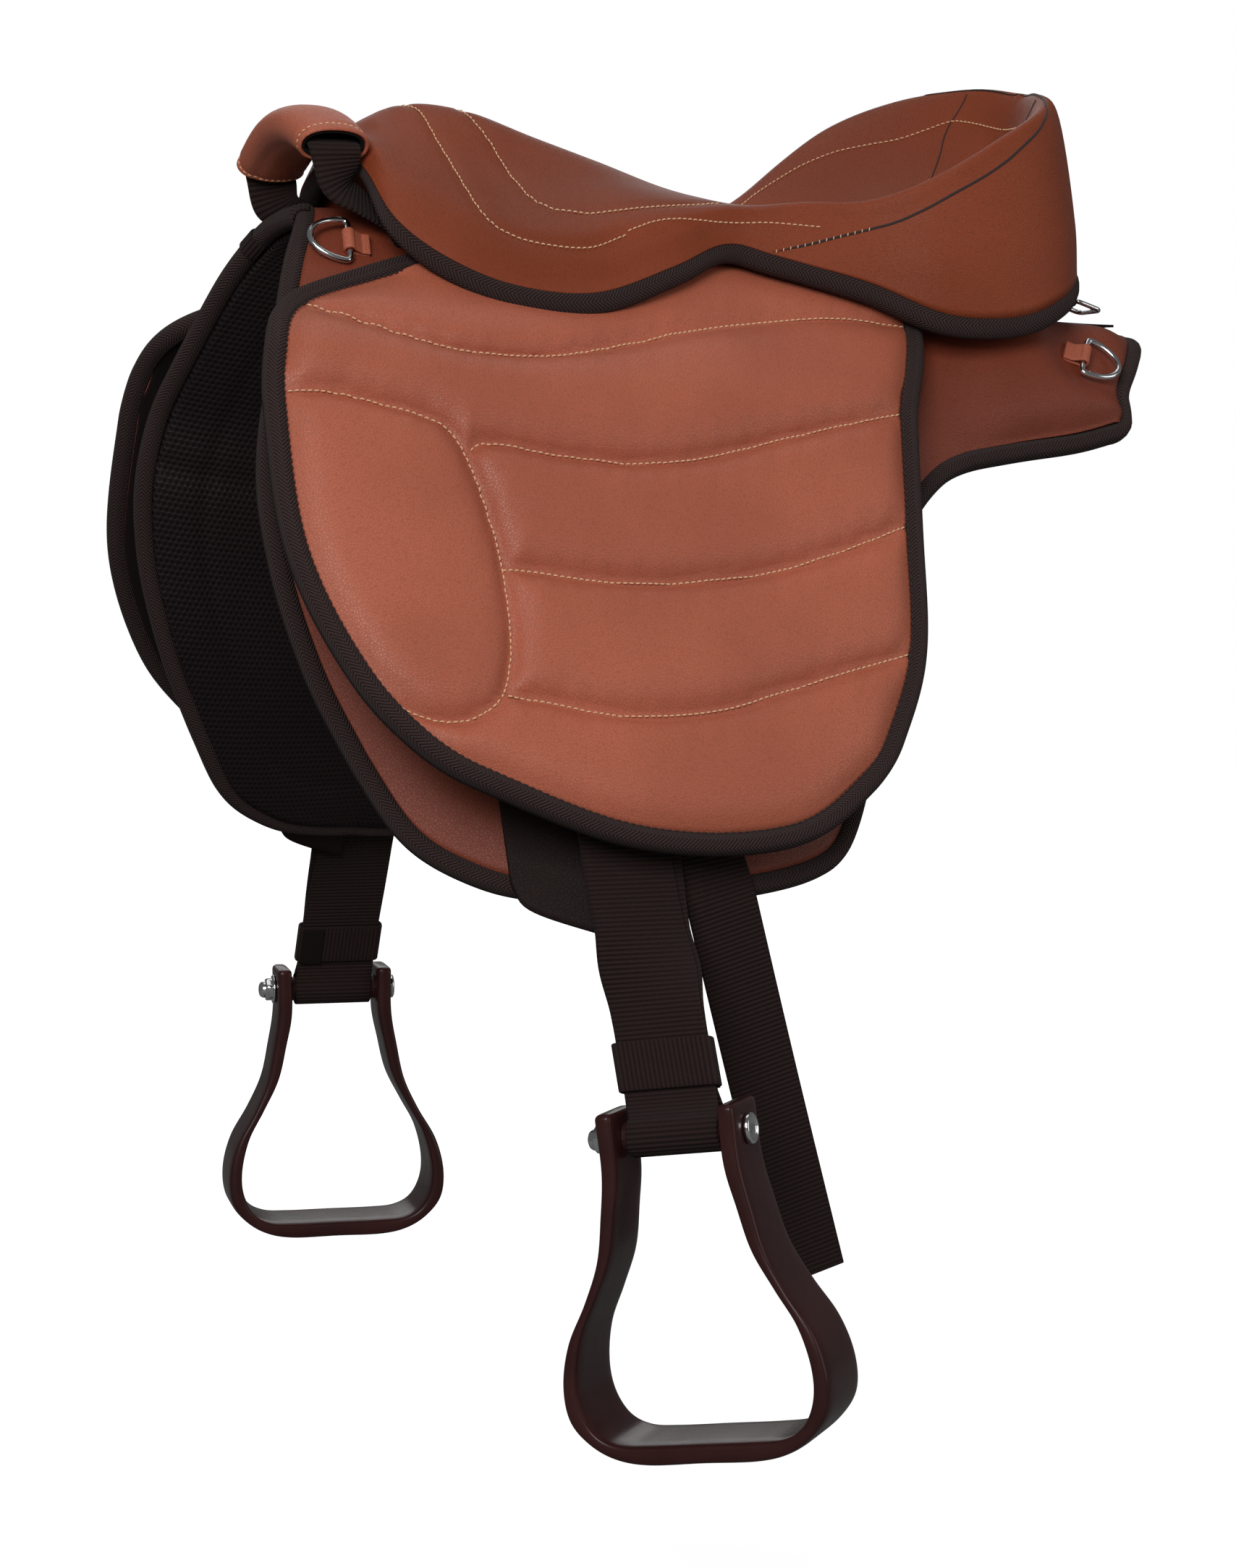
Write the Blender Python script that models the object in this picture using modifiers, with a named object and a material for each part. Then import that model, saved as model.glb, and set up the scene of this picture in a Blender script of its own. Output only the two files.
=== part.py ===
"""Treeless saddle: a wrap-around leather base, a moulded seat cushion, two lifting flaps, webbing
stirrup straps with moulded stirrups, girth straps, a grab handle, four D-rings and a rear buckle.

The horse faces -X, its left side is -Y and +Z is up. The origin lies under the base at the waist.
Most pieces are laid on one skin surface, the outer face of the base. A place on it is given by x, by
s, the length along the skin down from the spine, and by a lift off the skin along its normal.
"""

import math
from functools import lru_cache

import bmesh
import bpy
import numpy as np
from mathutils import Matrix, Vector

# Overall sizes
SADDLE_LENGTH = 0.575
SIDE_DROP = 0.443
SEAT_HALF_WIDTH = 0.110
CANTLE_HEIGHT = 0.141
GAP = 0.0003
SMOOTH_STEPS = 12
MERGE_REACH = 0.00005
MITRE_LIMIT_SHARE = 0.5

# The skin surface: two planes leaning out from the spine, joined by a round shoulder
SPINE_WIDTH = 0.170
SIDE_TILT = math.radians(25)
SHOULDER_ROUND = 0.050
CROWN_RISE = 0.080
CROWN_SHARES = ((-0.626, 1.0), (-0.435, 0.825), (-0.209, 0.525), (0, 0.300), (0.209, 0.125), (0.435, 0.038))
SKIN_SAMPLES = 1200

# Base halves, their linings and their bindings
PAD_THICKNESS = 0.016
RIM_THICKNESS = 0.008
LINING_THICKNESS = 0.003
BINDING_RADIUS = 0.0055
BINDING_END_GAP = 0.0026
CURL_DEPTH = 0.050
CURL_START_SHARE = -0.261
CURL_FULL_SHARE = -0.530
CURL_SHARES = ((0, 0), (0.12, 0), (0.40, 0.4), (0.6, 0), (0.85, -0.72), (1, -1))
BASE_FRONT_SHARES = ((-0.435, 0), (-0.456, 0.113), (-0.487, 0.226), (-0.535, 0.454), (-0.535, 0.589),
                     (-0.508, 0.720), (-0.471, 0.828))
BASE_LOWER_SHARES = ((-0.430, 0.923), (-0.379, 0.971), (-0.327, 0.993), (-0.238, 1.002), (-0.129, 0.982),
                     (-0.047, 0.950), (-0.009, 0.901), (0.035, 0.767), (0.078, 0.587), (0.113, 0.485),
                     (0.151, 0.421), (0.191, 0.384), (0.257, 0.361), (0.332, 0.341), (0.391, 0.317))
BASE_REAR_SHARES = ((0.401, 0.293), (0.402, 0.257), (0.426, 0.203), (0.456, 0.113), (0.466, 0))
BASE_COLUMNS = 15
BASE_ROWS = 12
EDGE_SAMPLES = {"front": 90, "lower": 200, "rear": 60}

# Outer flap: a yoke fixed under the seat edge and a panel that lifts about the fold below it
FLAP_THICKNESS = 0.008
FLAP_TOP_LIFT = 0.0105
FLAP_REAR_LIFT = 0.022
FLAP_FLARE = 0.018
FLAP_FLARE_SHARES = (0.157, -0.557)
FLAP_TUCK_SHARES = (0.203, 0.395)
FLAP_PUFF = 0.009
FLAP_GROOVE = 0.0015
FOLD_GAP = 0.0008
FOLD_BINDING_GAP = 0.005
FLAP_COLUMNS = 16
YOKE_STEPS = (3, 2)
PANEL_STEPS = (2, 4, 3, 3)
PANEL_SWELL_SHARES = (0.3, 1, 0.75, 0.55)
PUFF_POWER = 0.7
KNEE_CHANNEL_SHARE = 0.30
KNEE_CHANNEL_WIDTH_SHARE = 0.05
YOKE_TOP_SHARES = ((-0.386, 0.221), (-0.345, 0.203), (-0.278, 0.207), (-0.197, 0.202), (-0.110, 0.152),
                   (-0.043, 0.110), (0.009, 0.117), (0.101, 0.145), (0.148, 0.172))
YOKE_STITCH_SHARES = ((-0.496, 0.305), (-0.365, 0.317), (-0.243, 0.319), (-0.115, 0.289), (0.014, 0.242),
                      (0.144, 0.221))
FOLD_SHARES = ((-0.525, 0.400), (-0.365, 0.361), (-0.243, 0.339), (-0.052, 0.312), (0.134, 0.289))
CHANNEL_ONE_SHARES = ((-0.530, 0.440), (-0.428, 0.429), (-0.336, 0.456), (-0.203, 0.455),
                      (-0.010, 0.391), (0.103, 0.354))
CHANNEL_TWO_SHARES = ((-0.529, 0.639), (-0.435, 0.632), (-0.337, 0.619), (-0.190, 0.614),
                      (-0.037, 0.558), (0.081, 0.515))
CHANNEL_THREE_SHARES = ((-0.482, 0.797), (-0.417, 0.813), (-0.351, 0.786), (-0.214, 0.790),
                        (-0.063, 0.738), (0.056, 0.691))
FLAP_HEM_SHARES = ((-0.423, 0.880), (-0.296, 0.937), (-0.223, 0.949), (-0.146, 0.942),
                   (-0.075, 0.914), (0.002, 0.831))

# Seat cushion: columns run from the middle line down to the bound edge, front to rear
SEAT_EDGE_LIFT = 0.026
SEAT_BINDING_RADIUS = 0.0065
SEAT_SEAM_GAP = 0.0016
SEAT_RIM_THICKNESS = 0.008
SEAT_FRONT_COLUMNS = 4
SEAT_TUNNEL_LIFT = 0.0185
SEAT_TUNNEL_DEPTH = 0.030
SEAT_TUNNEL_RAMP = 0.008
SEAT_BED_LIFT = 0.0040
SEAT_EDGE_SHARES = ((-0.388, 0), (-0.388, 0.074), (-0.388, 0.113), (-0.381, 0.172), (-0.343, 0.217),
                    (-0.280, 0.246), (-0.197, 0.242), (-0.110, 0.192), (-0.043, 0.149), (0.009, 0.158),
                    (0.101, 0.185), (0.177, 0.219), (0.259, 0.214), (0.318, 0.183), (0.360, 0.131),
                    (0.377, 0.072), (0.384, 0))
SEAT_SPINE_SHARES = ((-0.363, 0, 0.752), (-0.357, 0, 0.773), (-0.346, 0, 0.794), (-0.327, 0, 0.816),
                     (-0.296, 0, 0.823), (-0.252, 0, 0.794), (-0.195, 0, 0.716), (-0.115, 0, 0.610),
                     (-0.045, 0, 0.496), (0.010, 0, 0.418), (0.090, 0, 0.362), (0.160, 0, 0.369),
                     (0.230, 0, 0.426), (0.287, 0, 0.539), (0.327, 0, 0.723), (0.350, 0, 0.908),
                     (0.360, 0, 0.993))
SEAT_MIDDLE_SHARES = ((-0.372, 0, 0.738), (-0.367, 0.127, 0.745), (-0.358, 0.227, 0.723),
                      (-0.337, 0.336, 0.667), (-0.304, 0.382, 0.610), (-0.256, 0.409, 0.539),
                      (-0.195, 0.418, 0.504), (-0.117, 0.409, 0.504), (-0.045, 0.382, 0.468),
                      (0.010, 0.382, 0.411), (0.090, 0.427, 0.376), (0.162, 0.473, 0.411),
                      (0.233, 0.473, 0.511), (0.290, 0.409, 0.674), (0.329, 0.300, 0.844),
                      (0.353, 0.145, 0.965), (0.367, 0, 0.993))
SEAT_RIDGE_SHARES = ((-0.382, 0, 0.723), (-0.379, 0.227, 0.688), (-0.370, 0.418, 0.638),
                     (-0.350, 0.618, 0.511), (-0.315, 0.745, 0.390), (-0.261, 0.809, 0.298),
                     (-0.195, 0.818, 0.291), (-0.118, 0.745, 0.369), (-0.045, 0.673, 0.411),
                     (0.010, 0.691, 0.426), (0.090, 0.782, 0.511), (0.163, 0.891, 0.645),
                     (0.237, 0.900, 0.801), (0.292, 0.782, 0.908), (0.330, 0.564, 0.972),
                     (0.353, 0.282, 1.000), (0.374, 0, 0.979))
SEAT_SHOULDER_SHARES = ((-0.389, 0, 0.699), (-0.390, 0.282, 0.652), (-0.386, 0.509, 0.603),
                        (-0.372, 0.745, 0.433), (-0.337, 0.864, 0.291), (-0.275, 0.927, 0.191),
                        (-0.197, 0.936, 0.170), (-0.113, 0.845, 0.277), (-0.045, 0.736, 0.362),
                        (0.010, 0.755, 0.362), (0.094, 0.845, 0.411), (0.169, 0.964, 0.553),
                        (0.243, 0.982, 0.723), (0.303, 0.864, 0.830), (0.346, 0.600, 0.894),
                        (0.370, 0.291, 0.922), (0.384, 0, 0.894))
SEAT_WALL_SHARES = ((-0.392, 0, 0.663), (-0.394, 0.318, 0.613), (-0.393, 0.555, 0.546),
                    (-0.384, 0.800, 0.362), (-0.346, 0.927, 0.213), (-0.282, 0.991, 0.099),
                    (-0.198, 0.991, 0.078), (-0.111, 0.891, 0.199), (-0.043, 0.745, 0.305),
                    (0.009, 0.782, 0.284), (0.101, 0.900, 0.255), (0.177, 1.018, 0.255),
                    (0.257, 1.027, 0.326), (0.317, 0.900, 0.411), (0.363, 0.618, 0.482),
                    (0.386, 0.300, 0.525), (0.395, 0, 0.532))
SEAT_BED_SHARES = (-0.30, 0.31)
SEAT_STEPS = (3, 3, 2, 2, 2)
SEAT_BED_STEPS = 4

# Hook panel between the base and the seat
HOOK_THICKNESS = 0.0016
HOOK_LIFT = 0.0009
HOOK_SHARES = (-0.26, 0.26)
HOOK_DROP_SHARE = 0.084
HOOK_COLUMNS = 12
HOOK_ROWS = 6

# Stirrup straps: width, layers and places down the side plane from the spine's level
STRAP_WIDTH = 0.050
STRAP_THICKNESS = 0.0022
STRAP_LIFT = 0.0085
STRAP_SHARE = -0.247
HANGER_DROP = 0.060
BOLT_DROP = 0.476
STRAP_HEM = 0.135
STRAP_HEM_GAP = 0.0012
STRAP_TWIST_START = 0.112
STRAP_TWIST_END = 0.064
STRAP_TWIST_STEPS = 8
STRAP_STRIPS = 4
STRAP_CLOSE_SHARE = 2.25
WRAP_OPENING = 55
WRAP_STEPS = 11
HANGER_WIDTH = 0.012
HANGER_THICKNESS = 0.0016
HANGER_TAIL = 0.034
HANGER_PLAY = 0.0026
HANGER_RING_RADIUS = 0.018
HANGER_RING_DROP = 0.028
HANGER_ARC = 75
HANGER_STEPS = 11
HANGER_TAIL_POINTS = 4
HANGER_LOOP_STEPS = 9
HANGER_LOOP_SHARE = 0.9
HANGER_WIRE = 0.0022

# Stirrups and their bolts
BOLT_HEADING = {"left": math.radians(44), "right": math.radians(-9)}
BOLT_RISE = {"left": math.radians(8), "right": 0.0}
BOLT_RADIUS = 0.004
BOLT_HEAD_RADIUS = 0.008
BOLT_HEAD_HEIGHT = 0.003
BOLT_RUNNING_GAP = 0.0003
NUT_RADIUS = 0.0075
NUT_HEIGHT = 0.009
WASHER_RADIUS = 0.0095
WASHER_THICKNESS = 0.0015
SPACER_RADIUS = 0.008
STIRRUP_WIDTH = 0.143
STIRRUP_HEIGHT = 0.175
STIRRUP_DEPTH = 0.050
STIRRUP_EAR_TOP = 0.012
STIRRUP_CHAMFER = 0.004
CHAMFER_LIMIT_SHARE = 0.6
BORE_SIDES = 20
DOME_ANGLES = (0, 30, 60, 90)
STIRRUP_OUTER_SHARES = ((0, 0.265), (0.154, 0.265), (0.286, 0.290), (0.411, 0.322), (0.526, 0.385),
                        (0.640, 0.464), (0.754, 0.500), (0.857, 0.490), (0.926, 0.430), (0.977, 0.335),
                        (1, 0.210), (1, 0))
STIRRUP_INNER_SHARES = ((0, 0.196), (0.154, 0.196), (0.274, 0.224), (0.400, 0.262), (0.514, 0.332),
                        (0.617, 0.399), (0.731, 0.434), (0.823, 0.430), (0.897, 0.385), (0.931, 0.308),
                        (0.937, 0.196), (0.937, 0))
STIRRUP_DEPTH_SHARES = (0.72, 0.74, 0.76, 0.80, 0.85, 0.90, 0.96, 1, 1, 1, 1, 1)

# Keeper band on each stirrup strap
KEEPER_HEIGHT = 0.026
KEEPER_THICKNESS = 0.002
KEEPER_PLAY = 0.0006
KEEPER_RISE = 0.036

# Girth strap and girth guard
GIRTH_WIDTH = 0.040
GIRTH_THICKNESS = 0.0025
GIRTH_LIFT = 0.0026
GIRTH_TOP_SHARES = (-0.222, 0.45)
GIRTH_BEND_SHARES = (-0.162, 0.98)
GIRTH_SHORT_SHARES = (-0.171, 0.90)
GIRTH_FREE_LENGTH = 0.228
GIRTH_SLANT = math.radians(16)
GIRTH_LEAN = math.radians(4)
GIRTH_LAID_POINTS = 8
GIRTH_FREE_POINTS = 7
GUARD_POINTS = 5
GUARD_THICKNESS = 0.0016
GUARD_PLAY = 0.0018
GUARD_UPPER_SHARES = ((-0.352, 0.70), (-0.303, 0.70), (-0.256, 0.70))
GUARD_LOWER_SHARES = ((-0.350, 0.985), (-0.335, 1.02), (-0.263, 1.060))

# Grab handle
HANDLE_WEB_WIDTH = 0.030
HANDLE_WEB_TAIL_WIDTH = 0.024
HANDLE_WEB_THICKNESS = 0.0024
HANDLE_WEB_LIFT = 0.0001
HANDLE_TAIL = 0.007
SLEEVE_WIDTH = 0.040
SLEEVE_THICKNESS = 0.023
SLEEVE_WALL = 0.0022
SLEEVE_LINING = 0.0014
SLEEVE_SIDES = 14
SLEEVE_RINGS = 9
HANDLE_SPAN = 0.124
HANDLE_TOP = 0.0995
HANDLE_END = 0.083
HANDLE_SHARE = -0.430
HANDLE_WEB_SHARES = ((0.026, -0.080, 0.178), (0.084, 0.200, 0.463), (0.312, 0.439, 0.597),
                     (0.662, 0.599, 0.792))
HANDLE_ANCHOR_SHARES = (-0.353, 0.130)

# D-rings, their tabs and the tape keepers
RING_WIRE = 0.0018
RING_WIDTH = 0.028
RING_BOW = 0.022
RING_TAB_WIDTH = 0.014
RING_TAB_THICKNESS = 0.0015
RING_TAB_LENGTH = 0.0118
RING_TAB_LIFT = {"front": -0.0006, "rear": 0.0}
FRONT_RING_SHARES = (-0.4185, 0.165)
REAR_RING_SHARES = (0.354, 0.214)
REAR_RING_HEADING = math.radians(25)
RING_ARC = (12, 168)
RING_STEPS = 11
RING_TAB_ARC = (-100, 150)
RING_TAB_STEPS = 10
RING_TAB_POINTS = 3
RING_TAB_CLOSE_SHARE = 2.4
KEEPER_TAPE_WIDTH = 0.012
KEEPER_TAPE_THICKNESS = 0.0012
KEEPER_TAPE_SHARES = {"left": 0.080, "right": 0.120}
KEEPER_TAPE_SWEEP = math.radians(200)
KEEPER_TAPE_STEPS = 11

# Rear buckle, in the middle plane
BUCKLE_STRAP_WIDTH = 0.018
BUCKLE_STRAP_THICKNESS = 0.0016
BUCKLE_STRAP_SHARES = ((0.3965, 0.350), (0.3990, 0.260), (0.4045, 0.190), (0.4120, 0.142))
BUCKLE_FOLD = 0.011
BUCKLE_FOLD_ARC = (130, -140)
BUCKLE_STEPS = 11
BUCKLE_WIRE = 0.0015
BUCKLE_WIDTH = 0.026
BUCKLE_LENGTH = 0.018
BUCKLE_BAR_SHARES = (0.420, 0.106)
BUCKLE_TIP_SHARES = (0.4560, 0.058)
BILLET_SHARES = (0.395, 0.470)
TONGUE_WIRE = 0.0011
TONGUE_ARC = (-190, 70)
TONGUE_SLOT = 0.0036
TONGUE_SLOT_DEPTH = 0.013
BILLET_POINTS = 5

# Finish of each material
SEAT_COLOUR = (0.205, 0.045, 0.020)
FLAP_COLOUR = (0.300, 0.085, 0.050)
LINING_COLOUR = (0.012, 0.008, 0.009)
TAPE_COLOUR = (0.042, 0.032, 0.032)
WEBBING_COLOUR = (0.034, 0.022, 0.022)
PLASTIC_COLOUR = (0.042, 0.012, 0.011)
STEEL_COLOUR = (0.80, 0.80, 0.82)
LEATHER_ROUGHNESS = 0.45
CLOTH_ROUGHNESS = 0.88
PLASTIC_ROUGHNESS = 0.22
STEEL_ROUGHNESS = 0.15

# Shading
SHARP_ANGLE = math.radians(40)
SIDES = (("left", -1), ("right", 1))

parts = None
cutters = None


def start_scene():
    """Empty the scene and make the two collections."""
    global parts, cutters
    for old in list(bpy.data.objects):
        bpy.data.objects.remove(old, do_unlink=True)
    parts = bpy.data.collections.new("treeless_saddle")
    cutters = bpy.data.collections.new("cutters")
    bpy.context.scene.collection.children.link(parts)
    bpy.context.scene.collection.children.link(cutters)


def material(name, colour, roughness, metallic=0.0):
    """A plain Principled material."""
    made = bpy.data.materials.new(name)
    made.use_nodes = True
    shader = made.node_tree.nodes["Principled BSDF"]
    shader.inputs["Base Color"].default_value = (*colour, 1)
    shader.inputs["Roughness"].default_value = roughness
    shader.inputs["Metallic"].default_value = metallic
    return made


def scaled(shares):
    """Outline shares turned into x and s on the skin."""
    return np.array(shares, float) * (SADDLE_LENGTH, SIDE_DROP)


def smooth_line(points, count):
    """Evenly spaced points along a smooth open curve through the given ones."""
    points = np.asarray(points, float)
    ends = np.vstack([2 * points[0] - points[1], points, 2 * points[-1] - points[-2]])
    steps = np.linspace(0, 1, SMOOTH_STEPS, endpoint=False)[:, None]
    fine = []
    for before, start, stop, after in zip(ends, ends[1:], ends[2:], ends[3:]):
        bend = 2 * before - 5 * start + 4 * stop - after
        twist = 3 * (start - stop) + after - before
        fine.append(start + (stop - before) * steps / 2 + bend * steps**2 / 2 + twist * steps**3 / 2)
    fine.append(points[-1:])
    return spaced(np.vstack(fine), count)


def spaced(line, count):
    """The same polyline with evenly spaced points."""
    run = np.concatenate([[0], np.cumsum(np.linalg.norm(np.diff(line, axis=0), axis=1))])
    wanted = np.linspace(0, run[-1], count)
    return np.column_stack([np.interp(wanted, run, line[:, axis]) for axis in range(line.shape[1])])


def moved_in(line, distance):
    """A flat open line moved sideways, towards its left as x runs right and s runs down."""
    ahead = np.gradient(line, axis=0)
    ahead /= np.linalg.norm(ahead, axis=1)[:, None]
    return line + distance * np.column_stack([ahead[:, 1], -ahead[:, 0]])


def mitred_out(line, distance):
    """A coarse open line moved outward so that every run stays parallel."""
    ahead = np.diff(line, axis=0)
    ahead /= np.linalg.norm(ahead, axis=1)[:, None]
    first = np.vstack([ahead[:1], ahead])
    second = np.vstack([ahead, ahead[-1:]])
    middle = first + second
    middle /= np.linalg.norm(middle, axis=1)[:, None]
    reach = distance / np.maximum(np.sum(middle * first, axis=1), MITRE_LIMIT_SHARE)
    return line - reach[:, None] * np.column_stack([middle[:, 1], -middle[:, 0]])


def crown(x):
    """Height of the spine's plane line at x."""
    share, rise = np.array(CROWN_SHARES).T
    return np.interp(x, share * SADDLE_LENGTH, rise * CROWN_RISE)


@lru_cache(maxsize=None)
def skin_column(x):
    """Run along the skin, distance from the middle plane and height, at one x."""
    y = np.linspace(0, SIDE_DROP, SKIN_SAMPLES)
    top = crown(x)
    plane = (SPINE_WIDTH / 2 - y) / math.tan(SIDE_TILT)
    z = (top + plane - np.hypot(top - plane, SHOULDER_ROUND)) / 2
    run = np.concatenate([[0], np.cumsum(np.hypot(np.diff(y), np.diff(z)))])
    return run, y, z


def skin_point(x, s, lift, side):
    """The point at x and s, lifted off the skin along its normal."""
    run, y, z = skin_column(round(float(x), 5))
    step = SIDE_DROP / SKIN_SAMPLES
    here = np.array([np.interp(s, run, y), np.interp(s, run, z)])
    ahead = np.array([np.interp(s + step, run, y), np.interp(s + step, run, z)]) - here
    ahead /= np.linalg.norm(ahead)
    out = max(here[0] - ahead[1] * lift, GAP / 2)
    return np.array([x, side * out, here[1] + ahead[0] * lift])


def skin_grid(places, lifts, side):
    """Rows and columns of x and s laid on the skin with a lift for each."""
    rows, columns = places.shape[:2]
    laid = np.empty((rows, columns, 3))
    for row in range(rows):
        for column in range(columns):
            laid[row, column] = skin_point(*places[row, column], lifts[row, column], side)
    return laid


def skin_frame(x, s, lift, side, heading=0.0):
    """A point on the skin with its forward, sideways and outward directions."""
    step = SIDE_DROP / SKIN_SAMPLES
    place = skin_point(x, s, lift, side)
    along = skin_point(x + step, s, lift, side) - place
    down = skin_point(x, s + step, lift, side) - place
    forward = math.cos(heading) * along + math.sin(heading) * down
    forward /= np.linalg.norm(forward)
    out = np.cross(along, down) * side
    out /= np.linalg.norm(out)
    sideways = np.cross(out, forward)
    return place, forward, sideways, out


def lerp(first, second, share):
    """A value part of the way between two."""
    return first + (second - first) * share


def smoothstep(share):
    """An eased share from 0 to 1."""
    share = np.clip(share, 0, 1)
    return share * share * (3 - 2 * share)


def finish(name, mesh, finish_material):
    """Close, orient and shade a mesh, and add it to the parts."""
    shape = bmesh.new()
    shape.from_mesh(mesh)
    bmesh.ops.recalc_face_normals(shape, faces=shape.faces)
    shape.to_mesh(mesh)
    shape.free()
    mesh.shade_smooth()
    mesh.set_sharp_from_angle(angle=SHARP_ANGLE)
    mesh.materials.append(finish_material)
    made = bpy.data.objects.new(name, mesh)
    parts.objects.link(made)
    return made


def lattice(rows, columns, start=0, wrap=False):
    """Quads between neighbouring points of a grid, whose columns may close on themselves."""
    across = columns if wrap else columns - 1
    faces = []
    for row in range(rows - 1):
        for column in range(across):
            here = start + row * columns + column
            beside = start + row * columns + (column + 1) % columns
            faces.append((here, beside, beside + columns, here + columns))
    return faces


def slab(name, outer, inner, finish_material):
    """A closed cushion between two grids of the same size."""
    rows, columns = outer.shape[:2]
    points = np.vstack([outer.reshape(-1, 3), inner.reshape(-1, 3)])
    below = rows * columns
    faces = lattice(rows, columns) + lattice(rows, columns, below)
    border = [column for column in range(columns)]
    border += [row * columns + columns - 1 for row in range(1, rows)]
    border += [(rows - 1) * columns + column for column in range(columns - 2, -1, -1)]
    border += [row * columns for row in range(rows - 2, 0, -1)]
    for first, second in zip(border, border[1:] + border[:1]):
        faces.append((first, second, second + below, first + below))
    mesh = bpy.data.meshes.new(name)
    mesh.from_pydata(points.tolist(), [], faces)
    return finish(name, mesh, finish_material)


def cut_outward(points, quads):
    """Quads cut along the diagonal that lies further from the middle plane, so that layers match."""
    halves = []
    for first, second, third, fourth in quads:
        one = abs(points[first][1] + points[third][1])
        other = abs(points[second][1] + points[fourth][1])
        if one > other:
            halves += [(first, second, third), (first, third, fourth)]
        else:
            halves += [(second, third, fourth), (second, fourth, first)]
    return halves


def loft(name, rings, finish_material, closed=False, twisted=False):
    """A closed body through rings of the same number of points."""
    rings = np.asarray(rings)
    count, sides = rings.shape[:2]
    faces = lattice(count, sides, wrap=True)
    if twisted:
        faces = cut_outward(rings.reshape(-1, 3), faces)
    if closed:
        last = (count - 1) * sides
        for side in range(sides):
            beside = (side + 1) % sides
            faces.append((last + side, last + beside, beside, side))
    else:
        faces.append(tuple(range(sides)))
        faces.append(tuple(range((count - 1) * sides, count * sides)))
    mesh = bpy.data.meshes.new(name)
    mesh.from_pydata(rings.reshape(-1, 3).tolist(), [], faces)
    return finish(name, mesh, finish_material)


def pipe(name, outer, inner, finish_material):
    """A hollow sleeve between two lofts, open at both ends."""
    count, sides = outer.shape[:2]
    points = np.vstack([outer.reshape(-1, 3), inner.reshape(-1, 3)])
    below = count * sides
    faces = lattice(count, sides, wrap=True) + lattice(count, sides, below, wrap=True)
    for first in (0, (count - 1) * sides):
        for side in range(sides):
            here = first + side
            beside = first + (side + 1) % sides
            faces.append((here, beside, beside + below, here + below))
    mesh = bpy.data.meshes.new(name)
    mesh.from_pydata(points.tolist(), [], faces)
    return finish(name, mesh, finish_material)


def ribbon(name, centres, across, outward, width, thickness, finish_material, closed=False, strips=1):
    """A flat strap along its centres, with a width and a thickness direction at each."""
    width = np.broadcast_to(width, len(centres))
    shares = np.linspace(-0.5, 0.5, strips + 1)
    rings = []
    for centre, side, out, wide in zip(centres, across, outward, width):
        skin = out * thickness / 2
        ring = [centre + side * wide * share - skin for share in shares]
        ring += [centre + side * wide * share + skin for share in shares[::-1]]
        rings.append(ring)
    return loft(name, rings, finish_material, closed, twisted=strips > 1)


def tube(name, points, radius, finish_material, resolution=2, closed=False):
    """A round tube or wire along its points."""
    data = bpy.data.curves.new(name, "CURVE")
    data.dimensions = "3D"
    data.bevel_depth = radius
    data.bevel_resolution = resolution
    data.use_fill_caps = True
    spline = data.splines.new("POLY")
    spline.points.add(len(points) - 1)
    for point, place in zip(spline.points, points):
        point.co = (*place, 1)
    spline.use_cyclic_u = closed
    spline.use_smooth = True
    data.materials.append(finish_material)
    made = bpy.data.objects.new(name, data)
    parts.objects.link(made)
    return made


def turned(name, profile, place, direction, finish_material, steps=BORE_SIDES, closed=False):
    """A turned piece from its outline of radius and height, top to bottom on its outer side."""
    mesh = bpy.data.meshes.new(name)
    edges = [(index, index + 1) for index in range(len(profile) - 1)]
    if closed:
        edges.append((len(profile) - 1, 0))
    mesh.from_pydata([(radius, 0, height) for radius, height in profile], edges, [])
    mesh.materials.append(finish_material)
    made = bpy.data.objects.new(name, mesh)
    parts.objects.link(made)
    made.rotation_mode = "QUATERNION"
    made.rotation_quaternion = Vector(direction).to_track_quat("Z", "Y")
    made.location = Vector(place)
    screw = made.modifiers.new("turn", "SCREW")
    screw.steps = steps
    screw.render_steps = steps
    screw.use_merge_vertices = True
    screw.merge_threshold = MERGE_REACH
    screw.use_smooth_shade = True
    return made


def hung_on(pivot, name, pieces):
    """Parent pieces to an empty on their joint's axis, where they are."""
    axis = bpy.data.objects.new(name, None)
    axis.location = Vector(pivot)
    parts.objects.link(axis)
    for piece in pieces:
        piece.parent = axis
        piece.matrix_parent_inverse = Matrix.Translation(-Vector(pivot))
    return axis


def curl(x, s):
    """How far the base's front rolls off the skin."""
    start = CURL_START_SHARE * SADDLE_LENGTH
    full = CURL_FULL_SHARE * SADDLE_LENGTH
    share, depth = np.array(CURL_SHARES).T
    return np.clip((x - start) / (full - start), 0, 1) * CURL_DEPTH * np.interp(s / SIDE_DROP, share, depth)


def coons(top, bottom, front, rear):
    """A grid of places between four edges that meet at the corners."""
    down = np.linspace(0, 1, len(front))[:, None, None]
    along = np.linspace(0, 1, len(top))[None, :, None]
    ruled = lerp(top[None], bottom[None], down) + lerp(front[:, None], rear[:, None], along)
    upper = lerp(top[0], top[-1], along)
    lower = lerp(bottom[0], bottom[-1], along)
    return ruled - lerp(upper, lower, down)


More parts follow.
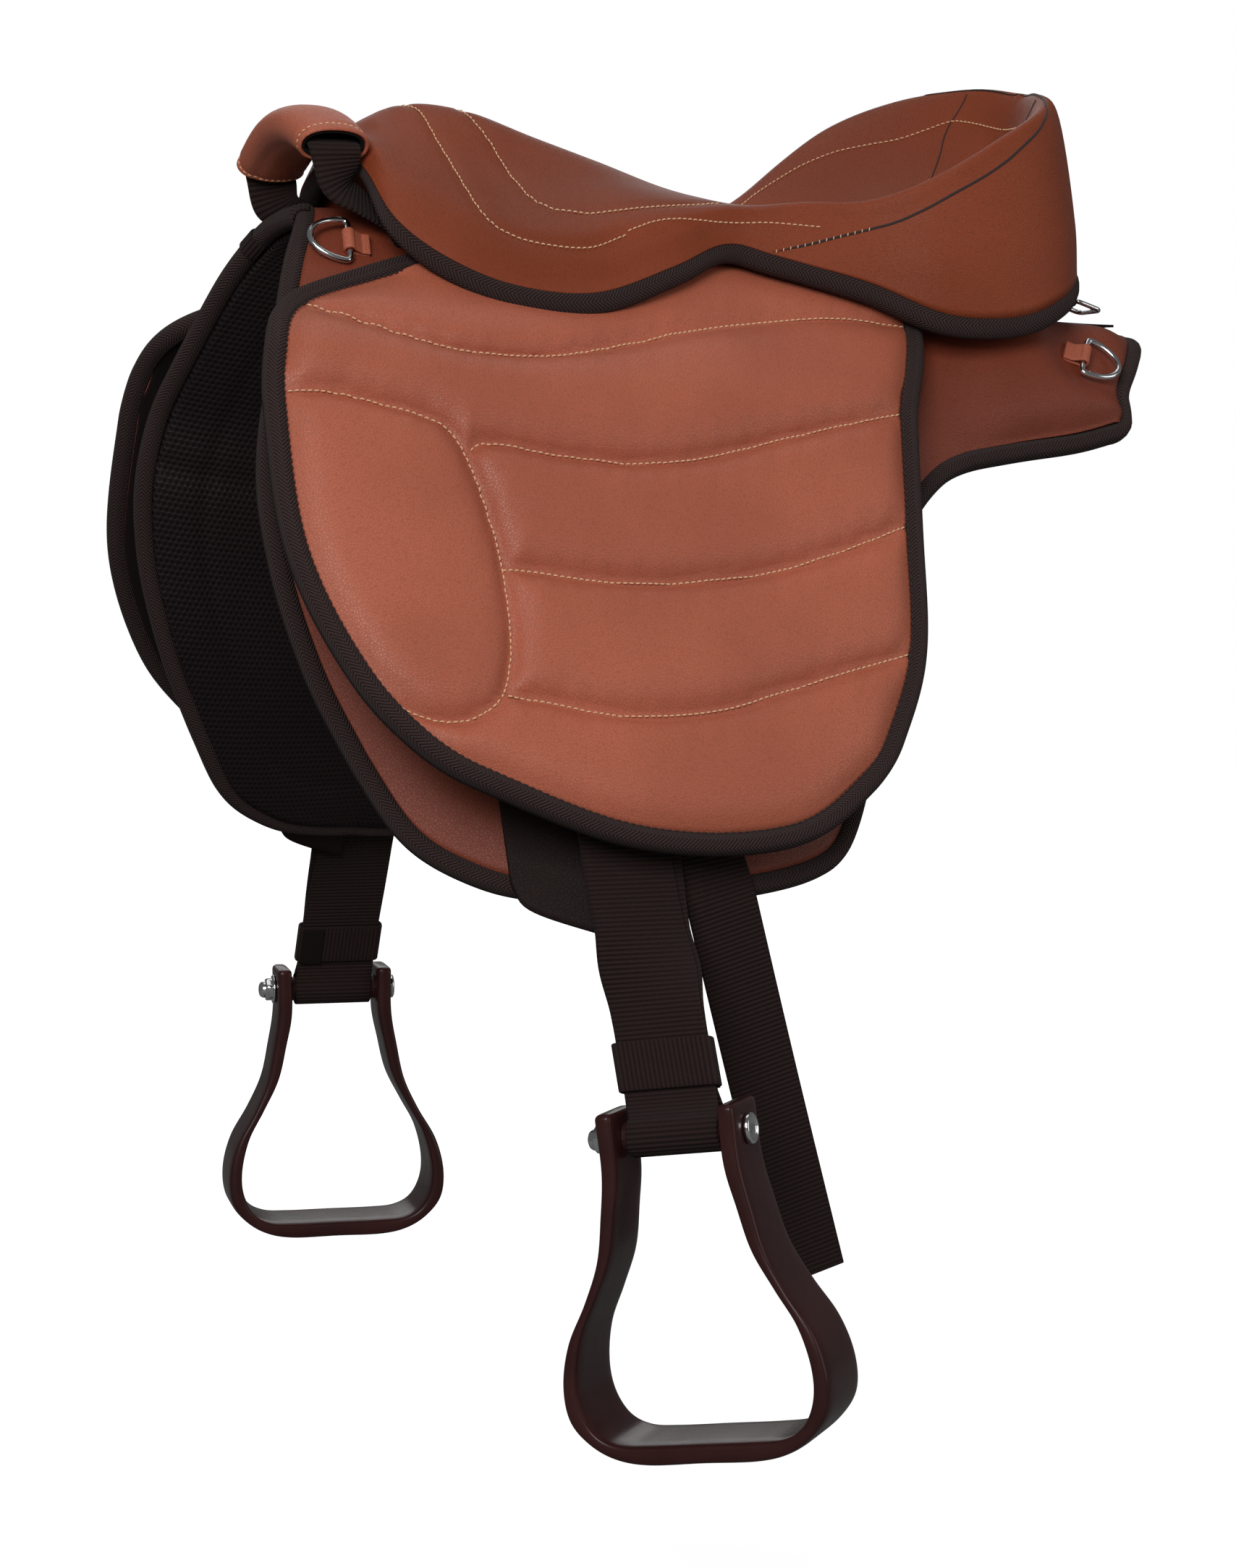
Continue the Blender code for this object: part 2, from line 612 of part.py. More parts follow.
def base_edges():
    """Inner edge of the binding round a base half: front, lower and rear run, as x and s."""
    front = smooth_line(scaled(BASE_FRONT_SHARES), EDGE_SAMPLES["front"])
    lower = smooth_line(scaled(BASE_FRONT_SHARES[-1:] + BASE_LOWER_SHARES), EDGE_SAMPLES["lower"])
    rear = smooth_line(scaled(BASE_LOWER_SHARES[-1:] + BASE_REAR_SHARES), EDGE_SAMPLES["rear"])
    whole = np.vstack([front, lower[1:], rear[1:]])
    inset = moved_in(whole, 2 * BINDING_RADIUS + GAP)
    inset[[0, -1], 1] = 0
    corner = len(front) - 1
    heel = corner + len(lower) - 1
    return (spaced(inset[: corner + 1], BASE_ROWS), spaced(inset[corner : heel + 1], BASE_COLUMNS),
            spaced(inset[heel:][::-1], BASE_ROWS))


def base_half(label, side, leather, lining_cloth, tape):
    """One half of the base with its lining and its binding."""
    front, lower, rear = base_edges()
    spine = np.linspace(front[0], rear[0], BASE_COLUMNS)
    places = coons(spine, lower, front, rear)
    bend = curl(places[..., 0], places[..., 1])
    full = np.ones(places.shape[:2])
    full[:, 0] = full[:, -1] = full[-1] = 0
    rim = (1 - full) * (PAD_THICKNESS - RIM_THICKNESS) / 2
    outer = skin_grid(places, bend - rim, side)
    inner = skin_grid(places, bend - PAD_THICKNESS + rim, side)
    slab(f"base_pad_{label}", outer, inner, leather)
    top = bend - PAD_THICKNESS + rim - GAP
    slab(f"base_lining_{label}", skin_grid(places, top, side),
         skin_grid(places, top - LINING_THICKNESS, side), lining_cloth)
    border = np.vstack([front, lower[1:], rear[::-1][1:]])
    path = mitred_out(border, BINDING_RADIUS + 2 * GAP)
    path[[0, -1], 1] = BINDING_END_GAP
    lifts = curl(path[:, 0], path[:, 1]) - PAD_THICKNESS / 2
    line = [skin_point(x, s, lift, side) for (x, s), lift in zip(path, lifts)]
    tube(f"base_binding_{label}", line, BINDING_RADIUS, tape)
    return np.array(line)


def flap_lift(x, s):
    """Lift of the flap's middle layer over the skin."""
    start, full = (share * SADDLE_LENGTH for share in FLAP_FLARE_SHARES)
    free = FLAP_REAR_LIFT + FLAP_FLARE * np.clip((x - start) / (full - start), 0, 1)
    tucked, clear = (share * SIDE_DROP for share in FLAP_TUCK_SHARES)
    return lerp(FLAP_TOP_LIFT, free, smoothstep((s - tucked) / (clear - tucked)))


def guide_grid(guides, steps):
    """Rows of places between guide lines, with so many steps between each pair."""
    lines = np.array([smooth_line(scaled(guide), FLAP_COLUMNS + 1) for guide in guides])
    rows = [lines[0]]
    padded = np.concatenate([[2 * lines[0] - lines[1]], lines, [2 * lines[-1] - lines[-2]]])
    for index, count in enumerate(steps):
        before, start, stop, after = padded[index : index + 4]
        for step in range(1, count + 1):
            share = step / count
            bend = 2 * before - 5 * start + 4 * stop - after
            twist = 3 * (start - stop) + after - before
            rows.append(start + (stop - before) * share / 2 + bend * share**2 / 2 + twist * share**3 / 2)
    return np.array(rows)


def puff_rows(steps, swells):
    """Crown of each row: swollen between two guide lines and drawn in on them."""
    crowns = [0.0]
    for count, swell in zip(steps, swells):
        for step in range(1, count + 1):
            crowns.append(swell * math.sin(math.pi * step / count) ** PUFF_POWER if step < count else 0.0)
    return np.array(crowns)


def fold_ends(side):
    """The two ends of the fold's outer edge, front and rear."""
    ends = []
    for x, s in scaled((FOLD_SHARES[0], FOLD_SHARES[-1])):
        ends.append(skin_point(x, s, flap_lift(x, s) + FLAP_THICKNESS / 2, side))
    return ends


def flap_faces(places, crowns, side):
    """Outer and inner grids of a flap piece."""
    middle = flap_lift(places[..., 0], places[..., 1])
    outer = skin_grid(places, middle + FLAP_THICKNESS / 2 + crowns, side)
    inner = skin_grid(places, middle - FLAP_THICKNESS / 2, side)
    return outer, inner


def set_fold_row(outer, inner, row, side, shift):
    """Lay one row of a flap piece straight along the fold, a little off its line."""
    front, rear = fold_ends(side)
    down = np.array([0, side * math.sin(SIDE_TILT), -math.cos(SIDE_TILT)])
    inward = np.array([0, -side * math.cos(SIDE_TILT), -math.sin(SIDE_TILT)])
    reach = np.linalg.norm(np.diff(outer[row], axis=0), axis=1)
    shares = np.concatenate([[0], np.cumsum(reach)]) / reach.sum()
    outer[row] = front + shares[:, None] * (rear - front) + shift * down
    inner[row] = outer[row] + FLAP_THICKNESS * inward


def flap(label, side, leather, tape):
    """The fixed yoke and the lifting panel of one flap, with their bindings."""
    yoke_places = guide_grid((YOKE_TOP_SHARES, YOKE_STITCH_SHARES, FOLD_SHARES), YOKE_STEPS)
    across = np.linspace(0, 1, FLAP_COLUMNS + 1)
    edge_fade = smoothstep(np.minimum(across, 1 - across) * FLAP_COLUMNS / 2)
    outer, inner = flap_faces(yoke_places, 0 * yoke_places[..., 0], side)
    set_fold_row(outer, inner, -1, side, -FOLD_GAP / 2)
    slab(f"flap_yoke_{label}", outer, inner, leather)

    guides = (FOLD_SHARES, CHANNEL_ONE_SHARES, CHANNEL_TWO_SHARES, CHANNEL_THREE_SHARES, FLAP_HEM_SHARES)
    panel_places = guide_grid(guides, PANEL_STEPS)
    crowns = puff_rows(PANEL_STEPS, PANEL_SWELL_SHARES)[:, None] * edge_fade * FLAP_PUFF
    knee = 1 - np.exp(-(((across - KNEE_CHANNEL_SHARE) / KNEE_CHANNEL_WIDTH_SHARE) ** 2))
    first_channel = PANEL_STEPS[0]
    last_channel = sum(PANEL_STEPS[:-1])
    crowns[first_channel : last_channel + 1] *= knee
    crowns[first_channel:-1, 1:-1] -= FLAP_GROOVE * (crowns[first_channel:-1, 1:-1] <= 0)
    panel_outer, panel_inner = flap_faces(panel_places, crowns, side)
    set_fold_row(panel_outer, panel_inner, 0, side, FOLD_GAP / 2)
    panel = slab(f"flap_panel_{label}", panel_outer, panel_inner, leather)

    binding = flap_binding(f"flap_panel_binding_{label}", border_of(panel_places), side, tape)
    yoke_front = yoke_places[:, 0]
    yoke_rear = yoke_places[::-1, -1]
    flap_binding(f"flap_yoke_binding_front_{label}", yoke_front, side, tape, trim_start=False)
    flap_binding(f"flap_yoke_binding_rear_{label}", yoke_rear, side, tape, trim_end=False)
    front, rear = fold_ends(side)
    hung_on(front, f"flap_hinge_{label}", (panel, binding))


def border_of(places):
    """Front, lower and rear edge of a flap piece as one line."""
    return np.vstack([places[:, 0], places[-1, 1:], places[-2::-1, -1]])


def flap_binding(name, border, side, tape, trim_start=True, trim_end=True):
    """Binding along a flap's free edge, cut short of the fold where it meets one."""
    path = mitred_out(border, BINDING_RADIUS + GAP)
    for end, beside, cut in ((0, 1, trim_start), (-1, -2, trim_end)):
        if cut:
            run = path[beside] - path[end]
            path[end] = path[end] + run * (FOLD_BINDING_GAP / 2) / np.linalg.norm(run)
    line = [skin_point(x, s, flap_lift(x, s), side) for x, s in path]
    return tube(name, line, BINDING_RADIUS, tape)


def seat_edge():
    """Centre line of the seat's binding on the right side, front to rear."""
    edge = [skin_point(x, s, SEAT_EDGE_LIFT, 1) for x, s in scaled(SEAT_EDGE_SHARES)]
    edge = np.array(edge)
    edge[[0, -1], 1] = 0
    return edge


def seat_knots(shares):
    """Knots of a seat guide line."""
    return np.array(shares) * (SADDLE_LENGTH, SEAT_HALF_WIDTH, CANTLE_HEIGHT)


def seat_rows():
    """Rows of the right half of the seat, from the top middle line round to the lower one."""
    edge = seat_edge()
    wall = seat_knots(SEAT_WALL_SHARES)
    rise = wall - edge
    ahead = np.gradient(edge, axis=0)
    ahead[[0, -1]] = (0, 1, 0), (0, -1, 0)
    ahead /= np.linalg.norm(ahead, axis=1)[:, None]
    rise -= np.sum(rise * ahead, axis=1)[:, None] * ahead
    rise /= np.linalg.norm(rise, axis=1)[:, None]
    out = np.cross(rise, ahead)
    runs = np.diff(np.vstack([edge[1] * (1, -1, 1), edge, edge[-2] * (1, -1, 1)]), axis=0)
    runs /= np.linalg.norm(runs, axis=1)[:, None]
    half_turn = np.sqrt((1 + np.sum(runs[1:] * runs[:-1], axis=1)) / 2)
    seam = edge + rise * ((SEAT_BINDING_RADIUS + SEAT_SEAM_GAP) / half_turn)[:, None]
    upper = seam + out * SEAT_RIM_THICKNESS / 2
    lower = seam - out * SEAT_RIM_THICKNESS / 2
    guides = [seat_knots(shares) for shares in (SEAT_SPINE_SHARES, SEAT_MIDDLE_SHARES, SEAT_RIDGE_SHARES,
                                                 SEAT_SHOULDER_SHARES, SEAT_WALL_SHARES)]
    guides.append(upper)
    rows = [guides[0]]
    padded = [2 * guides[0] - guides[1], *guides, 2 * guides[-1] - guides[-2]]
    padded[0][:, 1] = -guides[1][:, 1]
    padded[0][:, [0, 2]] = guides[1][:, [0, 2]]
    for index, count in enumerate(SEAT_STEPS):
        before, start, stop, after = padded[index : index + 4]
        for step in range(1, count + 1):
            share = step / count
            bend = 2 * before - 5 * start + 4 * stop - after
            twist = 3 * (start - stop) + after - before
            rows.append(start + (stop - before) * share / 2 + bend * share**2 / 2 + twist * share**3 / 2)
    rows.append(lower)
    rows.extend(seat_under_rows())
    rows = np.array(rows)
    rows[:, [0, -1], 1] = 0
    rows[[0, -1], :, 1] = 0
    return rows


def seat_under_rows():
    """Underside of the seat: a tunnel over the flap's top edge, a ramp, then the bed on the base."""
    places = scaled(SEAT_EDGE_SHARES)
    ends = np.column_stack([np.linspace(*SEAT_BED_SHARES, len(places)) * SADDLE_LENGTH, 0 * places[:, 0]])
    run = np.linalg.norm(ends - places, axis=1)
    tunnel = SEAT_TUNNEL_DEPTH / run
    ramp = (SEAT_TUNNEL_DEPTH + SEAT_TUNNEL_RAMP) / run
    front = np.clip(1 - np.arange(len(places)) / SEAT_FRONT_COLUMNS, 0, 1)
    behind = lerp(SEAT_TUNNEL_LIFT, SEAT_EDGE_LIFT + 2 * SEAT_SEAM_GAP, front)
    stations = [(tunnel / 2, behind), (tunnel, SEAT_TUNNEL_LIFT), (ramp, SEAT_BED_LIFT)]
    beds = np.linspace(0, 1, SEAT_BED_STEPS + 1)[1:]
    stations += [(lerp(ramp, 1, share), SEAT_BED_LIFT) for share in beds]
    rows = []
    for shares, lift in stations:
        spots = places + (ends - places) * shares[:, None] if np.ndim(shares) else ends
        lifts = np.broadcast_to(lift, len(spots))
        rows.append([skin_point(x, s, high, 1) for (x, s), high in zip(spots, lifts)])
    return rows


def seat(leather, tape):
    """Seat cushion, mirrored from its right half, and its binding."""
    rows = seat_rows()
    mesh = bpy.data.meshes.new("seat_cushion")
    count, columns = rows.shape[:2]
    mesh.from_pydata(rows.reshape(-1, 3).tolist(), [], lattice(count, columns))
    mesh.shade_smooth()
    mesh.materials.append(leather)
    cushion = bpy.data.objects.new("seat_cushion", mesh)
    parts.objects.link(cushion)
    mirror = cushion.modifiers.new("other_half", "MIRROR")
    mirror.use_axis = (False, True, False)
    mirror.merge_threshold = MERGE_REACH
    edge = seat_edge()
    loop = np.vstack([edge, edge[-2:0:-1] * (1, -1, 1)])
    tube("seat_binding", loop, SEAT_BINDING_RADIUS, tape, closed=True)


def hook_panel(felt):
    """Thin hook-and-loop sheet that holds the seat on the base."""
    reach = HOOK_DROP_SHARE * SIDE_DROP
    runs = np.linspace(-reach, reach, 2 * HOOK_ROWS + 1)
    stations = np.linspace(*HOOK_SHARES, HOOK_COLUMNS) * SADDLE_LENGTH
    grids = []
    for lift in (HOOK_LIFT + HOOK_THICKNESS, HOOK_LIFT):
        grid = [[skin_point(x, abs(s), lift, np.sign(s) or 1) for x in stations] for s in runs]
        grid = np.array(grid)
        grid[HOOK_ROWS, :, 1] = 0
        grids.append(grid)
    slab("seat_hook_panel", *grids, felt)


def run_at_height(x, height):
    """Run down the skin at which it reaches a height, at one x."""
    run, _, z = skin_column(round(float(x), 5))
    return np.interp(-height, -z, run)


def side_directions(side):
    """Directions down and out of one side plane."""
    down = np.array([0, side * math.sin(SIDE_TILT), -math.cos(SIDE_TILT)])
    out = np.array([0, side * math.cos(SIDE_TILT), math.sin(SIDE_TILT)])
    return down, out


def strap_places(label, side):
    """Hanger pivot, bolt centre and bolt direction of one stirrup strap."""
    down, out = side_directions(side)
    head = np.array([STRAP_SHARE * SADDLE_LENGTH, side * SPINE_WIDTH / 2, 0]) + STRAP_LIFT * out
    heading = BOLT_HEADING[label]
    rise = BOLT_RISE[label]
    bolt = np.array([math.cos(rise) * math.cos(heading), side * math.cos(rise) * math.sin(heading),
                     math.sin(rise)])
    return head + down * HANGER_DROP, head + down * BOLT_DROP, bolt


def strap_heading(height, bolt):
    """Width direction of a stirrup strap at a height above its bolt."""
    share = smoothstep((STRAP_TWIST_START - height) / (STRAP_TWIST_START - STRAP_TWIST_END))
    heading = lerp(np.array([1.0, 0, 0]), bolt, share)
    return heading / np.linalg.norm(heading)


def strap_facing(height, bolt, side):
    """Outward direction of a stirrup strap at a height above its bolt."""
    facing = np.cross(side_directions(side)[0], strap_heading(height, bolt)) * -side
    return facing / np.linalg.norm(facing)


def stirrup_strap(label, side, webbing):
    """Two-layer strap that runs round the hanger ring's bar above and the spacer below."""
    pivot, centre, bolt = strap_places(label, side)
    down, out = side_directions(side)
    bar = pivot + down * HANGER_RING_DROP
    length = BOLT_DROP - HANGER_DROP - HANGER_RING_DROP
    layer = (STRAP_THICKNESS + GAP) / 2
    top_wrap = HANGER_WIRE + 2 * GAP + STRAP_THICKNESS / 2
    low_wrap = SPACER_RADIUS + GAP + STRAP_THICKNESS / 2
    low_start = STRAP_CLOSE_SHARE * low_wrap
    top_end = length - STRAP_CLOSE_SHARE * top_wrap
    twisted = np.linspace(STRAP_TWIST_END, STRAP_TWIST_START, STRAP_TWIST_STEPS)
    inner_heights = [low_start, *twisted, STRAP_HEM, (STRAP_HEM + top_end) / 2, top_end]
    outer_low = [STRAP_HEM, *twisted[::-1], low_start]
    outer_top = [top_end, (STRAP_HEM + top_end) / 2, STRAP_HEM + STRAP_HEM_GAP]
    stations = []

    def add_layer(heights, sign):
        for height in heights:
            facing = sign * strap_facing(height, bolt, side)
            stations.append((centre - down * height + facing * layer, strap_heading(height, bolt), facing))

    add_layer(outer_low, 1)
    facing = strap_facing(0, bolt, side)
    under = np.cross(bolt, facing)
    under *= np.sign(np.dot(under, down))
    for angle in np.radians(np.linspace(-WRAP_OPENING, 180 + WRAP_OPENING, WRAP_STEPS)):
        ray = facing * math.cos(angle) + under * math.sin(angle)
        stations.append((centre + ray * low_wrap, bolt, ray))
    add_layer(inner_heights, -1)
    for angle in np.radians(np.linspace(-WRAP_OPENING, 180 + WRAP_OPENING, WRAP_STEPS)):
        ray = -out * math.cos(angle) - down * math.sin(angle)
        stations.append((bar + ray * top_wrap, np.array([1.0, 0, 0]), ray))
    add_layer(outer_top, 1)
    return ribbon(f"stirrup_strap_{label}", *zip(*stations), STRAP_WIDTH, STRAP_THICKNESS, webbing,
                  strips=STRAP_STRIPS)


def strap_hanger(label, side, webbing, steel):
    """Chape sewn to the base and the ring that the stirrup strap hangs from."""
    pivot, _, _ = strap_places(label, side)
    down, out = side_directions(side)
    along = np.array([1.0, 0, 0])
    angles = np.radians(np.linspace(-HANGER_ARC, HANGER_ARC, HANGER_STEPS))
    ring = []
    for angle in angles:
        ring.append(pivot + HANGER_RING_RADIUS * (along * math.sin(angle) - down * math.cos(angle)))
    half = STRAP_WIDTH / 2 + 2 * HANGER_WIRE
    ring += [pivot + down * HANGER_RING_DROP + along * half, pivot + down * HANGER_RING_DROP - along * half]
    loop = tube(f"hanger_ring_{label}", ring, HANGER_WIRE, steel, closed=True)

    x = pivot[0]
    top = pivot - down * HANGER_RING_RADIUS
    s = run_at_height(x, top[2])
    wrap = HANGER_WIRE + 2 * GAP + HANGER_THICKNESS / 2
    low = GAP + HANGER_THICKNESS / 2
    high = low + HANGER_THICKNESS + GAP
    tail = np.linspace(HANGER_TAIL, 2 * wrap, HANGER_TAIL_POINTS)
    stations = [skin_point(x, s - back, low, side) for back in tail]
    for angle in np.linspace(-math.pi / 2, math.pi / 2, HANGER_LOOP_STEPS):
        stations.append(top + down * HANGER_PLAY + wrap * (down * math.cos(angle) + out * math.sin(angle)))
    stations.append(top - down * wrap + out * wrap * HANGER_LOOP_SHARE)
    stations += [skin_point(x, s - back, high, side) for back in tail[-2::-1]]
    stations = np.array(stations)
    ahead = np.gradient(stations, axis=0)
    ahead /= np.linalg.norm(ahead, axis=1)[:, None]
    outward = np.cross(ahead, along)
    ribbon(f"stirrup_hanger_{label}", stations, np.broadcast_to(along, stations.shape), outward,
           HANGER_WIDTH, HANGER_THICKNESS, webbing)
    return loop


def keeper(label, side, leather):
    """Band round both layers of a stirrup strap, above its spacer."""
    _, centre, bolt = strap_places(label, side)
    down, _ = side_directions(side)
    middle = centre - down * KEEPER_RISE
    heading = strap_heading(KEEPER_RISE, bolt)
    facing = strap_facing(KEEPER_RISE, bolt, side)
    wide = STRAP_WIDTH / 2 + KEEPER_PLAY + KEEPER_THICKNESS / 2
    deep = STRAP_THICKNESS + GAP / 2 + KEEPER_PLAY + KEEPER_THICKNESS / 2
    corner = KEEPER_THICKNESS / 2
    outline = [(-wide, 0), (-wide, deep - corner), (corner - wide, deep), (0, deep), (wide - corner, deep),
               (wide, deep - corner)]
    outline += [(-across, -out) for across, out in outline]
    centres = [middle + heading * across + facing * out for across, out in outline]
    outward = []
    for before, after in zip(outline[-1:] + outline[:-1], outline[1:] + outline[:1]):
        ray = heading * (before[1] - after[1]) + facing * (after[0] - before[0])
        outward.append(ray / np.linalg.norm(ray))
    length = np.broadcast_to(down, (len(centres), 3))
    return ribbon(f"strap_keeper_{label}", centres, length, outward, KEEPER_HEIGHT, KEEPER_THICKNESS,
                  leather, closed=True)


def stirrup_axes(bolt):
    """Directions along the bolt, fore and aft, and up for a hanging stirrup."""
    up = np.array([0, 0, 1.0]) - bolt[2] * bolt
    up /= np.linalg.norm(up)
    return bolt, np.cross(up, bolt), up


def stirrup(label, side, plastic):
    """Moulded stirrup: two ears, two arms and a tread in one U, with bolt holes through its ears."""
    _, centre, bolt = strap_places(label, side)
    along, deep, up = stirrup_axes(bolt)
    arm = []
    for outer, inner, depth in zip(STIRRUP_OUTER_SHARES, STIRRUP_INNER_SHARES, STIRRUP_DEPTH_SHARES):
        outer = np.array([outer[1] * STIRRUP_WIDTH, STIRRUP_EAR_TOP - outer[0] * STIRRUP_HEIGHT])
        inner = np.array([inner[1] * STIRRUP_WIDTH, STIRRUP_EAR_TOP - inner[0] * STIRRUP_HEIGHT])
        arm.append((outer, inner, depth * STIRRUP_DEPTH / 2))
    whole = [(outer * (-1, 1), inner * (-1, 1), depth) for outer, inner, depth in arm[:-1]] + arm[::-1]
    rings = []
    for outer, inner, depth in whole:
        middle = (outer + inner) / 2
        half = (outer - inner) / 2
        cut = 1 - min(STIRRUP_CHAMFER / np.linalg.norm(half), CHAMFER_LIMIT_SHARE)
        edge = depth - STIRRUP_CHAMFER
        section = [(1, edge), (cut, depth), (-cut, depth), (-1, edge)]
        section += [(-across, -out) for across, out in section]
        ring = []
        for across, out in section:
            flat = middle + half * across
            ring.append(centre + along * flat[0] + up * flat[1] + deep * out)
        rings.append(ring)
    made = loft(f"stirrup_{label}", rings, plastic)
    drill = bpy.data.meshes.new(f"bolt_hole_{label}")
    shape = bmesh.new()
    bore = BOLT_RADIUS + BOLT_RUNNING_GAP
    bmesh.ops.create_cone(shape, cap_ends=True, segments=BORE_SIDES, radius1=bore, radius2=bore,
                          depth=STIRRUP_WIDTH)
    shape.to_mesh(drill)
    shape.free()
    cutter = bpy.data.objects.new(f"bolt_hole_{label}", drill)
    cutter.rotation_mode = "QUATERNION"
    cutter.rotation_quaternion = Vector(bolt).to_track_quat("Z", "Y")
    cutter.location = Vector(centre)
    cutter.hide_render = True
    cutter.display_type = "WIRE"
    cutters.objects.link(cutter)
    cut_holes = made.modifiers.new("bolt_holes", "BOOLEAN")
    cut_holes.object = cutter
    return made


def stirrup_fixings(label, side, steel):
    """Bolt, cap nut with its washer, and the spacer that the strap turns round."""
    _, centre, bolt = strap_places(label, side)
    ear_outer = STIRRUP_OUTER_SHARES[0][1] * STIRRUP_WIDTH + GAP
    ear_inner = STIRRUP_INNER_SHARES[0][1] * STIRRUP_WIDTH - GAP
    rim = BOLT_HEAD_HEIGHT / 3
    thread_end = -ear_outer - WASHER_THICKNESS - NUT_HEIGHT / 2
    shank = [(0, ear_outer + BOLT_HEAD_HEIGHT), (BOLT_HEAD_RADIUS - rim, ear_outer + BOLT_HEAD_HEIGHT),
             (BOLT_HEAD_RADIUS, ear_outer + BOLT_HEAD_HEIGHT - rim), (BOLT_HEAD_RADIUS, ear_outer),
             (BOLT_RADIUS, ear_outer), (BOLT_RADIUS, thread_end), (0, thread_end)]
    bolt_piece = turned(f"stirrup_bolt_{label}", shank, centre, bolt, steel)
    bore = BOLT_RADIUS + BOLT_RUNNING_GAP
    dome = [(NUT_RADIUS * math.sin(angle), NUT_HEIGHT / 2 + NUT_HEIGHT / 2 * math.cos(angle))
            for angle in np.radians(DOME_ANGLES)]
    dome = [(radius, height + WASHER_THICKNESS) for radius, height in dome]
    nut = dome + [(NUT_RADIUS, WASHER_THICKNESS), (WASHER_RADIUS, WASHER_THICKNESS), (WASHER_RADIUS, 0),
                  (bore, 0), (bore, WASHER_THICKNESS + NUT_HEIGHT / 2 + GAP),
                  (0, WASHER_THICKNESS + NUT_HEIGHT / 2 + GAP)]
    nut_piece = turned(f"stirrup_cap_nut_{label}", nut, centre - bolt * ear_outer, -bolt, steel)
    roll = [(SPACER_RADIUS, ear_inner), (SPACER_RADIUS, -ear_inner), (bore, -ear_inner), (bore, ear_inner)]
    spacer = turned(f"strap_spacer_{label}", roll, centre, bolt, steel, closed=True)
    return bolt_piece, nut_piece, spacer


def girth_strap(label, side, webbing):
    """Girth strap sewn on the base under the flap; the left one also hangs free below it."""
    end = GIRTH_BEND_SHARES if label == "left" else GIRTH_SHORT_SHARES
    knots = smooth_line(scaled((GIRTH_TOP_SHARES, end)), GIRTH_LAID_POINTS)
    centres = [skin_point(x, s, GIRTH_LIFT, side) for x, s in knots]
    if label == "left":
        hang = np.array([math.tan(GIRTH_SLANT), -side * math.tan(GIRTH_LEAN), -1])
        hang /= np.linalg.norm(hang)
        runs = np.linspace(0, GIRTH_FREE_LENGTH, GIRTH_FREE_POINTS)[1:]
        centres += [centres[-1] + hang * run for run in runs]
    centres = np.array(centres)
    ahead = np.gradient(centres, axis=0)
    ahead /= np.linalg.norm(ahead, axis=1)[:, None]
    rough = np.cross(ahead, (1.0, 0, 0)) * side
    across = np.cross(rough, ahead)
    across /= np.linalg.norm(across, axis=1)[:, None]
    outward = np.cross(ahead, across) * side
    return ribbon(f"girth_strap_{label}", centres, across, outward, GIRTH_WIDTH, GIRTH_THICKNESS, webbing)


def girth_guard(label, side, leather):
    """Three-cornered leather guard that hangs below the base's lower edge."""
    upper = smooth_line(scaled(GUARD_UPPER_SHARES), GUARD_POINTS)
    lower = smooth_line(scaled(GUARD_LOWER_SHARES), GUARD_POINTS)
    places = np.array([lerp(upper, lower, share) for share in np.linspace(0, 1, GUARD_POINTS)])
    middle = curl(places[..., 0], places[..., 1]) + GUARD_PLAY + GUARD_THICKNESS / 2
    slab(f"girth_guard_{label}", skin_grid(places, middle + GUARD_THICKNESS / 2, side),
         skin_grid(places, middle - GUARD_THICKNESS / 2, side), leather)


def handle_line():
    """Stations of the right half of the handle's webbing: centre, width direction and width."""
    x = HANDLE_SHARE * SADDLE_LENGTH
    stations = []
    for share in np.linspace(0, 1, SLEEVE_RINGS // 2 + 1):
        height = HANDLE_TOP - (HANDLE_TOP - HANDLE_END) * share**2
        stations.append(((x, share * HANDLE_SPAN / 2, height), (1, 0, 0), HANDLE_WEB_WIDTH))
    turns = np.linspace(0, 1, len(HANDLE_WEB_SHARES) + 1)[1:]
    anchor_x, anchor_s = scaled((HANDLE_ANCHOR_SHARES,))[0]
    anchor, _, sideways, _ = skin_frame(anchor_x, anchor_s, HANDLE_WEB_LIFT, 1)
    sideways = -sideways * np.sign(sideways[1])
    end = np.array((x, HANDLE_SPAN / 2, HANDLE_END))
    for shares, turn in zip(HANDLE_WEB_SHARES, turns):
        place = lerp(end, anchor, np.array(shares))
        stations.append((place, lerp(np.array([1.0, 0, 0]), sideways, smoothstep(turn)),
                         lerp(HANDLE_WEB_WIDTH, HANDLE_WEB_TAIL_WIDTH, turn)))
    for back in (HANDLE_TAIL, 0):
        place = skin_point(anchor_x - back, anchor_s, HANDLE_WEB_LIFT, 1)
        stations.append((place, sideways, HANDLE_WEB_TAIL_WIDTH))
    return stations


